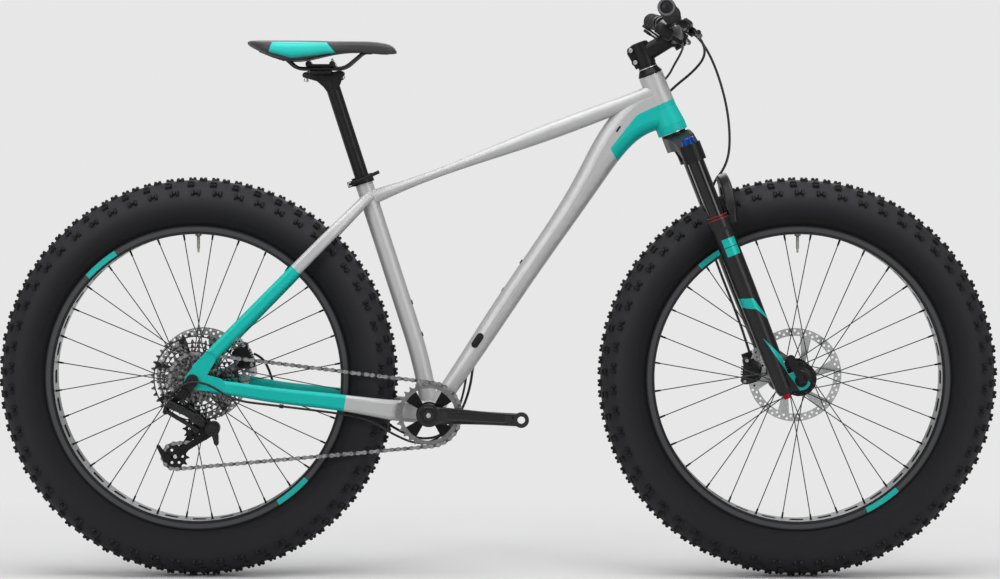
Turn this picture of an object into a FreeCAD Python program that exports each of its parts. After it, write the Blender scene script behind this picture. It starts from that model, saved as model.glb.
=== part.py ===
import FreeCAD
import Part
import math
import os

# A fat tyre mountain bicycle. X points forward, Y to the rider's left and Z up.
# The origin is on the ground, midway between the two wheel axles. Lengths are millimetres, angles degrees.

# Layout
WHEELBASE = 1142.0
TYRE_RADIUS = 381.0
CRANK_AXIS_BACK = 129.6
CRANK_AXIS_HEIGHT = 314.3
STEER_TILT = 21.4
FORK_RAKE = 51.0
AXLE_TO_HEAD_TUBE = 520.6
RUNNING_GAP = 0.05
SEAT_GAP = 0.3
TOUCH_GAP = 0.02

# Tyres, rims and spokes
TYRE_PITCHES = 54
KNOB_HEIGHT = 5.5
KNOB_ROOT = 1.5
KNOB_ROWS = (
    # lean from the crown, place in the pitch, length round the tyre, width across it
    (10, 0.25, 14, 13),
    (-10, 0.75, 14, 13),
    (32, 0.75, 13, 14),
    (-32, 0.25, 13, 14),
    (54, 0.5, 17, 12),
    (-54, 0.5, 17, 12),
)
CROWN_ARC_RADIUS = 58.0
CROWN_ARC_SPAN = 62.0
CASING_WALL = 3.2
SIDEWALL_HALF_WIDTH = 54.0
RIM_WIDTH = 80.0
RIM_FLANGE_RADIUS = 289.0
RIM_BASE_RADIUS = 273.0
RIM_BASE_WALL = 2.4
RIM_WALL = 3.0
RIM_SHELF = 2.0
RIM_SHELF_WIDTH = 10.0
RIM_STRIP_WALL = 0.8
RIM_WINDOW_LENGTH = 26.0
RIM_WINDOW_WIDTH = 30.0
RIM_WINDOW_CORNER = 6.0
NIPPLE_HOLE_MARGIN = 0.6
VALVE_LENGTH = 40.0
VALVE_RADIUS = 3.0
VALVE_HEAD_RADIUS = 6.0
SPOKES = 32
SPOKE_CROSSES = 2
SPOKE_RADIUS = 1.0
SPOKE_HEAD = 1.6
SPOKE_HEAD_RADIUS = 1.9
NIPPLE_RADIUS = 2.1
NIPPLE_LENGTH = 13.0
NIPPLE_OFFSET = 14.0
SPOKE_STAND_OFF = 1.5
NIPPLE_SINK = 0.7
FLANGE_RADIUS = 33.0
FLANGE_HOLE_CIRCLE = 29.0
FLANGE_WALL = 3.2
HUB_BARREL_RADIUS = 17.0
BEARING_RADIUS = 14.0
BEARING_LENGTH = 8.0
END_CAP_RADIUS = 11.0

FRONT_HUB_HALF = 75.0
FRONT_FLANGE_LEFT = 44.0
FRONT_FLANGE_RIGHT = 52.0
FRONT_AXLE_RADIUS = 7.5
FRONT_ROTOR_Y = 60.0
FRONT_ROTOR_RADIUS = 90.0
REAR_HUB_HALF = 98.5
REAR_FLANGE_LEFT = 58.0
REAR_FLANGE_RIGHT = 45.0
REAR_AXLE_RADIUS = 6.0
REAR_ROTOR_Y = 83.0
REAR_ROTOR_RADIUS = 90.0
ROTOR_WALL = 1.8
ROTOR_BAND = 15.0
ROTOR_ARMS = 6
ROTOR_SEAT_RADIUS = 23.0

# Drive
CHAIN_PITCH = 12.7
CHAIN_Y = -71.0
ROLLER_RADIUS = 3.85
ROLLER_SEAT = 3.95
TOOTH_HEIGHT = 2.2
CHAIN_INNER_HALF = 1.0
CHAIN_PLATE_WALL = 0.8
CHAIN_PIN_RADIUS = 1.8
CHAIN_PLATE_RADIUS = 4.1
RING_TEETH = 30
RING_TOOTH_WALL = 1.8
RING_WEB_WALL = 3.4
COGS = (42, 36, 32, 28, 24, 21, 18, 16, 14, 12, 10)
COG_IN_USE = 24
COG_WALL = 1.6
COG_STEP = 3.9
COG_MARGIN = 1.5
FREEHUB_RADIUS = 13.5
COG_COLLAR_WALL = 2.6
PULLEY_TEETH = 12
PULLEY_WALL = 1.8
GUIDE_PULLEY = (-569.0, 287.0)
CAGE_PIVOT = (-536.0, 290.0)
TENSION_PULLEY_REACH = 66.0
CAGE_LEAN_FROM = 222.0
CAGE_LEAN_TO = 240.0
CRANK_LENGTH = 175.0
CRANK_LEAN = -2.6
SPINDLE_RADIUS = 15.0
SPINDLE_WALL = 3.0
CRANK_BOSS_RADIUS = 21.5
CRANK_EYE_RADIUS = 14.5
BOSS_INNER = 75.0
LEFT_BOSS_INNER = 66.0
BOSS_OUTER = 96.0
PEDAL_INNER = 94.0
PEDAL_OUTER = 108.0
PEDAL_HOLE_RADIUS = 7.14

# Derailleur
LINK_LENGTH = 68.0
LINK_SPREAD = 16.0
LINK_RADIUS = 4.2
LINK_PIN_RADIUS = 2.0
LINK_EYE_RADIUS = 5.5
LINK_EYE_HALF = 5.0
LUG_WALL = 4.5
UPPER_PIN_PLACE = (-613.0, -124.0, 336.0)
KNUCKLE_OUTER = -132.0
CAGE_HALF = 4.6
CAGE_WALL = 1.6
CAGE_BOLT_RADIUS = 2.5
CAGE_PIN_RADIUS = 5.0
PULLEY_HUB_RADIUS = 7.0

# Frame
HEAD_TUBE_LENGTH = 116.0
HEAD_TUBE_LOW_RADIUS = 29.0
HEAD_TUBE_TOP_RADIUS = 23.5
HEAD_BEARING_LOW_RADIUS = 26.0
HEAD_BEARING_TOP_RADIUS = 21.0
HEAD_BEARING_HEIGHT = 9.0
HEAD_BORE_RADIUS = 20.4
SHELL_RADIUS = 23.0
SHELL_BORE_RADIUS = 20.5
SHELL_WIDTH = 121.0
TUBE_WALL = 2.2
SEAT_TUBE_TILT = 17.9
SEAT_TUBE_TOP = (-258.6, 762.0)
SEAT_TUBE_BEND = (-164.5, 470.5)
SEAT_TUBE_RADIUS = 17.0
DOWN_TUBE_LEAN = 56.2
DOWN_TUBE_DROP = 9.4
DOWN_TUBE_DEPTHS = ((61.8, 33.0), (204.0, 38.0), (318.6, 39.0), (543.0, 50.0))
DOWN_TUBE_SHOULDER = (220.0, 831.0)
DOWN_TUBE_NECK = (266.4, 877.3)
DROPOUT_WALL = 9.0
DROPOUT_RADIUS = 17.0
HANGER_BOLT = (-588.0, 356.5)
HANGER_WALL = 7.0
HANGER_BOLT_RADIUS = 5.0
BOSS_SPACING = 64.0
BOSS_RADIUS = 4.5
BOSS_BORE_RADIUS = 2.5
BOSS_PROUD = 1.4
BOSS_DEPTH = 7.0
SEAT_BOSS_BELOW = 256.0
DOWN_BOSS_ABOVE = 279.0

# Seat
POST_RADIUS = 13.6
POST_BORE_RADIUS = 11.4
POST_ABOVE = 168.0
POST_BELOW = 176.0
COLLAR_HEIGHT = 13.0
COLLAR_WALL = 3.6
COLLAR_EAR_REACH = 9.0
COLLAR_BOLT_RADIUS = 2.5
LEVER_PIVOT_SIDE = -14.0
RAIL_RADIUS = 3.5
RAIL_HALF_SPREAD = 22.0
RAIL_Z = 968.0
CLAMP_BOLT_RADIUS = 2.5
HEAD_BACK = 26.0
CRADLE_HALF_LENGTH = 21.0
SADDLE_TOP = 1022.0
SADDLE_TAIL_X = -474.4
SADDLE_STATIONS = (
    # from the tail: distance forward, half width, top below the saddle's top, edge below it, crown rise
    (0.0, 16.0, 2.5, 9.0, 1.0),
    (6.0, 34.0, 0.8, 13.0, 2.0),
    (24.0, 58.0, 0.0, 22.0, 4.0),
    (50.0, 69.0, 0.0, 32.0, 6.0),
    (82.0, 70.0, 0.2, 38.0, 8.0),
    (118.0, 60.0, 0.5, 35.0, 8.0),
    (158.0, 40.0, 1.0, 27.0, 7.0),
    (200.0, 27.0, 1.2, 23.0, 6.0),
    (240.0, 22.0, 3.0, 25.0, 6.0),
    (266.0, 19.0, 7.5, 26.5, 5.0),
    (278.0, 13.0, 14.0, 26.0, 3.0),
    (282.0, 6.0, 20.0, 25.0, 1.0),
)
SHELL_WALL = 4.0

# Fork
LEG_AHEAD = 16.0
LEG_SIDE = 90.0
STANCHION_RADIUS = 16.0
STANCHION_BORE = 13.4
STANCHION_BOTTOM = 150.0
CROWN_CLAMP_LOW = 455.0
CROWN_CLAMP_TOP = 490.0
CROWN_CLAMP_RADIUS = 21.5
CROWN_UNDERSIDE = 487.0
LOWER_TOP = 346.0
LOWER_BOTTOM = -14.0
LOWER_RADIUS = 20.0
LOWER_BORE_BOTTOM = 40.0
ARCH_AHEAD = 54.0
ARCH_TOP = 412.0
WIPER_HEIGHT = 7.0
STEERER_RADIUS = 14.3
STEERER_LOW_RADIUS = 19.0
STEERER_TOP_ABOVE = 60.0
STEERER_WALL = 2.5
DIAL_RADIUS = 13.0
DIAL_HEIGHT = 12.0
DIAL_NOTCHES = 10
KNOB_RADIUS = 8.0
KNOB_LENGTH = 9.0
KNOB_NOTCHES = 8
KNOB_STEM_RADIUS = 3.0

# Brakes
CALIPER_HALF_LENGTH = 26.0
CALIPER_INSIDE = 14.0
CALIPER_OUTSIDE = 15.0
CALIPER_SLOT_HALF = 3.6
FRONT_CALIPER_ANGLE = 154.0
REAR_CALIPER_ANGLE = 22.6
ADAPTER_WALL = 4.5
ADAPTER_HALF_WIDTH = 9.0
ADAPTER_HOLE_RADIUS = 2.4

# Stem and handlebar
STEM_ABOVE = 42.0
STEM_RISE = 30.0
STEM_LENGTH = 70.0
STEM_CLAMP_HEIGHT = 40.0
STEM_CLAMP_RADIUS = 18.5
STEM_BAR_HALF = 23.0
STEM_FACE_GAP = 3.0
STEM_SCREW_RADIUS = 2.5
STEM_SCREW_SIDE = 15.0
SPACER_RADIUS = 17.5
BAR_CLAMP_RADIUS = 15.9
BAR_RADIUS = 11.1
BAR_BORE = 8.8
BAR_HALF_WIDTH = 370.0
BAR_END = (306.0, 1070.0)
BAR_RISE = 24.0
BAR_BEND_START = 75.0
BAR_BEND_END = 135.0
GRIP_START = 238.0
GRIP_RADIUS = 15.3
BRAKE_CLAMP_SIDE = 220.0
SHIFTER_SIDE = 186.0
SHIFTER_DROP = 31.0
LEVER_DROP = 35.0
MASTER_OFFSET = 27.0
MASTER_RADIUS = 7.5
LEVER_PIVOT_OFFSET = 42.0
LEVER_PIVOT_AT = 172.0
LEVER_PIN_RADIUS = 2.5
LEVER_REACH = 128.0
LEVER_BLADE_RADIUS = 4.6

# Lines
HOSE_RADIUS = 2.5
HOUSING_RADIUS = 2.2
LINE_CLEARANCE = 1.0
CLIP_HALF_LENGTH = 4.0
CLIP_WALL = 1.6


V = FreeCAD.Vector
ORIGIN = V(0, 0, 0)
X_AXIS = V(1, 0, 0)
Y_AXIS = V(0, 1, 0)
Z_AXIS = V(0, 0, 1)

REAR_AXLE = V(-WHEELBASE / 2, 0, TYRE_RADIUS)
FRONT_AXLE = V(WHEELBASE / 2, 0, TYRE_RADIUS)
CRANK_AXIS = V(-CRANK_AXIS_BACK, 0, CRANK_AXIS_HEIGHT)


# Basic shapes

def unit(v):
    return V(v).normalize()


def turn_y(angle):
    """Direction in the XZ plane at an angle above +X."""
    return V(math.cos(math.radians(angle)), 0, math.sin(math.radians(angle)))


def moved(shape, placement):
    copy = shape.copy()
    copy.Placement = placement.multiply(copy.Placement)
    return copy


def shifted(shape, by):
    return moved(shape, FreeCAD.Placement(by, FreeCAD.Rotation()))


def spun(shape, centre, axis, angle):
    turn = FreeCAD.Rotation(axis, angle)
    return moved(shape, FreeCAD.Placement(centre - turn.multVec(centre), turn))


def mirrored(shape):
    return shape.mirror(ORIGIN, Y_AXIS)


def main_solid(shape):
    return max(shape.Solids, key=lambda solid: solid.Volume)


def rod(start, end, radius):
    return Part.makeCylinder(radius, (end - start).Length, start, end - start)


def taper(start, end, radius_start, radius_end):
    return Part.makeCone(radius_start, radius_end, (end - start).Length, start, end - start)


def turned(profile, base, axis):
    """Solid of revolution of (radius, along) points about an axis through base."""
    points = [V(radius, 0, along) for radius, along in profile]
    face = Part.Face(Part.makePolygon(points + points[:1]))
    solid = face.revolve(ORIGIN, Z_AXIS, 360)
    return moved(solid, FreeCAD.Placement(base, FreeCAD.Rotation(Z_AXIS, axis)))


def ring(start, end, outer, inner):
    length = (end - start).Length
    profile = [(inner, 0), (outer, 0), (outer, length), (inner, length)]
    return turned(profile, start, end - start)


def block(low, high):
    size = high - low
    return Part.makeBox(size.x, size.y, size.z, low)


def strap(start, end, radius_start, radius_end, y_start, y_end):
    """Flat plate in the XZ plane: two discs joined by their outer tangents."""
    run = end - start
    lean = math.acos((radius_start - radius_end) / run.Length)
    heading = math.atan2(run.z, run.x)
    above = V(math.cos(heading + lean), 0, math.sin(heading + lean))
    below = V(math.cos(heading - lean), 0, math.sin(heading - lean))
    far = unit(run)
    corners = [start + above * radius_start, end + above * radius_end,
               end + below * radius_end, start + below * radius_start]
    edges = [
        Part.makeLine(corners[0], corners[1]),
        Part.Arc(corners[1], end + far * radius_end, corners[2]).toShape(),
        Part.makeLine(corners[2], corners[3]),
        Part.Arc(corners[3], start - far * radius_start, corners[0]).toShape(),
    ]
    face = Part.Face(Part.Wire(edges))
    return shifted(face.extrude(V(0, y_end - y_start, 0)), V(0, y_start, 0))


def rounded_section(centre, along, width, depth, share=0.44):
    """Rounded rectangle across a tube. Width runs along Y, depth across it."""
    normal = unit(along)
    side = unit(Y_AXIS - normal * normal.y)
    up = normal.cross(side)
    radius = min(width, depth) * share
    half_w, half_d = width / 2, depth / 2
    bite = radius * (1 - math.sqrt(0.5))

    def at(s, u):
        return centre + side * s + up * u

    edges = [
        Part.makeLine(at(half_w, radius - half_d), at(half_w, half_d - radius)),
        Part.Arc(at(half_w, half_d - radius), at(half_w - bite, half_d - bite),
                 at(half_w - radius, half_d)).toShape(),
        Part.makeLine(at(half_w - radius, half_d), at(radius - half_w, half_d)),
        Part.Arc(at(radius - half_w, half_d), at(bite - half_w, half_d - bite),
                 at(-half_w, half_d - radius)).toShape(),
        Part.makeLine(at(-half_w, half_d - radius), at(-half_w, radius - half_d)),
        Part.Arc(at(-half_w, radius - half_d), at(bite - half_w, bite - half_d),
                 at(radius - half_w, -half_d)).toShape(),
        Part.makeLine(at(radius - half_w, -half_d), at(half_w - radius, -half_d)),
        Part.Arc(at(half_w - radius, -half_d), at(half_w - bite, bite - half_d),
                 at(half_w, radius - half_d)).toShape(),
    ]
    return Part.Wire(edges)


def loft(sections):
    return Part.makeLoft(sections, True, False)


def hollow_tube(stations, wall):
    """Outer solid and hollow tube lofted through (centre, along, width, depth) stations."""
    outer = loft([rounded_section(c, a, w, d) for c, a, w, d in stations])
    inner = loft([rounded_section(c, a, w - 2 * wall, d - 2 * wall) for c, a, w, d in stations])
    return outer, outer.cut(inner)


def route_wire(points, share=0.45, label=None):
    """Straight runs joined by tangent arcs as large as the runs allow."""
    edges, radii = [], []
    here = points[0]
    for before, corner, after in zip(points, points[1:], points[2:]):
        into, out = unit(corner - before), unit(after - corner)
        turn = into.getAngle(out)
        trim = share * min((corner - before).Length, (after - corner).Length)
        start, end = corner - into * trim, corner + out * trim
        radius = trim / math.tan(turn / 2)
        centre = corner + unit(out - into) * (radius / math.cos(turn / 2))
        middle = centre + unit(corner - centre) * radius
        edges.append(Part.LineSegment(here, start).toShape())
        edges.append(Part.Arc(start, middle, end).toShape())
        radii.append(radius)
        here = end
    edges.append(Part.LineSegment(here, points[-1]).toShape())
    wire = Part.Wire(edges)
    if label:
        print(label, "length", round(wire.Length), "arc radii", [round(r) for r in radii])
    return wire


def swept(wire, radius, label=None):
    """Round bar along a wire."""
    start = wire.OrderedVertexes[0].Point
    heading = wire.OrderedEdges[0].tangentAt(wire.OrderedEdges[0].FirstParameter)
    circle = Part.Wire(Part.makeCircle(radius, start, heading))
    solid = wire.makePipeShell([circle], True, False)
    if label:
        expected = math.pi * radius * radius * wire.Length
        print(label, "volume share", round(solid.Volume / expected, 4))
    return solid


def cord(points, radius, label):
    return swept(route_wire(points, label=label), radius, label)


# Steering frame: ahead of the steering axis, to the left, and along it from the foot below the front axle

STEER_UP = V(-math.sin(math.radians(STEER_TILT)), 0, math.cos(math.radians(STEER_TILT)))
STEER_AHEAD = V(math.cos(math.radians(STEER_TILT)), 0, math.sin(math.radians(STEER_TILT)))
STEER_FOOT = FRONT_AXLE - STEER_AHEAD * FORK_RAKE
STEER = FreeCAD.Placement(STEER_FOOT, FreeCAD.Rotation(Y_AXIS, -STEER_TILT))
HEAD_TUBE_TOP = AXLE_TO_HEAD_TUBE + HEAD_TUBE_LENGTH


def steer_point(ahead, side, along):
    return STEER_FOOT + STEER_AHEAD * ahead + Y_AXIS * side + STEER_UP * along


def in_steer(shape):
    return moved(shape, STEER)


# Frame tubes

def head_tube():
    length = HEAD_TUBE_LENGTH
    outline = [(HEAD_TUBE_LOW_RADIUS, 0), (HEAD_TUBE_LOW_RADIUS, 16), (HEAD_TUBE_TOP_RADIUS + 1, 48),
               (HEAD_TUBE_TOP_RADIUS, length)]
    base = V(0, 0, AXLE_TO_HEAD_TUBE)
    filled = turned([(0, 0)] + outline + [(0, length)], base, Z_AXIS)
    bored = turned(
        [(HEAD_BEARING_LOW_RADIUS, 0)] + outline
        + [(HEAD_BEARING_TOP_RADIUS, length), (HEAD_BEARING_TOP_RADIUS, length - HEAD_BEARING_HEIGHT),
           (HEAD_BORE_RADIUS, length - HEAD_BEARING_HEIGHT), (HEAD_BORE_RADIUS, HEAD_BEARING_HEIGHT),
           (HEAD_BEARING_LOW_RADIUS, HEAD_BEARING_HEIGHT)],
        base, Z_AXIS)
    return in_steer(filled), in_steer(bored)


def bottom_bracket_shell():
    half = Y_AXIS * (SHELL_WIDTH / 2)
    filled = rod(CRANK_AXIS - half, CRANK_AXIS + half, SHELL_RADIUS)
    return filled, ring(CRANK_AXIS - half, CRANK_AXIS + half, SHELL_RADIUS, SHELL_BORE_RADIUS)


SEAT_UP = V(-math.sin(math.radians(SEAT_TUBE_TILT)), 0, math.cos(math.radians(SEAT_TUBE_TILT)))
SEAT_AHEAD = V(SEAT_UP.z, 0, -SEAT_UP.x)
SEAT_BEND = V(SEAT_TUBE_BEND[0], 0, SEAT_TUBE_BEND[1])
SEAT_TOP = SEAT_BEND + SEAT_UP * (V(SEAT_TUBE_TOP[0], 0, SEAT_TUBE_TOP[1]) - SEAT_BEND).dot(SEAT_UP)


def seat_tube_wire():
    """Straight upper run, then one arc tangent to it that ends on the crank axis."""
    chord = CRANK_AXIS - SEAT_BEND
    inward = SEAT_AHEAD * (1 if chord.dot(SEAT_AHEAD) > 0 else -1)
    radius = chord.dot(chord) / (2 * chord.dot(inward))
    centre = SEAT_BEND + inward * radius
    middle = centre + unit((SEAT_BEND + CRANK_AXIS) * 0.5 - centre) * radius
    upper = Part.LineSegment(SEAT_TOP, SEAT_BEND).toShape()
    lower = Part.Arc(SEAT_BEND, middle, CRANK_AXIS).toShape()
    return Part.Wire([upper, lower])


def seat_tube():
    wire = seat_tube_wire()
    filled = swept(wire, SEAT_TUBE_RADIUS)
    return filled, filled.cut(swept(wire, POST_RADIUS + RUNNING_GAP))


def between(start, end, share):
    return start + (end - start) * share


HEAD_MIDDLE = steer_point(0, 0, AXLE_TO_HEAD_TUBE + 0.72 * HEAD_TUBE_LENGTH)
HEAD_LOWER = steer_point(0, 0, AXLE_TO_HEAD_TUBE + 0.44 * HEAD_TUBE_LENGTH)
TOP_TUBE_FOOT = SEAT_TOP - SEAT_UP * 43


def top_tube():
    """Flattened at the saddle and deep at the head tube."""
    along = unit(HEAD_MIDDLE - TOP_TUBE_FOOT)
    stations = [
        (TOP_TUBE_FOOT - along * 8, along, 32, 32),
        (between(TOP_TUBE_FOOT, HEAD_MIDDLE, 0.06), along, 34, 24),
        (between(TOP_TUBE_FOOT, HEAD_MIDDLE, 0.13), along, 37, 19),
        (between(TOP_TUBE_FOOT, HEAD_MIDDLE, 0.45), along, 42, 25),
        (between(TOP_TUBE_FOOT, HEAD_MIDDLE, 0.80), along, 44, 31),
        (HEAD_MIDDLE, along, 42, 36),
    ]
    return hollow_tube(stations, TUBE_WALL)


DOWN_FOOT = CRANK_AXIS - Z_AXIS * DOWN_TUBE_DROP
DOWN_HEADING = turn_y(DOWN_TUBE_LEAN)


def down_tube():
    """Slim at the crank, swelling and curving level into the head tube."""
    stations = [(DOWN_FOOT + DOWN_HEADING * 4, DOWN_HEADING, 46, 33)]
    for along, depth in DOWN_TUBE_DEPTHS:
        stations.append((DOWN_FOOT + DOWN_HEADING * along, DOWN_HEADING, 47, depth))
    stations += [
        (V(DOWN_TUBE_SHOULDER[0], 0, DOWN_TUBE_SHOULDER[1]), turn_y(50), 48, 63),
        (V(DOWN_TUBE_NECK[0], 0, DOWN_TUBE_NECK[1]), turn_y(30), 46, 76),
        (HEAD_LOWER, STEER_AHEAD, 42, 80),
    ]
    return hollow_tube(stations, TUBE_WALL)


DROPOUT_INNER = REAR_HUB_HALF
STAY_JOIN = SEAT_TOP - SEAT_UP * 40


def chain_stay():
    """Right stay, lofted from the shell past the tyre to the dropout."""
    rear = REAR_AXLE
    front = CRANK_AXIS
    side = DROPOUT_INNER + DROPOUT_WALL / 2
    stations = [
        (front + V(4, -44, 2), V(-1, -0.08, 0.02), 17, 42),
        (front + V(-34, -47, 4), V(-1, -0.10, 0.04), 17, 41),
        (front + V(-64, -54.5, 6.5), V(-1, -0.36, 0.10), 17, 39),
        (front + V(-116, -75.5, 15.5), V(-1, -0.24, 0.15), 16.5, 34),
        (front + V(-166, -81.5, 23), V(-1, -0.09, 0.13), 15.5, 31),
        (rear + V(125.6, -92, -25.3), V(-1, -0.10, 0.13), 14.5, 27.5),
        (rear + V(70, -1.5 - side, -15.6), V(-1, -0.06, 0.18), 13, 26),
        (rear + V(12, -0.5 - side, -3), V(-1, 0.0, 0.22), 7.6, 22),
    ]
    return hollow_tube(stations, TUBE_WALL)


def seat_stay():
    """Right stay, from the dropout up past the tyre to the seat tube."""
    foot = REAR_AXLE + V(2, 0, 15)
    heading = unit(STAY_JOIN - foot)
    reach = (STAY_JOIN - foot).Length
    side = DROPOUT_INNER + DROPOUT_WALL / 2

    def at(along, y):
        return foot + heading * along + V(0, -y, 0)

    inward = Y_AXIS
    stations = [
        (at(4, side), heading, 8.8, 23),
        (at(70, side - 1), heading + inward * 0.06, 14, 24.5),
        (at(170, 93), heading + inward * 0.09, 15, 24.5),
        (at(310, 77.5), heading + inward * 0.18, 15.5, 23),
        (at(378, 60), heading + inward * 0.36, 15.5, 21.5),
        (at(reach - 38, 38), heading + inward * 0.5, 15.5, 20.5),
        (at(reach + 4, 13), heading + inward * 0.55, 15.5, 20),
    ]
    return hollow_tube(stations, TUBE_WALL)


def dropout_plate(margin):
    """Outline of the right dropout with its arms into both stays, thickened by a margin each way."""
    outer = -(DROPOUT_INNER + DROPOUT_WALL + margin)
    inner = -DROPOUT_INNER + margin
    to_chain_stay = strap(REAR_AXLE, REAR_AXLE + V(46, 0, -9), DROPOUT_RADIUS, 12.8, outer, inner)
    to_seat_stay = strap(REAR_AXLE, REAR_AXLE + V(30, 0, 42), DROPOUT_RADIUS, 12.2, outer, inner)
    return to_chain_stay.fuse(to_seat_stay).removeSplitter()


def dropout():
    reach = DROPOUT_INNER + DROPOUT_WALL
    hole = rod(REAR_AXLE + V(0, -reach - 1, 0), REAR_AXLE, REAR_AXLE_RADIUS + RUNNING_GAP)
    return dropout_plate(0).cut(hole)


HANGER = V(HANGER_BOLT[0], 0, HANGER_BOLT[1])

def hanger():
    inner = -DROPOUT_INNER - DROPOUT_WALL - TOUCH_GAP
    outer = inner - HANGER_WALL
    top = REAR_AXLE + V(-2, 0, 0)
    plate = strap(top, HANGER, 12, 9, outer, inner)
    hole = rod(REAR_AXLE + V(0, outer - 1, 0), REAR_AXLE + V(0, inner + 1, 0), REAR_AXLE_RADIUS + RUNNING_GAP)
    bolt_hole = rod(HANGER + V(0, outer - 1, 0), HANGER + V(0, inner + 1, 0), HANGER_BOLT_RADIUS)
    return plate.cut(hole).cut(bolt_hole)


def rear_thru_axle():
    reach = DROPOUT_INNER + DROPOUT_WALL
    end = -(reach + HANGER_WALL + TOUCH_GAP)
    shaft = rod(REAR_AXLE + V(0, end - 1.5, 0), REAR_AXLE + V(0, reach, 0), REAR_AXLE_RADIUS)
    head = turned([(0, 0), (10.5, 0), (10.5, 5), (7, 7), (3, 7), (3, 4), (0, 4)],
                  REAR_AXLE + V(0, reach, 0), Y_AXIS)
    return shaft.fuse(head)


def frame_nodes():
    head_filled, head = head_tube()
    shell_filled, shell = bottom_bracket_shell()
    seat_filled, seat = seat_tube()
    top_filled, top = top_tube()
    down_filled, down = down_tube()
    stay_filled, stay = chain_stay()
    upper_filled, upper = seat_stay()
    right_dropout = dropout()
    bosses, boss_plugs = bottle_bosses()
    clips = [main_solid(clip.cut(stay_filled).cut(mirrored(stay_filled))) for clip in line_guides()]

    seat = main_solid(seat.cut(shell_filled).cut(boss_plugs))
    down = down.cut(head_filled).cut(shell_filled).cut(seat_filled)
    down = main_solid(down.cut(boss_plugs).cut(line_holes()))
    top = main_solid(top.cut(head_filled).cut(seat_filled).cut(down_filled))
    plate_room = dropout_plate(DROPOUT_WALL)
    left_mount = rear_adapter()
    stay = stay.cut(shell_filled).cut(seat_filled).cut(plate_room)
    stay = main_solid(stay.cut(cassette_room()))
    upper = main_solid(upper.cut(seat_filled).cut(top_filled).cut(plate_room).cut(stay_filled))
    bridge_at = STAY_JOIN - unit(STAY_JOIN - REAR_AXLE) * 62
    bridge = rod(bridge_at + V(0, -70, 0), bridge_at + V(0, 70, 0), 7)
    bridge = main_solid(bridge.cut(upper_filled).cut(mirrored(upper_filled)))
    chain_stays = Part.Compound([stay, mirrored(stay).cut(left_mount)])
    seat_stays = Part.Compound([upper, mirrored(upper).cut(left_mount), bridge])
    dropouts = Part.Compound([right_dropout, mirrored(right_dropout), hanger(), rear_thru_axle()])
    return {
        "head_tube": head,
        "top_tube": top,
        "down_tube": down,
        "seat_tube": seat,
        "bottom_bracket_shell": shell,
        "chain_stays": chain_stays,
        "seat_stays": seat_stays,
        "rear_dropouts": dropouts,
        "frame_bearings": frame_bearings(),
        "seat_clamp": seat_clamp(),
        "frame_fittings": Part.Compound(bosses.Solids + clips),
    }


def frame_bearings():
    low = AXLE_TO_HEAD_TUBE
    lower = ring(V(0, 0, low - 1), V(0, 0, low + HEAD_BEARING_HEIGHT - TOUCH_GAP),
                 HEAD_BEARING_LOW_RADIUS - TOUCH_GAP, STEERER_LOW_RADIUS + RUNNING_GAP)
    upper = ring(V(0, 0, HEAD_TUBE_TOP - HEAD_BEARING_HEIGHT + TOUCH_GAP), V(0, 0, HEAD_TUBE_TOP + 1),
                 HEAD_BEARING_TOP_RADIUS - TOUCH_GAP, STEERER_RADIUS + RUNNING_GAP)
    half = SHELL_WIDTH / 2
    cup = turned([(SPINDLE_RADIUS + RUNNING_GAP, -9), (SHELL_BORE_RADIUS - TOUCH_GAP, -9),
                  (SHELL_BORE_RADIUS - TOUCH_GAP, TOUCH_GAP), (SHELL_RADIUS - 1, TOUCH_GAP),
                  (SHELL_RADIUS - 1, 3.5), (SPINDLE_RADIUS + RUNNING_GAP, 3.5)],
                 CRANK_AXIS + V(0, half, 0), Y_AXIS)
    return Part.Compound([in_steer(lower), in_steer(upper), cup, mirrored(cup)])


COLLAR_OUTER = SEAT_TUBE_RADIUS + TOUCH_GAP + COLLAR_WALL
COLLAR_EAR_BACK = COLLAR_OUTER + COLLAR_EAR_REACH


def seat_point(ahead, side, above):
    return SEAT_TOP + SEAT_AHEAD * ahead + Y_AXIS * side + SEAT_UP * above


SEAT = FreeCAD.Placement(SEAT_TOP, FreeCAD.Rotation(Y_AXIS, -SEAT_TUBE_TILT))


def in_seat(shape):
    return moved(shape, SEAT)


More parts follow.
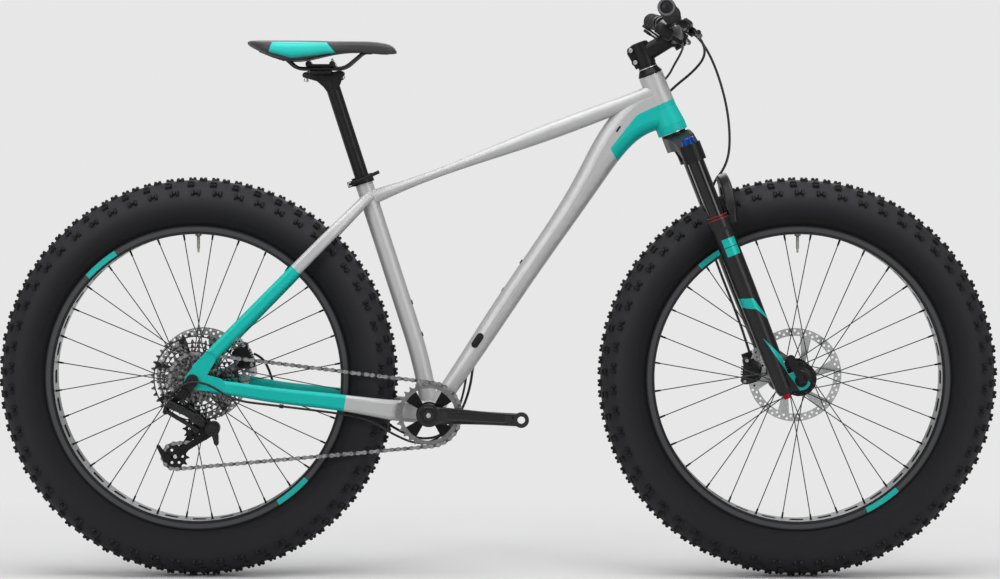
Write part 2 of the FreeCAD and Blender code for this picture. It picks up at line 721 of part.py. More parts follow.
def seat_clamp():
    """Split collar at the top of the seat tube, with a lip on the tube's end and two ears behind."""
    collar = turned([(SEAT_TUBE_RADIUS + TOUCH_GAP, -COLLAR_HEIGHT), (COLLAR_OUTER, -COLLAR_HEIGHT),
                     (COLLAR_OUTER, 2.5), (POST_RADIUS + SEAT_GAP, 2.5), (POST_RADIUS + SEAT_GAP, TOUCH_GAP),
                     (SEAT_TUBE_RADIUS + TOUCH_GAP, TOUCH_GAP)], ORIGIN, Z_AXIS)
    ears = block(V(-COLLAR_EAR_BACK, -8, -COLLAR_HEIGHT + 1), V(-SEAT_TUBE_RADIUS - 1, 8, -1))
    ears = ears.cut(Part.makeCylinder(SEAT_TUBE_RADIUS + 1.5, 4 * COLLAR_HEIGHT, V(0, 0, -2 * COLLAR_HEIGHT)))
    slit = block(V(-COLLAR_EAR_BACK - 1, -1, -COLLAR_HEIGHT - 1), V(0, 1, 4))
    bolt_z = -COLLAR_HEIGHT / 2
    bolt_x = -(COLLAR_OUTER + COLLAR_EAR_BACK) / 2
    bolt = rod(V(bolt_x, LEVER_PIVOT_SIDE + 5.2, bolt_z), V(bolt_x, 12, bolt_z), COLLAR_BOLT_RADIUS)
    nut = rod(V(bolt_x, 8, bolt_z), V(bolt_x, 13, bolt_z), 4.5)
    body = collar.fuse(ears).cut(slit)
    body = body.cut(rod(V(bolt_x, -20, bolt_z), V(bolt_x, 20, bolt_z), COLLAR_BOLT_RADIUS + TOUCH_GAP))
    return Part.Compound([in_seat(main_solid(body)), in_seat(bolt.fuse(nut))])


def seat_clamp_lever():
    """Cam lever lying along the right of the collar, turning about an upright pin in its ears."""
    bolt_x = -(COLLAR_OUTER + COLLAR_EAR_BACK) / 2
    bolt_z = -COLLAR_HEIGHT / 2
    cam = Part.makeCylinder(5, 10, V(bolt_x, LEVER_PIVOT_SIDE, bolt_z - 5))
    path = route_wire([V(bolt_x, LEVER_PIVOT_SIDE, bolt_z), V(bolt_x + 8, -25, bolt_z + 1),
                       V(bolt_x + 34, -31, bolt_z + 3), V(bolt_x + 60, -24, bolt_z + 6)])
    blade = swept(path, 3.4)
    return in_seat(cam.fuse(blade))


# Bottle bosses, cable guides and the lines' holes

def boss_places():
    """(outer end, outward direction, length) of each threaded boss."""
    places = []
    for step in (0, 1):
        base = SEAT_TOP - SEAT_UP * (SEAT_BOSS_BELOW + step * BOSS_SPACING)
        length = SEAT_TUBE_RADIUS - POST_RADIUS - SEAT_GAP + BOSS_PROUD
        places.append((base + SEAT_AHEAD * (SEAT_TUBE_RADIUS + BOSS_PROUD), SEAT_AHEAD, length))
    outward = turn_y(DOWN_TUBE_LEAN + 90)
    for step in (0, 1):
        along = DOWN_BOSS_ABOVE + step * BOSS_SPACING
        base = DOWN_FOOT + DOWN_HEADING * along + outward * (down_depth(along) / 2 + BOSS_PROUD)
        places.append((base, outward, BOSS_DEPTH))
    return places


def down_depth(along):
    """Depth of the down tube at a distance from its foot."""
    for (start, depth), (end, next_depth) in zip(DOWN_TUBE_DEPTHS, DOWN_TUBE_DEPTHS[1:]):
        if along <= end:
            break
    return depth + (next_depth - depth) * (along - start) / (end - start)


def bottle_bosses():
    bosses, plugs = [], []
    for outer, outward, length in boss_places():
        inner = outer - outward * length
        bosses.append(ring(inner, outer, BOSS_RADIUS, BOSS_BORE_RADIUS))
        plugs.append(rod(inner - outward, outer + outward, BOSS_RADIUS + TOUCH_GAP))
    return Part.Compound(bosses), Part.Compound(plugs)


def line_holes():
    """Room for the hose and the shift housing, where they go through the down tube's wall."""
    routes = ((SHIFT_ROUTE, HOUSING_RADIUS), (REAR_HOSE_ROUTE, HOSE_RADIUS))
    return Part.Compound([swept(route_wire(route), radius + LINE_CLEARANCE) for route, radius in routes])


def line_guides():
    """Clips that hold the lines under the chain stays."""
    clips = []
    lines = ((SHIFT_ROUTE, HOUSING_RADIUS, SHIFT_CLIP_RUNS),
             (REAR_HOSE_ROUTE, HOSE_RADIUS, REAR_HOSE_CLIP_RUNS))
    for route, radius, runs in lines:
        for index in runs:
            start, end = route[index], route[index + 1]
            half = unit(end - start) * CLIP_HALF_LENGTH
            middle = between(start, end, 0.5)
            clips.append(ring(middle - half, middle + half, radius + CLIP_WALL, radius + TOUCH_GAP))
    return clips


# Routes of the three control lines, as points chosen by hand from the handlebar to the far end

SHIFT_ROUTE = [
    V(342, -166, 1012), V(348, -128, 1008), V(343, -82, 992), V(333, -38, 973), V(327, 2, 958),
    V(312, 34, 940), V(282, 38, 915), V(254, 31, 882), V(229, 14, 845), V(198, 4, 800), V(120, 0, 683),
    V(18, -4, 531), V(-56, -8, 420), V(-62, -10, 362), V(-78, -16, 308), V(-110, -26, 264), V(-152, -38, 254),
    V(-196, -54, 274), V(-243, -73, 305), V(-296, -80, 316.5), V(-372, -86, 326.5), V(-442, -93, 335.5),
    V(-480, -103, 341), V(-508, -115, 352), V(-530, -119, 368), V(-550, -121, 377), V(-572, -121.5, 379.5),
    V(-592, -121.5, 373), V(-606, -121.5, 359),
]
SHIFT_CLIP_RUNS = (18, 20)

REAR_HOSE_ROUTE = [
    V(352, -150, 1040), V(366, -108, 1036), V(388, -60, 1016), V(394, -14, 990), V(372, 24, 962),
    V(338, 42, 935), V(304, 45, 900), V(270, 36, 860), V(240, 16, 824), V(196, 13, 764), V(130, 12, 672),
    V(52, 10, 562),
    V(-46, 10, 418), V(-52, 12, 360), V(-72, 17, 307), V(-106, 26, 265), V(-150, 37, 257), V(-196, 53, 275),
    V(-243, 73, 306), V(-296, 80, 317.5), V(-352, 84, 324), V(-396, 90, 326), V(-424, 102, 334),
    V(-437, 109, 360), V(-446, 106, 390), V(-458, 98, 412), V(-473, 91, 419),
]
REAR_HOSE_CLIP_RUNS = (19,)

# The front hose is given in the steering frame, as it turns with the fork
FRONT_HOSE_ROUTE = [
    V(90, 150, 694), V(108, 122, 690), V(122, 104, 656), V(126, 93, 600), V(118, 84, 524), V(97, 77, 456),
    V(72, 69, 420), V(36, 66, 400), V(10, 64.5, 350), V(-8, 69, 300), V(-10, 77, 240), V(-9.5, 79, 160),
    V(-11, 75, 104), V(-14, 70, 70),
]


# Wheels, built with the axle at the origin

def tyre():
    """Hollow casing with rows of knobs. One pitch is built, then repeated round the wheel and sewn."""
    pitch = 360.0 / TYRE_PITCHES
    crown = TYRE_RADIUS - KNOB_HEIGHT
    centre = crown - CROWN_ARC_RADIUS
    span = math.radians(CROWN_ARC_SPAN)
    bead_y = RIM_WIDTH / 2 - RIM_WALL - TOUCH_GAP
    bead_low = RIM_BASE_RADIUS + RIM_BASE_WALL + RIM_SHELF + TOUCH_GAP
    bead_top = RIM_FLANGE_RADIUS + 1.2
    inner_arc = CROWN_ARC_RADIUS - CASING_WALL
    shoulder = V(0, CROWN_ARC_RADIUS * math.sin(span), centre + CROWN_ARC_RADIUS * math.cos(span))
    inner_shoulder = V(0, inner_arc * math.sin(span), centre + inner_arc * math.cos(span))
    widest = V(0, SIDEWALL_HALF_WIDTH, between(V(0, 0, bead_top), shoulder, 0.5).z)
    inner_widest = V(0, SIDEWALL_HALF_WIDTH - CASING_WALL, widest.z)
    half = [
        (V(0, bead_y, bead_low), V(0, bead_y, bead_top)),
        (V(0, bead_y, bead_top), widest, shoulder),
    ]
    half_inner = [
        (inner_shoulder, inner_widest, V(0, bead_y - CASING_WALL, bead_top)),
        (V(0, bead_y - CASING_WALL, bead_top), V(0, bead_y - CASING_WALL, bead_low)),
    ]

    def edge(points):
        if len(points) == 2:
            return Part.makeLine(points[0], points[1])
        return Part.Arc(points[0], points[1], points[2]).toShape()

    def flipped(points):
        return [V(p.x, -p.y, p.z) for p in reversed(points)]

    outer = half + [(shoulder, V(0, 0, crown), V(0, -shoulder.y, shoulder.z))]
    outer += [flipped(points) for points in reversed(half)]
    inner = [flipped(points) for points in reversed(half_inner)]
    inner += [(V(0, -inner_shoulder.y, inner_shoulder.z), V(0, 0, centre + inner_arc), inner_shoulder)]
    inner += half_inner
    ends = [(outer[-1][-1], inner[0][0]), (inner[-1][-1], outer[0][0])]
    wire = Part.Wire([edge(p) for p in outer + ends[:1] + inner + ends[1:]])
    sector = spun(Part.Face(wire), ORIGIN, Y_AXIS, -pitch / 2).revolve(ORIGIN, Y_AXIS, pitch)
    knobs = []
    for lean, phase, length, width in KNOB_ROWS:
        knob = block(V(-length / 2, -width / 2, -KNOB_ROOT), V(length / 2, width / 2, KNOB_HEIGHT))
        seat = V(0, CROWN_ARC_RADIUS * math.sin(math.radians(lean)),
                 centre + CROWN_ARC_RADIUS * math.cos(math.radians(lean)))
        knob = moved(knob, FreeCAD.Placement(seat, FreeCAD.Rotation(X_AXIS, -lean)))
        knobs.append(spun(knob, ORIGIN, Y_AXIS, (phase - 0.5) * pitch))
    sector = sector.multiFuse(knobs)

    def on_cut(face):
        middle = face.CenterOfMass
        angle = math.degrees(math.atan2(middle.x, middle.z))
        return abs(abs(angle) - pitch / 2) < 1e-5

    skin = [face for face in sector.Faces if not on_cut(face)]
    faces = [spun(face, ORIGIN, Y_AXIS, step * pitch) for step in range(TYRE_PITCHES) for face in skin]
    shell = Part.Shell(faces)
    shell.sewShape()
    solid = Part.Solid(shell if shell.ShapeType == "Shell" else shell.Shells[0])
    if solid.Volume < 0:
        solid.reverse()
    print("tyre volume share", round(solid.Volume / (sector.Volume * TYRE_PITCHES), 5), solid.isValid())
    return solid


def rim():
    """Rim with the strip under its windows, one solid with the valve standing at the top."""
    half = RIM_WIDTH / 2
    base = RIM_BASE_RADIUS
    pocket = base + RIM_BASE_WALL
    floor = pocket + RIM_STRIP_WALL
    shelf = pocket + RIM_SHELF
    wall = half - RIM_WALL
    shelf_end = wall - RIM_SHELF_WIDTH
    side = [(base, half - 5), (base + 3, half), (RIM_FLANGE_RADIUS, half), (RIM_FLANGE_RADIUS, wall),
            (shelf, wall), (shelf, shelf_end), (floor, shelf_end - 2)]
    body = turned(side + [(r, -y) for r, y in reversed(side)], ORIGIN, Y_AXIS)
    step = 360.0 / SPOKES
    window = block(V(base - 5, -RIM_WINDOW_WIDTH / 2, -RIM_WINDOW_LENGTH / 2),
                   V(pocket, RIM_WINDOW_WIDTH / 2, RIM_WINDOW_LENGTH / 2))
    window = window.makeFillet(RIM_WINDOW_CORNER, [e for e in window.Edges if abs(e.tangentAt(0).x) > 0.9])
    cuts = [spun(window, ORIGIN, Y_AXIS, -index * step) for index in range(SPOKES) if index * step != 90]
    for index in range(SPOKES):
        rim_point, inward = nipple_line(index, FRONT_FLANGE_LEFT, FRONT_FLANGE_RIGHT)
        reach = inward * 12
        cuts.append(rod(rim_point - reach, rim_point + reach, NIPPLE_RADIUS + NIPPLE_HOLE_MARGIN))
    body = main_solid(body.cut(Part.Compound(cuts)))
    valve = turned([(0, 0), (VALVE_HEAD_RADIUS, 0), (VALVE_HEAD_RADIUS, 1.5), (VALVE_RADIUS, 1.5),
                    (VALVE_RADIUS, VALVE_LENGTH - 8), (2, VALVE_LENGTH - 7), (2, VALVE_LENGTH),
                    (0, VALVE_LENGTH)],
                   V(0, 0, floor + 1), V(0, 0, -1))
    collar = rod(V(0, 0, base + 1), V(0, 0, base - 4), VALVE_HEAD_RADIUS)
    return main_solid(body.multiFuse([valve, collar]))


def spoke_angle(index):
    return (index + 0.5) * 360.0 / SPOKES


def nipple_line(index, flange_left, flange_right):
    """Where a spoke meets the rim, and its direction towards the hub."""
    rim_point, hub_point, _ = spoke_ends(index, flange_left, flange_right)
    return rim_point, unit(hub_point - rim_point)


def spoke_ends(index, flange_left, flange_right):
    side = 1 if index % 2 else -1
    flange = flange_left if side > 0 else flange_right
    pair = index // 2
    lean = SPOKE_CROSSES * 720.0 / SPOKES * (1 if pair % 2 else -1)
    face = (FLANGE_WALL / 2 + SPOKE_RADIUS + SPOKE_STAND_OFF) * (1 if pair % 2 else -1)
    rim_point = turn_y(spoke_angle(index)) * (RIM_BASE_RADIUS + RIM_BASE_WALL - NIPPLE_SINK)
    rim_point = rim_point + V(0, side * NIPPLE_OFFSET, 0)
    hub_point = turn_y(spoke_angle(index) + lean) * FLANGE_HOLE_CIRCLE + V(0, side * flange + face, 0)
    return rim_point, hub_point, face


def spokes(flange_left, flange_right):
    solids = []
    for index in range(SPOKES):
        rim_point, hub_point, face = spoke_ends(index, flange_left, flange_right)
        inward = unit(hub_point - rim_point)
        seat = rim_point + inward * NIPPLE_LENGTH
        wire = rod(rim_point, hub_point, SPOKE_RADIUS)
        nipple = taper(rim_point, seat, NIPPLE_RADIUS, NIPPLE_RADIUS - 0.4)
        across = V(0, -math.copysign(1, face), 0)
        flange_far = hub_point + across * (FLANGE_WALL + SPOKE_RADIUS + SPOKE_STAND_OFF)
        elbow = rod(hub_point, flange_far + across, SPOKE_RADIUS)
        head = rod(flange_far + across * TOUCH_GAP, flange_far + across * SPOKE_HEAD, SPOKE_HEAD_RADIUS)
        knee = Part.makeSphere(SPOKE_RADIUS, hub_point)
        solids.append(wire.multiFuse([nipple, elbow, head, knee]))
    return Part.Compound(solids)


def hub(half, flange_left, flange_right, rotor_y, axle_radius, right_end):
    """Flanged hub shell with its bearings and end caps. right_end is the shell's right face."""
    left_end = rotor_y - ROTOR_WALL / 2
    wall = FLANGE_WALL / 2
    neck = BEARING_RADIUS + 3
    root = HUB_BARREL_RADIUS + 7
    bore = axle_radius + 2
    outline = [
        (neck, right_end), (neck, -flange_right - wall - 2), (root, -flange_right - wall),
        (FLANGE_RADIUS, -flange_right - wall), (FLANGE_RADIUS, -flange_right + wall),
        (root, -flange_right + wall), (HUB_BARREL_RADIUS, -flange_right + wall + 6),
        (HUB_BARREL_RADIUS, flange_left - wall - 6), (root, flange_left - wall),
        (FLANGE_RADIUS, flange_left - wall), (FLANGE_RADIUS, flange_left + wall), (root, flange_left + wall),
        (ROTOR_SEAT_RADIUS - 3, flange_left + wall + 5), (ROTOR_SEAT_RADIUS - 3, left_end - 3),
        (ROTOR_SEAT_RADIUS, left_end - 3), (ROTOR_SEAT_RADIUS, left_end),
        (BEARING_RADIUS, left_end), (BEARING_RADIUS, left_end - BEARING_LENGTH),
        (bore, left_end - BEARING_LENGTH), (bore, right_end + BEARING_LENGTH),
        (BEARING_RADIUS, right_end + BEARING_LENGTH), (BEARING_RADIUS, right_end),
    ]
    shell = turned(outline, ORIGIN, Y_AXIS)
    holes = []
    for index in range(SPOKES):
        _, hub_point, face = spoke_ends(index, flange_left, flange_right)
        through = V(0, -math.copysign(FLANGE_WALL * 3, face), 0)
        holes.append(rod(hub_point, hub_point + through, SPOKE_RADIUS + 0.2))
    shell = shell.cut(Part.Compound(holes))
    fit = axle_radius + RUNNING_GAP
    outer = BEARING_RADIUS - TOUCH_GAP
    bearings = [
        ring(V(0, left_end - BEARING_LENGTH + TOUCH_GAP, 0), V(0, left_end, 0), outer, fit),
        ring(V(0, right_end, 0), V(0, right_end + BEARING_LENGTH - TOUCH_GAP, 0), outer, fit),
    ]
    cap = ring(V(0, left_end + TOUCH_GAP, 0), V(0, half - SEAT_GAP, 0), END_CAP_RADIUS, fit)
    return [main_solid(shell), cap] + bearings


def front_hub():
    right_end = -(FRONT_HUB_HALF - 12)
    pieces = hub(FRONT_HUB_HALF, FRONT_FLANGE_LEFT, FRONT_FLANGE_RIGHT, FRONT_ROTOR_Y, FRONT_AXLE_RADIUS,
                 right_end)
    cap = ring(V(0, right_end - TOUCH_GAP, 0), V(0, -FRONT_HUB_HALF + SEAT_GAP, 0), END_CAP_RADIUS,
               FRONT_AXLE_RADIUS + RUNNING_GAP)
    return Part.Compound(pieces + [cap])


COG_Y = {teeth: CHAIN_Y + (COGS.index(COG_IN_USE) - place) * COG_STEP for place, teeth in enumerate(COGS)}
CASSETTE_INNER = COG_Y[COGS[0]] + COG_STEP / 2
CASSETTE_OUTER = COG_Y[COGS[-1]] - COG_STEP / 2
REAR_SHELL_END = CASSETTE_INNER + 1.2


def cassette_room():
    """Space that the cogs sweep, with a margin, kept clear of the chain stay."""
    outline = [(pitch_radius(teeth) + TOOTH_HEIGHT + COG_MARGIN, COG_Y[teeth]) for teeth in COGS]
    last = outline[-1][0]
    face = -REAR_HUB_HALF + SEAT_GAP
    return turned([(0, outline[0][1])] + outline + [(last, face), (0, face)], REAR_AXLE, Y_AXIS)


def rear_hub():
    pieces = hub(REAR_HUB_HALF, REAR_FLANGE_LEFT, REAR_FLANGE_RIGHT, REAR_ROTOR_Y, REAR_AXLE_RADIUS,
                 REAR_SHELL_END)
    return Part.Compound(pieces)


def annular_window(inner, outer, start, end, twist, y_start, y_end):
    """Window between two radii, its sides swept round by twist degrees."""
    low = [turn_y(a) * inner for a in (start, (start + end) / 2, end)]
    high = [turn_y(a + twist) * outer for a in (start, (start + end) / 2, end)]
    edges = [
        Part.Arc(low[0], low[1], low[2]).toShape(), Part.makeLine(low[2], high[2]),
        Part.Arc(high[2], high[1], high[0]).toShape(), Part.makeLine(high[0], low[0]),
    ]
    face = Part.Face(Part.Wire(edges))
    return shifted(face.extrude(V(0, y_end - y_start, 0)), V(0, y_start, 0))


def rotor(y, radius):
    """Brake disc with swept arms and drilled band, and the ring that locks it on the hub."""
    start, end = y - ROTOR_WALL / 2, y + ROTOR_WALL / 2
    disc = ring(V(0, start, 0), V(0, end, 0), radius, END_CAP_RADIUS + 1)
    cuts = []
    step = 360.0 / ROTOR_ARMS
    for arm in range(ROTOR_ARMS):
        turn = arm * step
        cuts.append(annular_window(ROTOR_SEAT_RADIUS + 3, radius - ROTOR_BAND, turn, turn + step * 0.72, 22,
                                   start - 1, end + 1))
    for hole in range(ROTOR_ARMS * 6):
        for row, reach in enumerate((4.5, 10.0)):
            centre = turn_y((hole + row * 0.5) * 60 / ROTOR_ARMS) * (radius - reach)
            cuts.append(rod(centre + V(0, start - 1, 0), centre + V(0, end + 1, 0), 2.3))
    disc = main_solid(disc.cut(Part.Compound(cuts)))
    lock = ring(V(0, end, 0), V(0, end + 4, 0), ROTOR_SEAT_RADIUS - 3, END_CAP_RADIUS + 1)
    return Part.Compound([disc, lock])


# Chain, sprockets and cranks

def pitch_radius(teeth):
    return CHAIN_PITCH / 2 / math.sin(math.pi / teeth)


def sprocket(teeth, phase, wall, tip_half=0.8):
    """Toothed disc about the Y axis. Phase is the angle of one roller seat."""
    radius = pitch_radius(teeth)
    step = 360.0 / teeth
    tip = radius + TOOTH_HEIGHT
    tip_angle = math.degrees(tip_half / tip)
    edges, last, first = [], None, None
    for tooth in range(teeth):
        angle = phase + tooth * step
        seat = turn_y(angle) * radius
        start = seat + turn_y(angle + 180 + 60) * ROLLER_SEAT
        middle = seat + turn_y(angle + 180) * ROLLER_SEAT
        end = seat + turn_y(angle + 180 - 60) * ROLLER_SEAT
        crest = [turn_y(angle + step / 2 + side * tip_angle) * tip for side in (-1, 1)]
        if last:
            edges.append(Part.makeLine(last, start))
        else:
            first = start
        edges.append(Part.Arc(start, middle, end).toShape())
        edges.append(Part.makeLine(end, crest[0]))
        edges.append(Part.makeLine(crest[0], crest[1]))
        last = crest[1]
    edges.append(Part.makeLine(last, first))
    face = Part.Face(Part.Wire(edges))
    return shifted(face.extrude(V(0, wall, 0)), V(0, -wall / 2, 0))


class ChainPath:
    """Closed loop of straight runs and arcs round the four sprockets, in the XZ plane."""

    def __init__(self, wheels):
        # wheels are (centre, pitch radius, sense), sense +1 where the loop runs anticlockwise
        self.pieces = []
        contacts = []
        count = len(wheels)
        for index in range(count):
            (c0, r0, s0), (c1, r1, s1) = wheels[index], wheels[(index + 1) % count]
            run = c1 - c0
            lean = math.asin((s0 * r0 - s1 * r1) / run.Length)
            heading = math.atan2(run.z, run.x) + lean
            out = V(math.sin(heading), 0, -math.cos(heading))
            contacts.append((c0 + out * (s0 * r0), c1 + out * (s1 * r1)))
        for index in range(count):
            leave, land = contacts[index]
            self.pieces.append(("line", leave, land, (land - leave).Length))
            centre, radius, sense = wheels[(index + 1) % count]
            depart = contacts[(index + 1) % count][0]
            a0 = math.atan2(land.z - centre.z, land.x - centre.x)
            a1 = math.atan2(depart.z - centre.z, depart.x - centre.x)
            sweep = (a1 - a0) * sense % (2 * math.pi)
            self.pieces.append(("arc", centre, (radius, a0, sense), sweep * radius))
        self.length = sum(piece[3] for piece in self.pieces)

    def point(self, distance):
        distance %= self.length
        for kind, first, second, length in self.pieces:
            if distance <= length:
                break
            distance -= length
        if kind == "line":
            return first + unit(second - first) * distance
        radius, a0, sense = second
        angle = a0 + sense * distance / radius
        return first + V(math.cos(angle), 0, math.sin(angle)) * radius

    def pins(self, count):
        """Places of count pins, each one chain pitch from the last, and the distance left to close."""
        at = 0.0
        places = [at]
        for _ in range(count):
            here = self.point(at)
            low, high = at + CHAIN_PITCH * 0.99, at + CHAIN_PITCH * 1.05
            for _ in range(40):
                middle = (low + high) / 2
                if (self.point(middle) - here).Length < CHAIN_PITCH:
                    low = middle
                else:
                    high = middle
            at = low
            places.append(at)
        return places[:-1], self.length - places[-1]


GUIDE = V(GUIDE_PULLEY[0], 0, GUIDE_PULLEY[1])
PIVOT = V(CAGE_PIVOT[0], 0, CAGE_PIVOT[1])


def chain_layout():
    """Leans the pulley cage until a whole, even number of links closes the loop."""

    def path_at(lean):
        tension = GUIDE + turn_y(lean) * TENSION_PULLEY_REACH
        return tension, ChainPath([
            (CRANK_AXIS, pitch_radius(RING_TEETH), 1), (REAR_AXLE, pitch_radius(COG_IN_USE), 1),
            (GUIDE, pitch_radius(PULLEY_TEETH), -1), (tension, pitch_radius(PULLEY_TEETH), 1),
        ])

    middle = (CAGE_LEAN_FROM + CAGE_LEAN_TO) / 2
    rough = path_at(middle)[1].length / CHAIN_PITCH
    count = 2 * int(rough / 2)
    low, high = CAGE_LEAN_FROM, CAGE_LEAN_TO
    rising = path_at(high)[1].pins(count)[1] > path_at(low)[1].pins(count)[1]
    for _ in range(30):
        lean = (low + high) / 2
        left = path_at(lean)[1].pins(count)[1]
        if (left > 0) == rising:
            high = lean
        else:
            low = lean
    tension, path = path_at(lean)
    places, left = path.pins(count)
    print("chain links", count, "cage lean", round(lean, 2), "closing error", round(left, 4))
    return tension, [path.point(place) for place in places]


TENSION, PINS = chain_layout()


def engaged_phase(centre, teeth):
    """Angle of the pin nearest the middle of the wrap round a sprocket."""
    radius = pitch_radius(teeth)
    on = [p for p in PINS if abs((p - centre).Length - radius) < 0.002]
    pin = on[len(on) // 2]
    return math.degrees(math.atan2(pin.z - centre.z, pin.x - centre.x))


def chain():
    """Inner links with rollers and outer links with pins, one solid for each link."""
    half = CHAIN_INNER_HALF
    wall = CHAIN_PLATE_WALL
    end = V(CHAIN_PITCH, 0, 0)
    clear = 0.05
    eye, far_eye = CHAIN_PLATE_RADIUS, CHAIN_PLATE_RADIUS - 1e-4
    inner_plate = strap(ORIGIN, end, eye, far_eye, half, half + wall)
    inner = inner_plate.fuse(mirrored(inner_plate))
    bores = []
    for at in (ORIGIN, end):
        inner = inner.fuse(rod(at + V(0, -half, 0), at + V(0, half, 0), ROLLER_RADIUS))
        bores.append(rod(at + V(0, -9, 0), at + V(0, 9, 0), CHAIN_PIN_RADIUS + clear))
    inner = main_solid(inner.cut(Part.Compound(bores)))
    outer_start = half + wall + clear
    outer_plate = strap(ORIGIN, end, eye, far_eye, outer_start, outer_start + wall)
    outer = outer_plate.fuse(mirrored(outer_plate))
    for at in (ORIGIN, end):
        reach = outer_start + wall
        outer = outer.fuse(rod(at + V(0, -reach, 0), at + V(0, reach, 0), CHAIN_PIN_RADIUS))
    links = []
    for index, pin in enumerate(PINS):
        following = PINS[(index + 1) % len(PINS)]
        lean = math.degrees(math.atan2(following.z - pin.z, following.x - pin.x))
        place = FreeCAD.Placement(pin + V(0, CHAIN_Y, 0), FreeCAD.Rotation(Y_AXIS, -lean))
        links.append(moved(outer if index % 2 else inner, place))
    return Part.Compound(links)


def chainring():
    """Toothed ring on a four armed web."""
    radius = pitch_radius(RING_TEETH)
    teeth = sprocket(RING_TEETH, engaged_phase(CRANK_AXIS, RING_TEETH), RING_TOOTH_WALL)
    web = rod(V(0, -RING_WEB_WALL / 2, 0), V(0, RING_WEB_WALL / 2, 0), radius - CHAIN_PLATE_RADIUS - 1)
    body = teeth.fuse(web)
    cuts = [rod(V(0, -9, 0), V(0, 9, 0), SPINDLE_RADIUS + TOUCH_GAP)]
    for arm in range(4):
        cuts.append(annular_window(SPINDLE_RADIUS + 9, radius - 11, arm * 90 + 61, arm * 90 + 119, 0, -9, 9))
    body = body.cut(Part.Compound(cuts))
    return shifted(main_solid(body), CRANK_AXIS + V(0, CHAIN_Y, 0))


def cassette():
    """Eleven cogs with their collars, on the ratchet body that carries them."""
    solids = []
    inner = FREEHUB_RADIUS + TOUCH_GAP
    for place, teeth in enumerate(COGS):
        phase = engaged_phase(REAR_AXLE, teeth) if teeth == COG_IN_USE else 0
        radius = pitch_radius(teeth)
        cog = sprocket(teeth, phase, COG_WALL)
        collar_radius = min(inner + COG_COLLAR_WALL, radius - ROLLER_SEAT - 0.3)
        collar = rod(V(0, -COG_STEP / 2, 0), V(0, COG_STEP / 2, 0), collar_radius)
        cuts = [rod(V(0, -9, 0), V(0, 9, 0), inner)]
        if place + 1 < len(COGS):
            smaller = pitch_radius(COGS[place + 1])
            room = radius - ROLLER_SEAT - 2.2
            low = max(collar_radius + 2.5, smaller - 9)
            if room - low > 4:
                arms = max(5, teeth // 4)
                for arm in range(arms):
                    start = arm * 360.0 / arms
                    cuts.append(annular_window(low, room, start, start + 250.0 / arms, 6, -9, 9))
        cog = main_solid(cog.fuse(collar).cut(Part.Compound(cuts)))
        solids.append(shifted(cog, V(0, COG_Y[teeth], 0)))
    body = ring(V(0, CASSETTE_OUTER, 0), V(0, REAR_SHELL_END - SEAT_GAP, 0), FREEHUB_RADIUS,
                REAR_AXLE_RADIUS + RUNNING_GAP)
    lock = ring(V(0, CASSETTE_OUTER - 1.2, 0), V(0, CASSETTE_OUTER, 0), FREEHUB_RADIUS + 1.5,
                REAR_AXLE_RADIUS + RUNNING_GAP)
    return shifted(Part.Compound(solids + [body, lock]), REAR_AXLE)


def crank_arm(heading, boss_inner):
    """Right hand arm along a heading, without its spindle hole's neighbour pieces."""
    direction = turn_y(heading)
    tip = CRANK_AXIS + direction * CRANK_LENGTH

    def station(along, inner, outer, height):
        middle = CRANK_AXIS + direction * along + V(0, -(inner + outer) / 2, 0)
        return rounded_section(middle, direction, outer - inner, height, 0.36)

    arm = loft([
        station(0, BOSS_INNER + 2, BOSS_OUTER - 2, 36), station(55, 80, 98, 29),
        station(115, 89.5, 104.5, 25), station(CRANK_LENGTH, PEDAL_INNER + 1, PEDAL_OUTER - 1, 25),
    ])
    boss = rod(CRANK_AXIS + V(0, -BOSS_OUTER, 0), CRANK_AXIS + V(0, -boss_inner, 0), CRANK_BOSS_RADIUS)
    eye = rod(tip + V(0, -PEDAL_OUTER, 0), tip + V(0, -PEDAL_INNER, 0), CRANK_EYE_RADIUS)
    arm = arm.multiFuse([boss, eye])
    spindle_hole = rod(CRANK_AXIS + V(0, -BOSS_OUTER - 5, 0), CRANK_AXIS, SPINDLE_RADIUS + TOUCH_GAP)
    pedal_hole = rod(tip + V(0, -PEDAL_OUTER - 5, 0), tip + V(0, -PEDAL_INNER + 5, 0), PEDAL_HOLE_RADIUS)
    return main_solid(arm.cut(spindle_hole).cut(pedal_hole))


def spindle():
    end = BOSS_OUTER
    bore = ring(CRANK_AXIS + V(0, -end, 0), CRANK_AXIS + V(0, end, 0), SPINDLE_RADIUS,
                SPINDLE_RADIUS - SPINDLE_WALL)
    cap = turned([(0, 0), (17.5, 0), (17.5, 2), (12, 3.5), (0, 3.5)], CRANK_AXIS + V(0, -end, 0), V(0, -1, 0))
    return Part.Compound([bore, cap, mirrored(cap)])


# Derailleur

UPPER_PIN = V(*UPPER_PIN_PLACE)
LINK_HEADING = unit(V(0.8175, 0.2336, -0.5255))
LINK_SWING = V(-0.56, 0.42, -0.72)
SWING = unit(LINK_SWING - LINK_HEADING * LINK_SWING.dot(LINK_HEADING))
LINK_AXIS = unit(LINK_HEADING.cross(SWING))
LOWER_PIN = UPPER_PIN + LINK_HEADING * LINK_LENGTH


def link(offset):
    """Link with an eye at each end, turning on pins along the link axis."""
    ends = [UPPER_PIN + SWING * offset, LOWER_PIN + SWING * offset]
    solid = rod(ends[0], ends[1], LINK_RADIUS)
    half = LINK_AXIS * LINK_EYE_HALF
    for end in ends:
        solid = solid.fuse(rod(end - half, end + half, LINK_EYE_RADIUS))
    for end in ends:
        solid = solid.cut(rod(end - LINK_AXIS * 20, end + LINK_AXIS * 20, LINK_PIN_RADIUS + RUNNING_GAP))
    return solid


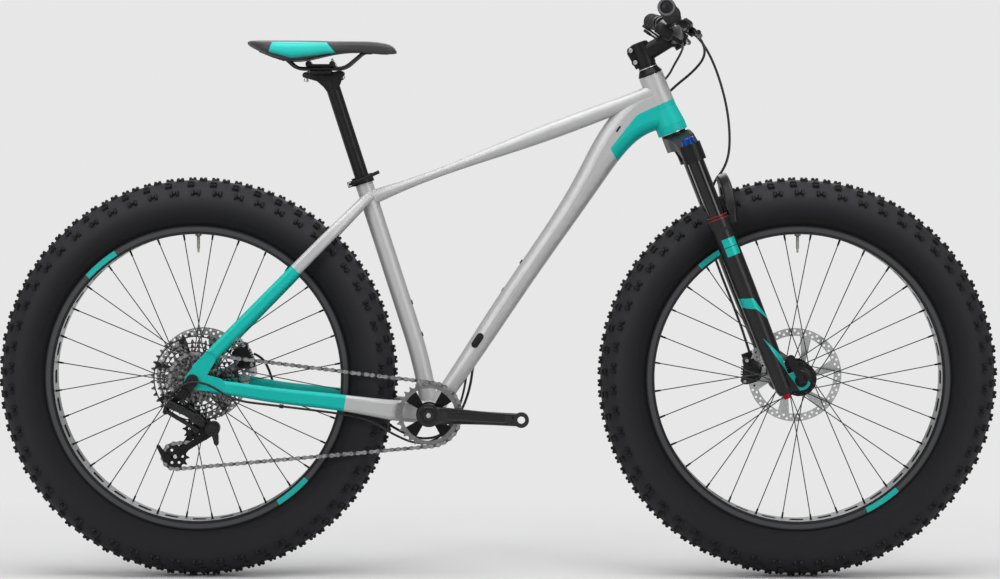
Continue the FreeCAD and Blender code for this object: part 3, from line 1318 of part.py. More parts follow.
def bar_between(start, end, half_width, axis, thickness):
    """Flat bar between two points, square to an axis."""
    side = unit(axis.cross(end - start)) * half_width
    corners = [start - side, start + side, end + side, end - side]
    return Part.Face(Part.makePolygon(corners + corners[:1])).extrude(axis * thickness)


def link_lugs(ends, anchor):
    """Pins through the link eyes, standing on one plate that reaches to an anchor point."""
    inner = LINK_AXIS * (LINK_EYE_HALF + SEAT_GAP)
    anchor = anchor + LINK_AXIS * (ends[0] + inner - anchor).dot(LINK_AXIS)
    solids = [bar_between(ends[0] + inner, anchor, LINK_EYE_RADIUS, LINK_AXIS, LUG_WALL),
              bar_between(ends[0] + inner, ends[1] + inner, LINK_EYE_RADIUS, LINK_AXIS, LUG_WALL)]
    for end in ends:
        solids.append(rod(end + inner, end + inner + LINK_AXIS * LUG_WALL, LINK_EYE_RADIUS))
        solids.append(rod(end - LINK_AXIS * LINK_EYE_HALF, end + inner + LINK_AXIS, LINK_PIN_RADIUS))
    return solids


def b_knuckle():
    """Upper knuckle, bolted to the hanger, with the stop that the shift housing ends in."""
    face = -DROPOUT_INNER - DROPOUT_WALL - TOUCH_GAP - HANGER_WALL
    barrel = rod(HANGER + V(0, face, 0), HANGER + V(0, KNUCKLE_OUTER, 0), 9)
    bolt = rod(HANGER + V(0, face + HANGER_WALL, 0), HANGER + V(0, face - 1, 0),
               HANGER_BOLT_RADIUS - TOUCH_GAP)
    ends = [UPPER_PIN, UPPER_PIN + SWING * LINK_SPREAD]
    pieces = link_lugs(ends, HANGER + V(0, KNUCKLE_OUTER + 6, 0))
    tail = SHIFT_ROUTE[-1]
    into = unit(SHIFT_ROUTE[-1] - SHIFT_ROUTE[-2])
    stop = rod(tail, tail + into * 8, 4.2)
    bracket = rod(tail + into * 7.5, HANGER + V(-4, KNUCKLE_OUTER + 10, -5), 3)
    body = barrel.multiFuse([bolt, stop, bracket] + pieces)
    return main_solid(body)


def p_knuckle():
    """Lower knuckle that carries the cage's pivot."""
    cage_face = CHAIN_Y - CAGE_HALF - CAGE_WALL
    barrel = rod(PIVOT + V(0, cage_face - SEAT_GAP, 0), PIVOT + V(0, cage_face - 30, 0), 13)
    pin = rod(PIVOT + V(0, cage_face + CAGE_WALL, 0), PIVOT + V(0, cage_face - 2, 0), CAGE_PIN_RADIUS)
    ends = [LOWER_PIN, LOWER_PIN + SWING * LINK_SPREAD]
    pieces = link_lugs(ends, PIVOT + V(0, cage_face - 15, 0))
    return main_solid(barrel.multiFuse([pin] + pieces))


def cage():
    """Two plates joined by the pulley bolts. The outer one reaches to the pivot."""
    out_start = CHAIN_Y - CAGE_HALF - CAGE_WALL
    out_end = CHAIN_Y - CAGE_HALF
    in_start = CHAIN_Y + CAGE_HALF
    in_end = in_start + CAGE_WALL
    outer = strap(GUIDE, TENSION, 11, 10, out_start, out_end)
    outer = outer.fuse(strap(PIVOT, GUIDE, 12, 10.9, out_start, out_end))
    outer = outer.fuse(strap(PIVOT, between(GUIDE, TENSION, 0.6), 12, 9, out_start, out_end))
    outer = outer.cut(rod(PIVOT + V(0, out_start - 2, 0), PIVOT + V(0, out_end + 2, 0),
                          CAGE_PIN_RADIUS + RUNNING_GAP))
    inner = strap(GUIDE, TENSION, 11, 10, in_start, in_end)
    pieces = [outer, inner]
    for centre in (GUIDE, TENSION):
        bolt = rod(centre + V(0, out_end, 0), centre + V(0, in_start, 0), CAGE_BOLT_RADIUS)
        pieces.append(bolt)
    window = rod(between(GUIDE, TENSION, 0.5) + V(0, out_start - 2, 0),
                 between(GUIDE, TENSION, 0.5) + V(0, in_end + 2, 0), 5)
    return Part.Compound([main_solid(pieces[0].multiFuse(pieces[1:]).cut(window))])


def pulley(centre):
    phase = engaged_phase(centre, PULLEY_TEETH)
    wheel = sprocket(PULLEY_TEETH, phase, PULLEY_WALL)
    wheel = wheel.fuse(rod(V(0, -CAGE_HALF + SEAT_GAP, 0), V(0, CAGE_HALF - SEAT_GAP, 0), PULLEY_HUB_RADIUS))
    wheel = wheel.cut(rod(V(0, -9, 0), V(0, 9, 0), CAGE_BOLT_RADIUS + RUNNING_GAP))
    holes = []
    for k in range(6):
        at = turn_y(k * 60) * 13.5
        holes.append(rod(at + V(0, -9, 0), at + V(0, 9, 0), 2.6))
    return shifted(main_solid(wheel.cut(Part.Compound(holes))), centre + V(0, CHAIN_Y, 0))


# Seat post and saddle

def seat_post():
    """Post with a two bolt head. The rails lie between its cradle and the top plate."""
    top = SEAT_TOP + SEAT_UP * POST_ABOVE
    post = rod(SEAT_TOP - SEAT_UP * POST_BELOW, top, POST_RADIUS)
    bore = rod(SEAT_TOP - SEAT_UP * (POST_BELOW + 1), top - SEAT_UP * 14, POST_BORE_RADIUS)
    cradle_z = RAIL_Z - RAIL_RADIUS - TOUCH_GAP
    middle = V(top.x - HEAD_BACK, 0, cradle_z)
    head = loft([
        rounded_section(top - SEAT_UP * 22, SEAT_UP, 2 * POST_RADIUS, 2 * POST_RADIUS, 0.45),
        rounded_section(between(top, middle, 0.45), V(-0.1, 0, 1), 38, 42, 0.3),
        rounded_section(middle - V(0, 0, 3), Z_AXIS, 2 * RAIL_HALF_SPREAD + 9, 2 * CRADLE_HALF_LENGTH + 18,
                        0.2),
    ])
    cradle = block(middle + V(-CRADLE_HALF_LENGTH, -RAIL_HALF_SPREAD - 5, -3.5),
                   middle + V(CRADLE_HALF_LENGTH, RAIL_HALF_SPREAD + 5, 0))
    body = post.fuse(head).fuse(cradle).cut(bore)
    plate_z = RAIL_Z + RAIL_RADIUS + TOUCH_GAP
    plate = block(V(middle.x - CRADLE_HALF_LENGTH - 9, -RAIL_HALF_SPREAD - 5, plate_z),
                  V(middle.x + CRADLE_HALF_LENGTH + 9, RAIL_HALF_SPREAD + 5, plate_z + 5))
    plate = plate.makeFillet(2, plate.Edges)
    bolts, holes = [], []
    for sign in (-1, 1):
        x = middle.x + sign * (CRADLE_HALF_LENGTH + 4.5)
        holes.append(rod(V(x, 0, cradle_z - 40), V(x, 0, plate_z + 20), CLAMP_BOLT_RADIUS + TOUCH_GAP))
        shank = rod(V(x, 0, cradle_z - 26), V(x, 0, plate_z + 8), CLAMP_BOLT_RADIUS)
        nut = rod(V(x, 0, plate_z + 5 + TOUCH_GAP), V(x, 0, plate_z + 9), 4.5)
        bolts.append(shank.fuse(nut))
    body = main_solid(body.cut(Part.Compound(holes)))
    plate = main_solid(plate.cut(Part.Compound(holes)))
    return Part.Compound([body, plate] + bolts)


def saddle_rails():
    """Right rail and its mirror image."""
    top = SEAT_TOP + SEAT_UP * POST_ABOVE
    x = top.x - HEAD_BACK
    points = [V(x - 70, -36, RAIL_Z + 23), V(x - 45, -RAIL_HALF_SPREAD, RAIL_Z),
              V(x + 46, -RAIL_HALF_SPREAD, RAIL_Z), V(x + 80, -10, RAIL_Z + 29), V(x + 94, -9, RAIL_Z + 33)]
    rail = swept(route_wire(points, 0.3), RAIL_RADIUS)
    return Part.Compound([rail, mirrored(rail)])


def saddle_section(x, half, top, edge, crown):
    """Cross section of the pad: crowned top, sides that draw in below, flat underside."""
    z_top = SADDLE_TOP - top
    z_edge = SADDLE_TOP - edge
    shoulder = between(V(0, 0, z_edge), V(0, 0, z_top - crown), 0.62).z
    inner = half * 0.80
    right = [V(x, -half, shoulder), V(x, -half * 0.985, (shoulder + z_edge) / 2), V(x, -inner, z_edge)]
    left = [V(p.x, -p.y, p.z) for p in right]
    rim_up = V(x, -half * 0.72, z_top - crown * 0.55)
    edges = [
        Part.Arc(right[0], V(x, -half * 0.93, between(V(0, 0, shoulder), rim_up, 0.62).z), rim_up).toShape(),
        Part.Arc(rim_up, V(x, 0, z_top), V(x, -rim_up.y, rim_up.z)).toShape(),
        Part.Arc(V(x, -rim_up.y, rim_up.z), V(x, half * 0.93, between(V(0, 0, shoulder), rim_up, 0.62).z),
                 left[0]).toShape(),
        Part.Arc(left[0], left[1], left[2]).toShape(),
        Part.makeLine(left[2], right[2]),
        Part.Arc(right[2], right[1], right[0]).toShape(),
    ]
    return Part.Wire(edges)


def saddle():
    """Pad, the plastic shell it is built on, and the sockets that hold the rails."""
    whole = loft([saddle_section(SADDLE_TAIL_X + d, w, t, e, c) for d, w, t, e, c in SADDLE_STATIONS])
    shell = loft([saddle_section(SADDLE_TAIL_X + d, w * 0.86, e - SHELL_WALL, e + 0.5, 1)
                  for d, w, t, e, c in SADDLE_STATIONS[2:-2]])
    rails = saddle_rails()
    sockets = []
    for rail_end, size in ((SADDLE_RAIL_REAR, 8), (SADDLE_RAIL_FRONT, 7)):
        for sign in (-1, 1):
            at = V(rail_end.x, sign * rail_end.y, rail_end.z)
            sockets.append(block(at + V(-size, -size, -size * 0.8), at + V(size, size, size)))
    shell = shell.multiFuse(sockets)
    pad = whole.cut(shell).cut(rails)
    shell = shell.cut(rails)
    return main_solid(pad), main_solid(shell)


SADDLE_RAIL_REAR = V(SEAT_TOP.x + SEAT_UP.x * POST_ABOVE - HEAD_BACK - 68, 36, RAIL_Z + 22)
SADDLE_RAIL_FRONT = V(SEAT_TOP.x + SEAT_UP.x * POST_ABOVE - HEAD_BACK + 90, 9, RAIL_Z + 33)


# Fork, in the steering frame

def fork_crown():
    """Tapered steerer standing on an arched crown with a socket for each stanchion."""
    seat = AXLE_TO_HEAD_TUBE - 1 - SEAT_GAP
    bore = STEERER_RADIUS - STEERER_WALL
    end = HEAD_TUBE_TOP + STEERER_TOP_ABOVE
    steerer = turned([
        (bore, seat - 6), (STEERER_LOW_RADIUS + 5, seat - 6), (STEERER_LOW_RADIUS + 5, seat),
        (STEERER_LOW_RADIUS, seat), (STEERER_LOW_RADIUS, seat + 26), (STEERER_RADIUS, seat + 52),
        (STEERER_RADIUS, end), (bore, end),
    ], ORIGIN, Z_AXIS)

    def slab(side, ahead, low, high, length):
        corners = [V(ahead - length / 2, side, low), V(ahead + length / 2, side, low),
                   V(ahead + length / 2, side, high), V(ahead - length / 2, side, high)]
        return Part.makePolygon(corners + corners[:1])

    top = seat - 3
    arm = [(0, 3, CROWN_UNDERSIDE, top, 54), (34, 7, CROWN_UNDERSIDE, top - 3, 48),
           (LEG_SIDE - 34, 12, CROWN_UNDERSIDE - 2, top - 10, 42),
           (LEG_SIDE - 12, LEG_AHEAD, CROWN_CLAMP_LOW + 6, CROWN_CLAMP_TOP - 2, 38)]
    bridge = Part.makeLoft([slab(*s) for s in arm], True, True)
    crown = bridge.fuse(mirrored(bridge))
    sockets = []
    for sign in (-1, 1):
        base = V(LEG_AHEAD, sign * LEG_SIDE, CROWN_CLAMP_LOW)
        sockets.append(Part.makeCylinder(CROWN_CLAMP_RADIUS, CROWN_CLAMP_TOP - CROWN_CLAMP_LOW, base))
    crown = crown.multiFuse(sockets)
    bores = []
    for sign in (-1, 1):
        base = V(LEG_AHEAD, sign * LEG_SIDE, CROWN_CLAMP_LOW - 5)
        bores.append(Part.makeCylinder(STANCHION_RADIUS + TOUCH_GAP, 60, base))
    crown = crown.cut(Part.Compound(bores))
    crown = crown.cut(Part.makeCylinder(bore, 60, V(0, 0, CROWN_UNDERSIDE - 5)))
    return in_steer(main_solid(crown.fuse(steerer)))


def stanchions():
    tubes = []
    for sign in (-1, 1):
        base = V(LEG_AHEAD, sign * LEG_SIDE, STANCHION_BOTTOM)
        top = V(LEG_AHEAD, sign * LEG_SIDE, CROWN_CLAMP_TOP)
        tubes.append(in_steer(ring(base, top, STANCHION_RADIUS, STANCHION_BORE)))
    return Part.Compound(tubes)


def notched(base, axis, radius, height, notches):
    """Round knob with grip notches."""
    outline = [(0, 0), (radius, 0), (radius, height - 2), (radius - 2, height), (0, height)]
    body = turned(outline, ORIGIN, Z_AXIS)
    cuts = []
    for step in range(notches):
        angle = 2 * math.pi * step / notches
        at = V(math.cos(angle), math.sin(angle), 0) * (radius + 0.8)
        cuts.append(Part.makeCylinder(2, height + 2, at + V(0, 0, -1)))
    body = main_solid(body.cut(Part.Compound(cuts)))
    return moved(body, FreeCAD.Placement(base, FreeCAD.Rotation(Z_AXIS, axis)))


def compression_dial():
    stem_base = V(LEG_AHEAD, -LEG_SIDE, CROWN_CLAMP_TOP - 8)
    stem = Part.makeCylinder(STANCHION_BORE - SEAT_GAP, 8 + SEAT_GAP + 1, stem_base)
    base = V(LEG_AHEAD, -LEG_SIDE, CROWN_CLAMP_TOP + SEAT_GAP)
    dial = notched(base, Z_AXIS, DIAL_RADIUS, DIAL_HEIGHT, DIAL_NOTCHES)
    return in_steer(main_solid(dial.fuse(stem)))


def rebound_knob():
    base = V(LEG_AHEAD, -LEG_SIDE, LOWER_BOTTOM - SEAT_GAP)
    knob = notched(base, V(0, 0, -1), KNOB_RADIUS, KNOB_LENGTH, KNOB_NOTCHES)
    stem = Part.makeCylinder(KNOB_STEM_RADIUS, 12, base + V(0, 0, -2))
    return in_steer(main_solid(knob.fuse(stem)))


DROP_INNER = FRONT_HUB_HALF
DROP_OUTER = LEG_SIDE + 12.0


def fork_lowers():
    """Lower legs with the arch that ties them, the axle bosses, the brake tab and the wiper seals."""
    solids, bores, wipers = [], [], []
    for sign in (-1, 1):
        foot = V(LEG_AHEAD, sign * LEG_SIDE, 0)
        seal = LOWER_TOP - WIPER_HEIGHT
        collar = LOWER_RADIUS + 1.5
        leg = turned([(0, LOWER_BOTTOM), (13, LOWER_BOTTOM), (17, LOWER_BOTTOM + 10), (18.5, 60),
                      (LOWER_RADIUS, 200), (LOWER_RADIUS, LOWER_TOP - 30), (collar, LOWER_TOP - 24),
                      (collar, seal), (0, seal)], foot, Z_AXIS)
        solids.append(leg)
        drop = strap(V(LEG_AHEAD, 0, 6), V(FORK_RAKE, 0, 0), 15, 18, sign * DROP_INNER, sign * DROP_OUTER)
        solids.append(drop)
        fit = STANCHION_RADIUS + RUNNING_GAP
        bores.append(Part.makeCylinder(fit, 400, foot + V(0, 0, LOWER_BORE_BOTTOM)))
        wipers.append(in_steer(ring(foot + V(0, 0, seal), foot + V(0, 0, LOWER_TOP), LOWER_RADIUS, fit)))
        bores.append(Part.makeCylinder(CROWN_CLAMP_RADIUS + 1.5, 90, foot + V(0, 0, seal)))
    bores.append(rod(V(FORK_RAKE, -DROP_OUTER - 9, 0), V(FORK_RAKE, DROP_OUTER + 9, 0),
                     FRONT_AXLE_RADIUS + RUNNING_GAP))
    knob_hole_at = V(LEG_AHEAD, -LEG_SIDE, LOWER_BOTTOM - 2)
    bores.append(Part.makeCylinder(KNOB_STEM_RADIUS + RUNNING_GAP, 60, knob_hole_at))

    leg_face = LEG_SIDE - 4
    half = [
        (leg_face, LEG_AHEAD + 22, LOWER_TOP - 24, 108), (leg_face - 8, ARCH_AHEAD - 6, LOWER_TOP + 6, 122),
        (leg_face - 26, ARCH_AHEAD, ARCH_TOP - 32, 136), (leg_face - 56, ARCH_AHEAD + 2, ARCH_TOP - 13, 162),
        (0, ARCH_AHEAD + 2, ARCH_TOP - 10, 180),
    ]
    arch_half = loft([arch_section(*station) for station in half])
    solids += [arch_half, mirrored(arch_half)]
    tab = block(V(-30, CALIPER_OUTER + TOUCH_GAP, 2), V(LEG_AHEAD, CALIPER_OUTER + 12, 72))
    solids.append(tab)
    lowers = solids[0].multiFuse(solids[1:])
    lowers = main_solid(lowers.cut(Part.Compound(bores)))
    return Part.Compound([in_steer(lowers)] + wipers)


def arch_section(side, ahead, along, lean):
    """Section of the arch: a rounded bar 22 high across its run and 20 deep fore and aft."""
    heading = V(0, math.cos(math.radians(lean)), math.sin(math.radians(lean)))
    across = V(0, -heading.z, heading.y)
    half_h, half_d, radius = 11.0, 10.0, 4.0
    corners = [(-half_d, -half_h), (half_d, -half_h), (half_d, half_h), (-half_d, half_h)]
    centre = V(ahead, side, along)
    points = [centre + X_AXIS * a + across * b for a, b in corners]
    edges = []
    for index, corner in enumerate(points):
        before, after = points[index - 1], points[(index + 1) % 4]
        into, out = unit(corner - before), unit(after - corner)
        start, end = corner - into * radius, corner + out * radius
        middle = corner + (out - into) * (radius * (1 - math.sqrt(0.5)))
        far = after - out * radius
        edges.append(Part.Arc(start, middle, end).toShape())
        edges.append(Part.makeLine(end, far))
    return Part.Wire(edges)


def front_axle():
    shaft = rod(V(FORK_RAKE, -DROP_OUTER - 8, 0), V(FORK_RAKE, DROP_OUTER, 0), FRONT_AXLE_RADIUS)
    nut = turned([(0, 0), (11, 0), (11, 3), (8, 5), (0, 5)], V(FORK_RAKE, DROP_OUTER, 0), Y_AXIS)
    seat = ring(V(FORK_RAKE, -DROP_OUTER - 4, 0), V(FORK_RAKE, -DROP_OUTER, 0), 12, FRONT_AXLE_RADIUS - 1)
    return in_steer(main_solid(shaft.multiFuse([nut, seat])))


LEVER_HINGE_SIDE = -(DROP_OUTER + 13.0)


def front_axle_lever():
    """Cam lever on the right end of the axle, folded up along the leg."""
    base = V(FORK_RAKE, LEVER_HINGE_SIDE, 0)
    cam = rod(base + V(-6, 0, 0), base + V(6, 0, 0), 4.6)
    blade = strap(V(FORK_RAKE, 0, 6), V(FORK_RAKE - 4, 0, 46), 6, 8, LEVER_HINGE_SIDE - 4.5,
                  LEVER_HINGE_SIDE + 1)
    return in_steer(main_solid(cam.fuse(blade)))


# Brakes

CALIPER_OUTER = FRONT_ROTOR_Y + CALIPER_OUTSIDE


def caliper(radius):
    """Body over a disc at the origin, reaching out along +X, with its two pads and mounting ears."""
    length = CALIPER_HALF_LENGTH
    body = block(V(radius - 26, -CALIPER_INSIDE, -length), V(radius + 13, CALIPER_OUTSIDE, length))
    body = body.makeFillet(4, [e for e in body.Edges if e.Length > 35])
    slot = block(V(radius - 40, -CALIPER_SLOT_HALF, -length - 4),
                 V(radius + 2.5, CALIPER_SLOT_HALF, length + 4))
    body = main_solid(body.cut(slot))
    pads = []
    for sign in (-1, 1):
        near = ROTOR_WALL / 2 + SEAT_GAP
        low, high = sorted((sign * near, sign * CALIPER_SLOT_HALF))
        pads.append(block(V(radius - 20, low, -12), V(radius - 1, high, 12)))
    return Part.Compound([body] + pads)


def front_caliper():
    turn = FreeCAD.Rotation(Y_AXIS, -FRONT_CALIPER_ANGLE)
    place = FreeCAD.Placement(V(FORK_RAKE, FRONT_ROTOR_Y, 0), turn)
    return in_steer(moved(caliper(FRONT_ROTOR_RADIUS), place))


ADAPTER_INNER = REAR_ROTOR_Y + 4.0


def rear_adapter():
    """Curved bracket across the rear triangle, from the left seat stay to the left chain stay."""
    upper = REAR_AXLE + V(47, 0, 61)
    lower = REAR_AXLE + V(82, 0, 2)
    middle = REAR_AXLE + V(74, 0, 36)
    start, end = ADAPTER_INNER, ADAPTER_INNER + ADAPTER_WALL
    wide = ADAPTER_HALF_WIDTH
    plate = strap(upper, middle, wide, wide + 0.01, start, end)
    plate = plate.fuse(strap(middle, lower, wide, wide + 0.01, start, end))
    for at in (upper, between(upper, middle, 0.5), between(middle, lower, 0.35), lower):
        plate = plate.cut(rod(at + V(0, start - 1, 0), at + V(0, end + 1, 0), ADAPTER_HOLE_RADIUS))
    return plate.removeSplitter()


def rear_caliper():
    turn = FreeCAD.Rotation(Y_AXIS, -REAR_CALIPER_ANGLE)
    place = FreeCAD.Placement(REAR_AXLE + V(0, REAR_ROTOR_Y, 0), turn)
    pieces = moved(caliper(REAR_ROTOR_RADIUS), place)
    adapter = rear_adapter()
    body = pieces.Solids[0].cut(adapter)
    return Part.Compound([main_solid(body)] + pieces.Solids[1:] + [adapter])


# Stem, handlebar and controls

STEM_CENTRE = steer_point(0, 0, HEAD_TUBE_TOP + STEM_ABOVE)
BAR_CENTRE = STEM_CENTRE + turn_y(STEM_RISE) * STEM_LENGTH


def headset_spacers():
    """Cone over the upper bearing and the cap on the steerer."""
    base = HEAD_TUBE_TOP + 1 + SEAT_GAP
    stem_low = HEAD_TUBE_TOP + STEM_ABOVE - STEM_CLAMP_HEIGHT / 2
    stem_top = stem_low + STEM_CLAMP_HEIGHT
    fit = STEERER_RADIUS + TOUCH_GAP
    wide = SPACER_RADIUS
    cone = turned([(fit, base), (HEAD_TUBE_TOP_RADIUS, base), (HEAD_TUBE_TOP_RADIUS, base + 3),
                   (wide, base + 14), (wide, stem_low - 3), (fit, stem_low - 3)], ORIGIN, Z_AXIS)
    washer = ring(V(0, 0, stem_low - 3), V(0, 0, stem_low), wide, fit)
    cap = turned([(0, stem_top), (wide, stem_top), (wide, stem_top + 3), (wide - 3.5, stem_top + 5),
                  (0, stem_top + 5)], ORIGIN, Z_AXIS)
    return Part.Compound([in_steer(cone), in_steer(washer), in_steer(cap)])


def stem():
    """Steerer clamp, extension and split bar clamp, with a face plate and its screws."""
    low = STEM_CENTRE - STEER_UP * (STEM_CLAMP_HEIGHT / 2)
    high = STEM_CENTRE + STEER_UP * (STEM_CLAMP_HEIGHT / 2)
    heading = turn_y(STEM_RISE)
    half = STEM_BAR_HALF
    clamp = rod(low, high, STEM_CLAMP_RADIUS)
    barrel = rod(BAR_CENTRE + V(0, -half, 0), BAR_CENTRE + V(0, half, 0), BAR_CLAMP_RADIUS + 4.5)
    neck = loft([rounded_section(STEM_CENTRE, heading, 32, 34, 0.4),
                 rounded_section(BAR_CENTRE - heading * 6, heading, 44, 30, 0.3)])
    ears = loft([rounded_section(STEM_CENTRE - heading * 14, heading, 22, 38, 0.2),
                 rounded_section(STEM_CENTRE - heading * 25, heading, 20, 36, 0.2)])
    body = clamp.multiFuse([barrel, neck, ears])
    bar_hole = rod(BAR_CENTRE + V(0, -half - 5, 0), BAR_CENTRE + V(0, half + 5, 0),
                   BAR_CLAMP_RADIUS + TOUCH_GAP)
    steerer_hole = rod(low - STEER_UP * 5, high + STEER_UP * 5, STEERER_RADIUS + TOUCH_GAP)
    below = rod(low - STEER_UP * STEM_CLAMP_HEIGHT, low, STEM_CLAMP_RADIUS + 1)
    above = rod(high, high + STEER_UP * STEM_CLAMP_HEIGHT, STEM_CLAMP_RADIUS + 1)
    body = body.cut(bar_hole).cut(steerer_hole).cut(below).cut(above)
    slit = block(V(-60, -1.2, -60), V(0, 1.2, 60))
    body = body.cut(moved(slit, FreeCAD.Placement(STEM_CENTRE, FreeCAD.Rotation(Y_AXIS, -STEM_RISE))))
    front = block(V(0, -60, -60), V(60, 60, 60))
    front = moved(front, FreeCAD.Placement(BAR_CENTRE, FreeCAD.Rotation(Y_AXIS, -STEM_RISE)))
    rear_half = main_solid(body.cut(front))
    plate_zone = moved(block(V(STEM_FACE_GAP, -60, -60), V(60, 60, 60)),
                       FreeCAD.Placement(BAR_CENTRE, FreeCAD.Rotation(Y_AXIS, -STEM_RISE)))
    face_plate = main_solid(barrel.cut(bar_hole).common(plate_zone))
    up = turn_y(STEM_RISE + 90)
    ears_front, screws = [], []
    for lift in (-1, 1):
        at = BAR_CENTRE + up * (lift * (BAR_CLAMP_RADIUS + 5))
        for side in (-STEM_SCREW_SIDE, STEM_SCREW_SIDE):
            seat = at + V(0, side, 0)
            ears_front.append(rod(seat - heading * 10, seat + heading * 9, 4.4))
            screws.append(rod(seat - heading * 8, seat + heading * 13, STEM_SCREW_RADIUS))
    lugs = Part.Compound(ears_front)
    lug_solids = [piece.cut(bar_hole) for piece in ears_front]
    rear_half = rear_half.multiFuse([piece.cut(front) for piece in lug_solids])
    face_plate = face_plate.multiFuse([piece.common(plate_zone) for piece in lug_solids])
    screw_fit = STEM_SCREW_RADIUS + TOUCH_GAP
    holes = Part.Compound([rod(s.CenterOfMass - heading * 30, s.CenterOfMass + heading * 30, screw_fit)
                           for s in lugs.Solids])
    rear_half = rear_half.cut(holes)
    face_plate = face_plate.cut(holes)
    cross = []
    for lift in (-11, 11):
        at = STEM_CENTRE - heading * 21 + up * lift
        cross.append(rod(at + V(0, -14, 0), at + V(0, 12, 0), STEM_SCREW_RADIUS))
        rear_half = rear_half.cut(rod(at + V(0, -20, 0), at + V(0, 20, 0), screw_fit))
    return Part.Compound([main_solid(rear_half), main_solid(face_plate)] + screws + cross)


def bar_route():
    end = V(BAR_END[0], BAR_HALF_WIDTH, BAR_END[1])
    half = [BAR_CENTRE + V(0, BAR_BEND_START, 0), BAR_CENTRE + V(-5, BAR_BEND_END, BAR_RISE), end]
    return [V(p.x, -p.y, p.z) for p in reversed(half)] + half


def bar_point(side):
    """Point of the right grip section at a distance from the middle, and the outward direction there."""
    inner, outer = bar_route()[1], bar_route()[0]
    share = (side + inner.y) / (inner.y - outer.y)
    return between(inner, outer, share), unit(outer - inner)


def handlebar():
    wire = route_wire(bar_route(), 0.4)
    bar = swept(wire, BAR_RADIUS)
    middle = rod(BAR_CENTRE + V(0, -30, 0), BAR_CENTRE + V(0, 30, 0), BAR_CLAMP_RADIUS)
    flares = []
    for sign in (-1, 1):
        start, end = BAR_CENTRE + V(0, sign * 30, 0), BAR_CENTRE + V(0, sign * 52, 0)
        flares.append(taper(start, end, BAR_CLAMP_RADIUS, BAR_RADIUS - 0.4))
    return main_solid(bar.multiFuse([middle] + flares).cut(swept(wire, BAR_BORE)))


def grips():
    base, outward = bar_point(GRIP_START)
    end, _ = bar_point(BAR_HALF_WIDTH)
    length = (end - base).Length
    fit = BAR_RADIUS + TOUCH_GAP
    grip = turned([(fit, 0), (GRIP_RADIUS + 1.5, 0), (GRIP_RADIUS + 1.5, 9), (GRIP_RADIUS, 10),
                   (GRIP_RADIUS, length - 2), (GRIP_RADIUS + 1, length), (GRIP_RADIUS + 1, length + 5),
                   (0, length + 5), (0, length + TOUCH_GAP), (fit, length + TOUCH_GAP)], base, outward)
    return Part.Compound([grip, mirrored(grip)])


LEVER_AHEAD = turn_y(-LEVER_DROP)

def master_cylinder():
    """Right brake clamp, cylinder and the pin that the lever turns on."""
    base, outward = bar_point(BRAKE_CLAMP_SIDE)
    clamp = rod(base - outward * 6, base + outward * 6, BAR_RADIUS + 4)
    inner_end, _ = bar_point(158)
    ahead = LEVER_AHEAD * MASTER_OFFSET
    cylinder = rod(inner_end + ahead, base + ahead + outward * 9, MASTER_RADIUS)
    bridge = rod(base, base + ahead, 6)
    pin_base, pin_axis = lever_pivot()
    pin = rod(pin_base - pin_axis * 8, pin_base + pin_axis * 8, LEVER_PIN_RADIUS)
    lug_low = strap_between(pin_base - pin_axis * 5.3, pin_axis * -3, outward)
    lug_high = strap_between(pin_base + pin_axis * 5.3, pin_axis * 3, outward)
    body = clamp.multiFuse([cylinder, bridge, pin, lug_low, lug_high])
    hole = rod(base - outward * 9, base + outward * 9, BAR_RADIUS + TOUCH_GAP)
    return main_solid(body.cut(hole))


def strap_between(start, thickness, outward):
    """Lug from the cylinder's side out to the lever's pin."""
    pivot_base, _ = lever_pivot()
    foot = pivot_base - LEVER_AHEAD * (LEVER_PIVOT_OFFSET - MASTER_OFFSET)
    shift = start - pivot_base
    side = outward * 6
    corners = [foot + shift - side, foot + shift + side, start + side, start + LEVER_AHEAD * 5, start - side]
    face = Part.Face(Part.makePolygon(corners + corners[:1]))
    return face.extrude(thickness)


def lever_pivot():
    at, outward = bar_point(LEVER_PIVOT_AT)
    return at + LEVER_AHEAD * LEVER_PIVOT_OFFSET, unit(LEVER_AHEAD.cross(outward))


def brake_lever():
    """Right lever blade: eye on the pin, then out along the grip to a hooked tip."""
    pivot, axis = lever_pivot()
    _, outward = bar_point(LEVER_PIVOT_AT)
    points = [pivot + outward * 4, pivot + outward * 24 + LEVER_AHEAD * 14,
              pivot + outward * 52 + LEVER_AHEAD * 22, pivot + outward * 100 + LEVER_AHEAD * 17,
              pivot + outward * LEVER_REACH + LEVER_AHEAD * 23]
    blade = swept(route_wire(points), LEVER_BLADE_RADIUS)
    eye = rod(pivot - axis * 5, pivot + axis * 5, 6.5)
    hole = rod(pivot - axis * 9, pivot + axis * 9, LEVER_PIN_RADIUS + RUNNING_GAP)
    return main_solid(blade.fuse(eye).cut(hole))


def shifter_frame():
    base, outward = bar_point(SHIFTER_SIDE)
    down = unit(outward.cross(LEVER_AHEAD))
    down = down * (-1 if down.z > 0 else 1)
    return base, outward, down


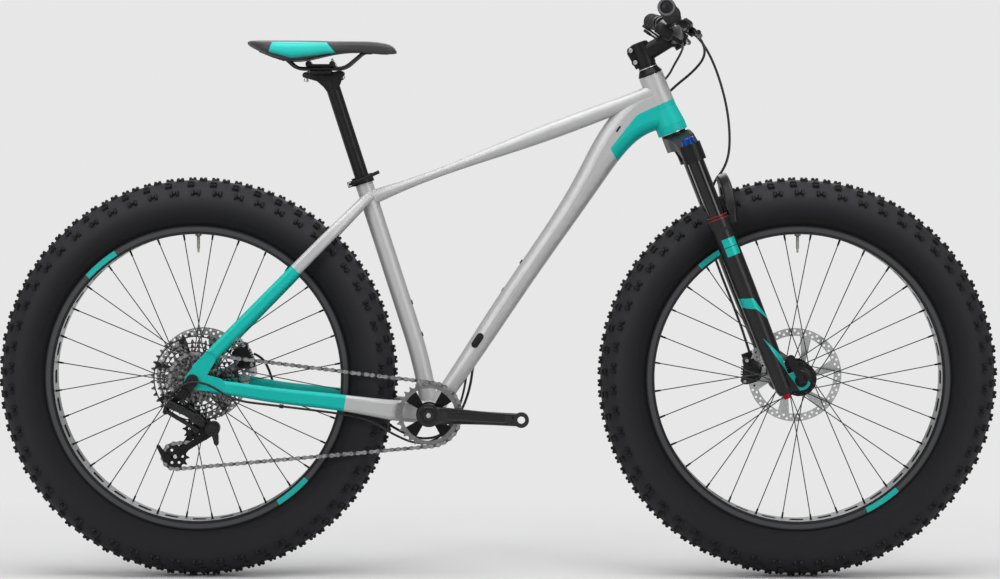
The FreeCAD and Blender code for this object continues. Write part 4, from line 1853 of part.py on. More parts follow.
def shifter_body():
    """Clamp band under the bar with the housing that holds the ratchet."""
    base, outward, down = shifter_frame()
    clamp = rod(base - outward * 5, base + outward * 5, BAR_RADIUS + 3.5)
    centre = base + down * SHIFTER_DROP
    pod = loft([rounded_section(centre - down * 12, down, 34, 30, 0.3),
                rounded_section(centre, down, 38, 38, 0.4),
                rounded_section(centre + down * 9, down, 30, 30, 0.4)])
    neck = rod(base, centre, 5)
    backward = unit(SHIFT_ROUTE[0] - SHIFT_ROUTE[1])
    ferrule = rod(SHIFT_ROUTE[0], SHIFT_ROUTE[0] + backward * 8, 4)
    tail = rod(SHIFT_ROUTE[0] + backward * 5, centre, 4)
    pin = rod(centre + down * 8, centre + down * 22, 3)
    body = clamp.multiFuse([pod, neck, ferrule, tail, pin])
    return main_solid(body.cut(rod(base - outward * 9, base + outward * 9, BAR_RADIUS + TOUCH_GAP)))


def paddle(level, reach, lean):
    """Thumb paddle on the shifter's pin."""
    base, outward, down = shifter_frame()
    pivot = base + down * (SHIFTER_DROP + level)
    rear = unit(LEVER_AHEAD * -1)
    heading = unit(rear * math.cos(math.radians(lean)) + outward * math.sin(math.radians(lean)))
    eye = rod(pivot - down * 2, pivot + down * 2, 7)
    arm = rod(pivot, pivot + heading * reach, 2)
    pad_at = pivot + heading * reach
    pad = rod(pad_at - down * 2.5, pad_at + down * 2.5, 8)
    hole = rod(pivot - down * 9, pivot + down * 9, 3 + RUNNING_GAP)
    return main_solid(eye.multiFuse([arm, pad]).cut(hole))


def nodes():
    pad, shell = saddle()
    wheel_tyre, wheel_rim = tyre(), rim()
    right_master = master_cylinder()
    right_lever = brake_lever()
    front_hose = [STEER.multVec(point) for point in FRONT_HOSE_ROUTE]
    built = frame_nodes()
    built.update({
        "rear_brake_caliper": rear_caliper(),
        "rear_brake_hose": cord(REAR_HOSE_ROUTE, HOSE_RADIUS, "rear brake hose"),
        "shift_cable": cord(SHIFT_ROUTE, HOUSING_RADIUS, "shift cable"),
        "chain": chain(),
        "derailleur_upper_knuckle": b_knuckle(),
        "derailleur_outer_link": link(0),
        "derailleur_inner_link": link(LINK_SPREAD),
        "derailleur_lower_knuckle": p_knuckle(),
        "derailleur_cage": cage(),
        "guide_pulley": pulley(GUIDE),
        "tension_pulley": pulley(TENSION),
        "seat_post": seat_post(),
        "saddle_rails": saddle_rails(),
        "saddle_shell": shell,
        "saddle_pad": pad,
        "seat_clamp_lever": seat_clamp_lever(),
        "fork_crown": fork_crown(),
        "stanchions": stanchions(),
        "headset_spacers": headset_spacers(),
        "stem": stem(),
        "handlebar": handlebar(),
        "grips": grips(),
        "brake_master_cylinders": Part.Compound([right_master, mirrored(right_master)]),
        "brake_lever_right": right_lever,
        "brake_lever_left": mirrored(right_lever),
        "shifter_body": shifter_body(),
        "shift_paddle": paddle(12.5, 34, 25),
        "release_paddle": paddle(17.5, 26, -20),
        "compression_dial": compression_dial(),
        "front_brake_hose": cord(front_hose, HOSE_RADIUS, "front brake hose"),
        "fork_lowers": fork_lowers(),
        "front_brake_caliper": front_caliper(),
        "front_axle": front_axle(),
        "front_axle_lever": front_axle_lever(),
        "rebound_knob": rebound_knob(),
        "front_tyre": shifted(wheel_tyre, FRONT_AXLE),
        "front_rim": shifted(wheel_rim, FRONT_AXLE),
        "front_spokes": shifted(spokes(FRONT_FLANGE_LEFT, FRONT_FLANGE_RIGHT), FRONT_AXLE),
        "front_hub": shifted(front_hub(), FRONT_AXLE),
        "front_rotor": shifted(rotor(FRONT_ROTOR_Y, FRONT_ROTOR_RADIUS), FRONT_AXLE),
        "rear_tyre": shifted(wheel_tyre, REAR_AXLE),
        "rear_rim": shifted(wheel_rim, REAR_AXLE),
        "rear_spokes": shifted(spokes(REAR_FLANGE_LEFT, REAR_FLANGE_RIGHT), REAR_AXLE),
        "rear_hub": shifted(rear_hub(), REAR_AXLE),
        "rear_rotor": shifted(rotor(REAR_ROTOR_Y, REAR_ROTOR_RADIUS), REAR_AXLE),
        "crank_arm_right": Part.Compound([crank_arm(CRANK_LEAN, BOSS_INNER)] + spindle().Solids),
        "crank_arm_left": mirrored(crank_arm(CRANK_LEAN + 180, LEFT_BOSS_INNER)),
        "chainring": chainring(),
        "cassette": cassette(),
    })
    return built


if __name__ == "__main__":
    os.makedirs("parts", exist_ok=True)
    for name, shape in nodes().items():
        shape.exportStep(os.path.join("parts", name + ".step"))
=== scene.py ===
import math

import bmesh
import bpy
from mathutils import Matrix, Vector


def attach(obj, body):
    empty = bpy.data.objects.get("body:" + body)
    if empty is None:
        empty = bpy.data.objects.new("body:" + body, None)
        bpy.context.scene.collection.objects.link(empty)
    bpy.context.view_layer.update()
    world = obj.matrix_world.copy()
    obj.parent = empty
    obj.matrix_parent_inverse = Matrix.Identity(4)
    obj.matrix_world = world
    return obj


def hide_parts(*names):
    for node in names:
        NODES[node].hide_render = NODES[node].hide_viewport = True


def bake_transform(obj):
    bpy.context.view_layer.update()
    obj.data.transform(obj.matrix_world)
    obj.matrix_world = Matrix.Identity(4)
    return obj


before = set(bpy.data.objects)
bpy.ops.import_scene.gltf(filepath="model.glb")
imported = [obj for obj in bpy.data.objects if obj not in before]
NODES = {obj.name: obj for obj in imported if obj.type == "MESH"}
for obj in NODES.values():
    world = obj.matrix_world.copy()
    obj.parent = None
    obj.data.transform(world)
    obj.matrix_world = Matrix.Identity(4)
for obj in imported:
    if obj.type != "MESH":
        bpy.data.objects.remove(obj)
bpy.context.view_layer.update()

# A fat tyre mountain bicycle dressed on its CAD frame. X forward, Y to the rider's left, Z up.
# Lengths are metres. Outlines, profiles and routes are millimetres, brought to metres by MM.

SCENE = bpy.context.scene
MM = 0.001

REAR_AXLE = Vector((-0.571, 0, 0.381))
FRONT_AXLE = Vector((0.571, 0, 0.381))
CRANK_AXIS = Vector((-0.1296, 0, 0.3143))
STEER_TILT = math.radians(21.4)
STEER_UP = Vector((-math.sin(STEER_TILT), 0, math.cos(STEER_TILT)))
STEER_AHEAD = Vector((math.cos(STEER_TILT), 0, math.sin(STEER_TILT)))
FORK_OFFSET = 0.051
STEER_FOOT = FRONT_AXLE - STEER_AHEAD * FORK_OFFSET
LEG_SIDE = 0.090
CRANK_LEAN = math.radians(-2.6)
SIDEWAYS = Vector((0, 1, 0))
OUT_RIGHT = Vector((0, -1, 0))

TEAL = (0.0, 0.53, 0.47, 1)
BLACK_PAINT = (0.010, 0.010, 0.011, 1)
PAINT_EDGE = 0.0003


# Materials

class Finish:
    """A material under construction: its node tree and main shader."""

    def __init__(self, name, **sockets):
        self.material = bpy.data.materials.new(name)
        self.material.use_nodes = True
        self.tree = self.material.node_tree
        self.surface = self.tree.nodes["Principled BSDF"]
        self.fill(self.surface, {key.replace("_", " "): value for key, value in sockets.items()})

    def fill(self, node, values):
        for key, value in values.items():
            if isinstance(value, bpy.types.NodeSocket):
                self.tree.links.new(value, node.inputs[key])
            else:
                node.inputs[key].default_value = value

    def node(self, kind, values=None, **settings):
        node = self.tree.nodes.new(kind)
        for key, value in settings.items():
            setattr(node, key, value)
        self.fill(node, values or {})
        return node

    def place(self, centre=None):
        """Object coordinates, from a centre if one is given."""
        out = self.node("ShaderNodeTexCoord").outputs["Object"]
        if centre is None:
            return out
        return self.node("ShaderNodeVectorMath", {0: out, 1: tuple(centre)}, operation="SUBTRACT").outputs[0]

    def axes(self, vector):
        return self.node("ShaderNodeSeparateXYZ", {0: vector}).outputs

    def along(self, vector, direction):
        values = {0: vector, 1: tuple(direction)}
        return self.node("ShaderNodeVectorMath", values, operation="DOT_PRODUCT").outputs["Value"]

    def math(self, operation, first, second=0.0, third=0.0):
        return self.node("ShaderNodeMath", {0: first, 1: second, 2: third}, operation=operation).outputs[0]

    def times(self, first, *others):
        """Product of two or more values."""
        for other in others:
            first = self.math("MULTIPLY", first, other)
        return first

    def step(self, value, low, high):
        """0 below low, 1 above high, smooth between."""
        values = {0: value, 1: low, 2: high, 3: 0.0, 4: 1.0}
        return self.node("ShaderNodeMapRange", values, interpolation_type="SMOOTHSTEP").outputs[0]

    def band(self, value, low, high, soft):
        """1 between low and high, fading to 0 over a soft edge."""
        rise = self.step(value, low - soft, low + soft)
        return self.times(rise, self.step(value, high + soft, high - soft))

    def noise(self, vector, scale, detail=2.0, roughness=0.5):
        values = {"Vector": vector, "Scale": scale, "Detail": detail, "Roughness": roughness}
        return self.node("ShaderNodeTexNoise", values).outputs["Fac"]

    def stretched(self, vector, scale):
        return self.node("ShaderNodeVectorMath", {0: vector, 1: scale}, operation="MULTIPLY").outputs[0]

    def mix(self, share, first, second):
        node = self.node("ShaderNodeMix", data_type="RGBA")
        self.fill(node, {0: share, 6: first, 7: second})
        return node.outputs[2]

    def blend(self, share, first, second):
        node = self.node("ShaderNodeMix", data_type="FLOAT")
        self.fill(node, {0: share, 2: first, 3: second})
        return node.outputs[0]

    def polar(self, axle):
        """Radius and angle about a wheel axle, and the distance to the side."""
        x, y, z = self.axes(self.place(axle))[:3]
        radius = self.math("SQRT", self.math("ADD", self.times(x, x), self.times(z, z)))
        return radius, self.math("ARCTAN2", z, x), self.math("ABSOLUTE", y)

    def bump(self, height, strength, distance):
        node = self.node("ShaderNodeBump", {"Strength": strength, "Distance": distance, "Height": height})
        self.fill(self.surface, {"Normal": node.outputs[0]})

    def colour(self, value):
        self.fill(self.surface, {"Base Color": value})

    def rough(self, value):
        self.fill(self.surface, {"Roughness": value})


def scaled(colour, factor):
    """Lighter or darker shade of a colour."""
    return tuple(part * factor for part in colour[:3]) + (1,)


def speckled_rough(finish, low, high, scale):
    """Roughness that wanders between two values."""
    finish.rough(finish.blend(finish.noise(finish.place(), scale, 4.0), low, high))


def frame_paint(name, teal_edges=None, all_teal=False):
    """Satin metallic silver, with teal inside the half planes given as (point, inward) in X and Z."""
    silver_metallic, teal_metallic, dropout_face = 0.40, 0.05, -0.1083
    finish = Finish(name, Metallic=silver_metallic, Specular_IOR_Level=0.35)
    place = finish.place()
    flake = finish.noise(place, 1400.0, 1.0)
    silver = finish.mix(flake, (0.53, 0.53, 0.535, 1), (0.58, 0.58, 0.585, 1))
    teal = finish.mix(flake, (0.0, 0.52, 0.46, 1), (0.0, 0.56, 0.50, 1))
    if all_teal:
        outside = finish.step(finish.axes(place)[1], dropout_face + 0.0001, dropout_face - 0.0001)
        finish.colour(finish.mix(outside, teal, BLACK_PAINT))
        finish.fill(finish.surface, {"Metallic": teal_metallic})
    elif teal_edges:
        inside = None
        for (x, z), (across, up) in teal_edges:
            offset = finish.along(finish.place((x, 0, z)), Vector((across, 0, up)).normalized())
            inside = offset if inside is None else finish.math("SMOOTH_MIN", inside, offset, 0.006)
        share = finish.step(inside, -PAINT_EDGE, PAINT_EDGE)
        finish.colour(finish.mix(share, silver, teal))
        finish.fill(finish.surface, {"Metallic": finish.blend(share, silver_metallic, teal_metallic)})
    else:
        finish.colour(silver)
    finish.rough(finish.blend(finish.noise(place, 30.0, 1.0), 0.44, 0.50))
    return finish.material


def black_metal(name, base=BLACK_PAINT, low=0.30, high=0.45, metallic=0.4, coat=0.0):
    """Anodised or painted black metal with a fine grain."""
    finish = Finish(name, Metallic=metallic, Specular_IOR_Level=0.25, Coat_Weight=coat, Coat_Roughness=0.12)
    place = finish.place()
    grain = finish.noise(place, 1800.0, 2.0)
    lighter = tuple(min(1.0, part * 1.8 + 0.004) for part in base[:3]) + (1,)
    finish.colour(finish.mix(finish.noise(place, 90.0, 3.0), base, lighter))
    speckled_rough(finish, low, high, 120.0)
    finish.bump(grain, 0.06, 0.0002)
    return finish.material


def moulded_plastic(name, base=(0.012, 0.012, 0.013, 1), low=0.42, high=0.6):
    """Plastic with the fine texture of its mould."""
    finish = Finish(name, Specular_IOR_Level=0.2)
    place = finish.place()
    finish.colour(finish.mix(finish.noise(place, 30.0), base, scaled(base, 1.6)))
    speckled_rough(finish, low, high, 300.0)
    finish.bump(finish.noise(place, 1400.0, 3.0), 0.12, 0.0002)
    return finish.material


def coloured_anodise(name, base):
    """Dyed metal of the fork's dial and knob."""
    finish = Finish(name, Metallic=0.85)
    place = finish.place()
    finish.colour(finish.mix(finish.noise(place, 200.0, 3.0), base, scaled(base, 0.6)))
    speckled_rough(finish, 0.22, 0.34, 400.0)
    finish.bump(finish.noise(place, 2500.0), 0.05, 0.0001)
    return finish.material


def worn_steel(name, dark, light, low=0.22, high=0.42, scale=260.0):
    """Steel of chain and cogs: bright where it rubs, darker with oil elsewhere."""
    finish = Finish(name, Metallic=1.0)
    place = finish.place()
    finish.colour(finish.mix(finish.step(finish.noise(place, scale, 4.0, 0.65), 0.38, 0.64), dark, light))
    speckled_rough(finish, low, high, scale * 2)
    finish.bump(finish.noise(place, 2200.0, 2.0), 0.08, 0.0002)
    return finish.material


def brushed_disc(name, axle):
    """Ground steel: fine scratches that run round the axle."""
    finish = Finish(name, Metallic=1.0)
    radius, angle, _ = finish.polar(axle)
    scratches_across, scratches_round = 2600.0, 3.0
    values = {0: finish.times(radius, scratches_across), 1: finish.times(angle, scratches_round)}
    lines = finish.noise(finish.node("ShaderNodeCombineXYZ", values).outputs[0], 1.0, 3.0, 0.6)
    finish.colour(finish.mix(lines, (0.40, 0.405, 0.41, 1), (0.66, 0.665, 0.67, 1)))
    finish.rough(finish.blend(lines, 0.20, 0.36))
    finish.bump(lines, 0.10, 0.0002)
    return finish.material


def ring_finish(name):
    """Black arms, and a steel rim whose teeth have worn bright."""
    finish = Finish(name, Metallic=0.8)
    radius, _, _ = finish.polar(CRANK_AXIS)
    place = finish.place()
    rim_start, rim_end = 0.0485, 0.0492
    worn = finish.step(radius, rim_start, rim_end)
    steel = finish.mix(finish.noise(place, 120.0, 4.0), (0.12, 0.12, 0.123, 1), (0.32, 0.32, 0.325, 1))
    finish.colour(finish.mix(worn, BLACK_PAINT, steel))
    speckled_rough(finish, 0.24, 0.40, 200.0)
    finish.bump(finish.noise(place, 1500.0, 2.0), 0.05, 0.0002)
    return finish.material


def cog_finish(name):
    """Dark plated cogs, bright where the chain has polished the teeth, the brightness partly a painted glint on
    the tips.
    """
    finish = Finish(name, Metallic=0.8)
    place = finish.place()
    worn = finish.node("ShaderNodeAttribute", attribute_name="wear").outputs["Fac"]
    patchy = finish.times(worn, finish.step(finish.noise(place, 170.0, 3.0), 0.36, 0.62))
    dark = finish.mix(finish.noise(place, 60.0, 4.0), (0.010, 0.010, 0.011, 1), (0.035, 0.035, 0.037, 1))
    # Tooth tips mix towards light steel: wear, and partly a painted glint.
    finish.colour(finish.mix(patchy, dark, (0.30, 0.30, 0.305, 1)))
    speckled_rough(finish, 0.18, 0.34, 300.0)
    finish.bump(finish.noise(place, 2200.0, 2.0), 0.06, 0.0002)
    return finish.material


def crank_finish(name):
    """Forged black arm with a long hollow pressed into its outer face, painted darker there as painted shade.
    """
    finish = Finish(name, Metallic=0.4, Coat_Weight=0.25, Coat_Roughness=0.2)
    place = finish.place()
    local = finish.place(CRANK_AXIS)
    hollow_start, hollow_end, hollow_depth = 0.034, 0.146, 0.0018
    along = finish.along(local, (math.cos(CRANK_LEAN), 0, math.sin(CRANK_LEAN)))
    across = finish.math("ABSOLUTE", finish.along(local, (-math.sin(CRANK_LEAN), 0, math.cos(CRANK_LEAN))))
    within = finish.step(across, 0.0072, 0.0052)
    outer = finish.step(finish.axes(place)[1], -0.090, -0.0905)
    hollow = finish.times(finish.band(along, hollow_start, hollow_end, 0.003), within, outer)
    base = finish.mix(finish.noise(place, 90.0, 3.0), BLACK_PAINT, (0.020, 0.020, 0.022, 1))
    # The hollow is painted darker than the arm: painted shade in the recess.
    finish.colour(finish.mix(hollow, base, (0.006, 0.006, 0.007, 1)))
    speckled_rough(finish, 0.26, 0.38, 120.0)
    finish.bump(finish.times(hollow, -1.0), 1.0, hollow_depth)
    return finish.material


def tyre_rubber(name, axle):
    """Matt rubber with moulded rings on the sidewall, dust, and a painted sheen that lightens the crown zone
    above a darker sidewall.
    """
    base, dust_and_sheen = (0.017, 0.017, 0.020, 1), (0.034, 0.034, 0.040, 1)
    ring_start, ring_end, ring_rate = 0.2955, 0.3055, 5200.0
    finish = Finish(name, Specular_IOR_Level=0.22)
    radius, _, _ = finish.polar(axle)
    place = finish.place()
    dust = finish.noise(place, 14.0, 4.0, 0.6)
    high = finish.step(radius, 0.300, 0.352)
    # Painted sheen: the crown zone is lighter than the lower sidewall, which gets half the base colour, and
    # dust noise mixes in on top.
    finish.colour(finish.mix(high, scaled(base, 0.5), finish.mix(dust, base, dust_and_sheen)))
    finish.rough(finish.blend(dust, 0.56, 0.74))
    wave = finish.math("SINE", finish.times(radius, ring_rate))
    rings = finish.times(wave, finish.band(radius, ring_start, ring_end, 0.0008))
    grain = finish.noise(place, 900.0, 3.0, 0.6)
    finish.bump(finish.math("ADD", grain, finish.times(rings, 0.5)), 0.35, 0.0004)
    return finish.material


def rim_paint(name, axle, arc_angle):
    """Black rim: dark grey side band with two plain teal arcs, light inner face, black slots, steel valve."""
    rim_metallic = 0.55
    finish = Finish(name, Metallic=rim_metallic)
    radius, angle, side = finish.polar(axle)
    place = finish.place()
    grain = finish.noise(place, 700.0, 3.0)
    dark = finish.mix(grain, (0.010, 0.010, 0.011, 1), (0.022, 0.022, 0.024, 1))
    band = finish.mix(grain, (0.055, 0.056, 0.060, 1), (0.085, 0.087, 0.092, 1))
    face = finish.mix(grain, (0.30, 0.305, 0.31, 1), (0.42, 0.425, 0.43, 1))
    band_start, band_end = 0.2785, 0.2865
    arc_start, arc_end, arc_half = 0.2775, 0.2875, math.radians(7.1)
    on_side = finish.step(side, 0.0385, 0.0395)
    in_band = finish.times(on_side, finish.band(radius, band_start, band_end, 0.0004))
    turn = finish.math("SINE", finish.math("SUBTRACT", angle, math.radians(arc_angle)))
    facing = finish.math("LESS_THAN", finish.math("ABSOLUTE", turn), math.sin(arc_half))
    arcs = finish.times(on_side, finish.band(radius, arc_start, arc_end, PAINT_EDGE), facing)
    below_flank, between_flanks = finish.step(radius, 0.2745, 0.2738), finish.step(side, 0.0360, 0.0352)
    inner = finish.times(below_flank, between_flanks, finish.step(radius, 0.2690, 0.2700))
    valve = finish.step(radius, 0.2680, 0.2670)
    colour = finish.mix(in_band, dark, band)
    colour = finish.mix(arcs, colour, TEAL)
    colour = finish.mix(inner, colour, face)
    finish.colour(finish.mix(valve, colour, (0.42, 0.40, 0.36, 1)))
    finish.fill(finish.surface, {"Metallic": finish.blend(arcs, rim_metallic, 0.0)})
    speckled_rough(finish, 0.34, 0.48, 90.0)
    finish.bump(grain, 0.06, 0.0002)
    return finish.material


def spoke_steel(name, axle):
    """Black spokes with darker nipples at the rim."""
    nipple_start, nipple_end = 0.2600, 0.2606
    finish = Finish(name, Metallic=0.9)
    radius, _, _ = finish.polar(axle)
    grain = finish.noise(finish.place(), 500.0)
    wire = finish.mix(grain, (0.045, 0.046, 0.048, 1), (0.075, 0.076, 0.078, 1))
    nipple = finish.step(radius, nipple_start, nipple_end)
    finish.colour(finish.mix(nipple, wire, (0.016, 0.016, 0.017, 1)))
    speckled_rough(finish, 0.25, 0.35, 400.0)
    return finish.material


def fork_leg_paint(name):
    """Satin black lower legs with plain teal blades and a plain patch, and red lips on the seals."""
    finish = Finish(name, Metallic=0.15, Specular_IOR_Level=0.3, Coat_Weight=0.15, Coat_Roughness=0.25)
    place = finish.place()
    local = finish.place(STEER_FOOT)
    ahead = finish.along(local, STEER_AHEAD)
    along = finish.along(local, STEER_UP)
    side = finish.math("ABSOLUTE", finish.axes(place)[1])

    def line(u, v, slope):
        """Height along the leg of a slanted edge through a point."""
        run = finish.times(finish.math("SUBTRACT", ahead, u), slope)
        return finish.math("ADD", run, v)

    def between(low, high):
        above = finish.step(finish.math("SUBTRACT", along, low), -PAINT_EDGE, PAINT_EDGE)
        return finish.times(above, finish.step(finish.math("SUBTRACT", high, along), -PAINT_EDGE, PAINT_EDGE))

    upper = finish.math("MINIMUM", line(0.003, 0.184, -0.3), line(0.023, 0.178, -3.57))
    lower = finish.math("MINIMUM", line(0.001, 0.166, -0.49), line(0.0215, 0.156, -1.91))
    hook = between(line(0.013, 0.101, -4.03), line(0.013, 0.101, -2.12))
    blades = finish.math("ADD", between(lower, upper), hook)
    patch_width = finish.band(ahead, 0.0065, 0.0315, PAINT_EDGE)
    patch = finish.times(patch_width, finish.band(along, 0.266, 0.300, PAINT_EDGE))
    split = finish.band(along, 0.2825, 0.2838, 0.0002)
    patch = finish.math("SUBTRACT", patch, finish.times(patch, split))
    outer = finish.step(side, LEG_SIDE + 0.001, LEG_SIDE + 0.002)
    accent = finish.math("MINIMUM", finish.times(outer, finish.math("ADD", blades, patch)), 1.0)
    upper_lip = finish.band(along, 0.3446, 0.3475, 0.0001)
    lower_lip = finish.band(along, 0.3388, 0.3402, 0.0001)
    lips = finish.times(finish.math("ADD", upper_lip, lower_lip), finish.step(ahead, 0.0375, 0.0365))
    base = finish.mix(finish.noise(place, 90.0, 3.0), (0.008, 0.008, 0.009, 1), (0.015, 0.015, 0.016, 1))
    colour = finish.mix(accent, base, TEAL)
    finish.colour(finish.mix(lips, colour, (0.35, 0.012, 0.016, 1)))
    speckled_rough(finish, 0.30, 0.42, 110.0)
    finish.bump(finish.noise(place, 900.0, 2.0), 0.05, 0.0003)
    return finish.material


def saddle_cover(name):
    """Fine grained synthetic cover, charcoal with teal flank panels held in the panel attribute."""
    finish = Finish(name, Sheen_Weight=0.25, Sheen_Roughness=0.4)
    place = finish.place()
    panel = finish.node("ShaderNodeAttribute", attribute_name="panel").outputs["Fac"]
    seam_edge = 0.0002
    share = finish.step(panel, -seam_edge, seam_edge)
    grain = finish.noise(place, 1500.0, 4.0, 0.6)
    dark = finish.mix(grain, (0.022, 0.022, 0.024, 1), (0.040, 0.040, 0.043, 1))
    teal = finish.mix(grain, (0.0, 0.55, 0.49, 1), (0.005, 0.66, 0.59, 1))
    finish.colour(finish.mix(share, dark, teal))
    finish.rough(finish.blend(grain, 0.42, 0.58))
    pebble = finish.node("ShaderNodeTexVoronoi", {"Vector": place, "Scale": 900.0}).outputs["Distance"]
    finish.bump(finish.math("ADD", pebble, grain), 0.22, 0.0003)
    return finish.material


def black_rubber(name, dark, light, specular, mottle, rough, rough_scale, grain, grain_height, grain_depth):
    """Rubber or soft plastic. mottle and grain are the scale and detail of its two noises."""
    finish = Finish(name, Specular_IOR_Level=specular)
    place = finish.place()
    finish.colour(finish.mix(finish.noise(place, *mottle), dark, light))
    speckled_rough(finish, *rough, rough_scale)
    finish.bump(finish.noise(place, *grain), grain_height, grain_depth)
    return finish.material


def knob_rubber(name):
    """Deep black rubber of the tread."""
    return black_rubber(name, (0.004, 0.004, 0.0045, 1), (0.011, 0.011, 0.012, 1), specular=0.25,
                        mottle=(60.0, 3.0), rough=(0.45, 0.65), rough_scale=200.0,
                        grain=(1100.0, 3.0), grain_height=0.25, grain_depth=0.0003)


def grip_rubber(name):
    """Matt rubber of the grips."""
    return black_rubber(name, (0.012, 0.012, 0.013, 1), (0.024, 0.024, 0.026, 1), specular=0.3,
                        mottle=(40.0, 3.0), rough=(0.6, 0.8), rough_scale=150.0,
                        grain=(1300.0, 3.0), grain_height=0.3, grain_depth=0.0003)


def hose_jacket(name):
    """Smooth jacket of the hoses and the cable."""
    return black_rubber(name, (0.008, 0.008, 0.009, 1), (0.016, 0.016, 0.017, 1), specular=0.4,
                        mottle=(120.0, 2.0), rough=(0.4, 0.55), rough_scale=500.0,
                        grain=(2000.0, 2.0), grain_height=0.1, grain_depth=0.0002)


def dress(material, *names):
    """Gives CAD nodes a material."""
    for name in names:
        slots = NODES[name].data.materials
        slots.clear()
        slots.append(material)


# Meshes

def new_piece(name, bm, material, smooth_angle=None):
    """Object from a bmesh, with outward faces."""
    bmesh.ops.recalc_face_normals(bm, faces=bm.faces)
    mesh = bpy.data.meshes.new(name)
    bm.to_mesh(mesh)
    bm.free()
    mesh.materials.append(material)
    piece = bpy.data.objects.new(name, mesh)
    SCENE.collection.objects.link(piece)
    if smooth_angle is not None:
        shade(mesh, smooth_angle)
    return piece


def shade(mesh, angle):
    """Smooth shading, sharp at edges over an angle in degrees."""
    mesh.polygons.foreach_set("use_smooth", [True] * len(mesh.polygons))
    mesh.set_sharp_from_angle(angle=math.radians(angle))


def edges_of(verts):
    """Edges at these points, each once, in a fixed order."""
    return list(dict.fromkeys(edge for vert in verts for edge in vert.link_edges))


def turned(bm, profile, centre, axis, segments):
    """Closed ring of (radius, along) points spun about an axis."""
    turn = Vector((0, 0, 1)).rotation_difference(Vector(axis)).to_matrix()
    rings = []
    for step in range(segments):
        angle = 2 * math.pi * step / segments
        heading = Vector((math.cos(angle), math.sin(angle), 0))
        rings.append([bm.verts.new(centre + turn @ (heading * r + Vector((0, 0, a)))) for r, a in profile])
    count = len(profile)
    for step in range(segments):
        here, there = rings[step], rings[(step + 1) % segments]
        for index in range(count):
            after = (index + 1) % count
            bm.faces.new((here[index], there[index], there[after], here[after]))


def geometry_tree(name, **inputs):
    """New geometry node tree with its mesh sockets and named inputs, and its input node."""
    tree = bpy.data.node_groups.new(name, "GeometryNodeTree")
    face = tree.interface
    for way in ("OUTPUT", "INPUT"):
        face.new_socket(name="Geometry", in_out=way, socket_type="NodeSocketGeometry")
    for label, kind in inputs.items():
        face.new_socket(name=label, in_out="INPUT", socket_type="NodeSocket" + kind)
    return tree, tree.nodes.new("NodeGroupInput")


def end_painted(tree, given, copies):
    """Ends a tree with real copies in the material that it is given."""
    new, link = tree.nodes.new, tree.links.new
    real, paint = new("GeometryNodeRealizeInstances"), new("GeometryNodeSetMaterial")
    link(copies, real.inputs[0])
    link(real.outputs[0], paint.inputs["Geometry"])
    link(given.outputs["Material"], paint.inputs["Material"])
    link(paint.outputs[0], new("NodeGroupOutput").inputs[0])
    return tree


def repeat_tree():
    """Geometry nodes that repeat the object's own mesh round a wheel axle."""
    tree, given = geometry_tree("repeat_round_axle", Count="Int", Axle="Vector", Material="Material")
    new, link = tree.nodes.new, tree.links.new
    points, copies = new("GeometryNodePoints"), new("GeometryNodeInstanceOnPoints")
    index, share, turn = new("GeometryNodeInputIndex"), new("ShaderNodeMath"), new("ShaderNodeMath")
    euler, shift = new("ShaderNodeCombineXYZ"), new("GeometryNodeTransform")
    share.operation, turn.operation = "DIVIDE", "MULTIPLY"
    turn.inputs[1].default_value = 2 * math.pi
    link(given.outputs["Count"], points.inputs["Count"])
    link(index.outputs[0], share.inputs[0])
    link(given.outputs["Count"], share.inputs[1])
    link(share.outputs[0], turn.inputs[0])
    link(turn.outputs[0], euler.inputs["Y"])
    link(points.outputs[0], copies.inputs["Points"])
    link(given.outputs["Geometry"], copies.inputs["Instance"])
    link(euler.outputs[0], copies.inputs["Rotation"])
    link(copies.outputs[0], shift.inputs["Geometry"])
    link(given.outputs["Axle"], shift.inputs["Translation"])
    return end_painted(tree, given, shift.outputs[0])


def settled(piece, tree, values):
    """Runs a node tree on a piece and keeps the result as its plain mesh."""
    modifier = piece.modifiers.new(tree.name, "NODES")
    modifier.node_group = tree
    sockets = {item.name: item.identifier for item in tree.interface.items_tree if item.in_out == "INPUT"}
    for name, value in values.items():
        modifier[sockets[name]] = value
    graph = bpy.context.evaluated_depsgraph_get()
    mesh = bpy.data.meshes.new_from_object(piece.evaluated_get(graph))
    piece.modifiers.remove(modifier)
    piece.data = mesh
    mesh.name = piece.name
    return piece


def even_normals(*names):
    """Evens out the normals of finely meshed CAD tubes with geometry nodes. Their shape stays as it is."""
    rounds = 3
    tree, given = geometry_tree("even_normals")
    new, link = tree.nodes.new, tree.links.new
    blur, put = new("GeometryNodeBlurAttribute"), new("GeometryNodeSetMeshNormal")
    blur.data_type = "FLOAT_VECTOR"
    blur.inputs["Iterations"].default_value = rounds
    put.mode, put.domain = "FREE", "POINT"
    link(new("GeometryNodeInputNormal").outputs[0], blur.inputs["Value"])
    link(given.outputs[0], put.inputs["Mesh"])
    link(blur.outputs[0], put.inputs["Custom Normal"])
    link(put.outputs[0], new("NodeGroupOutput").inputs[0])
    for name in names:
        NODES[name].modifiers.new("even_normals", "NODES").node_group = tree


# Tyres

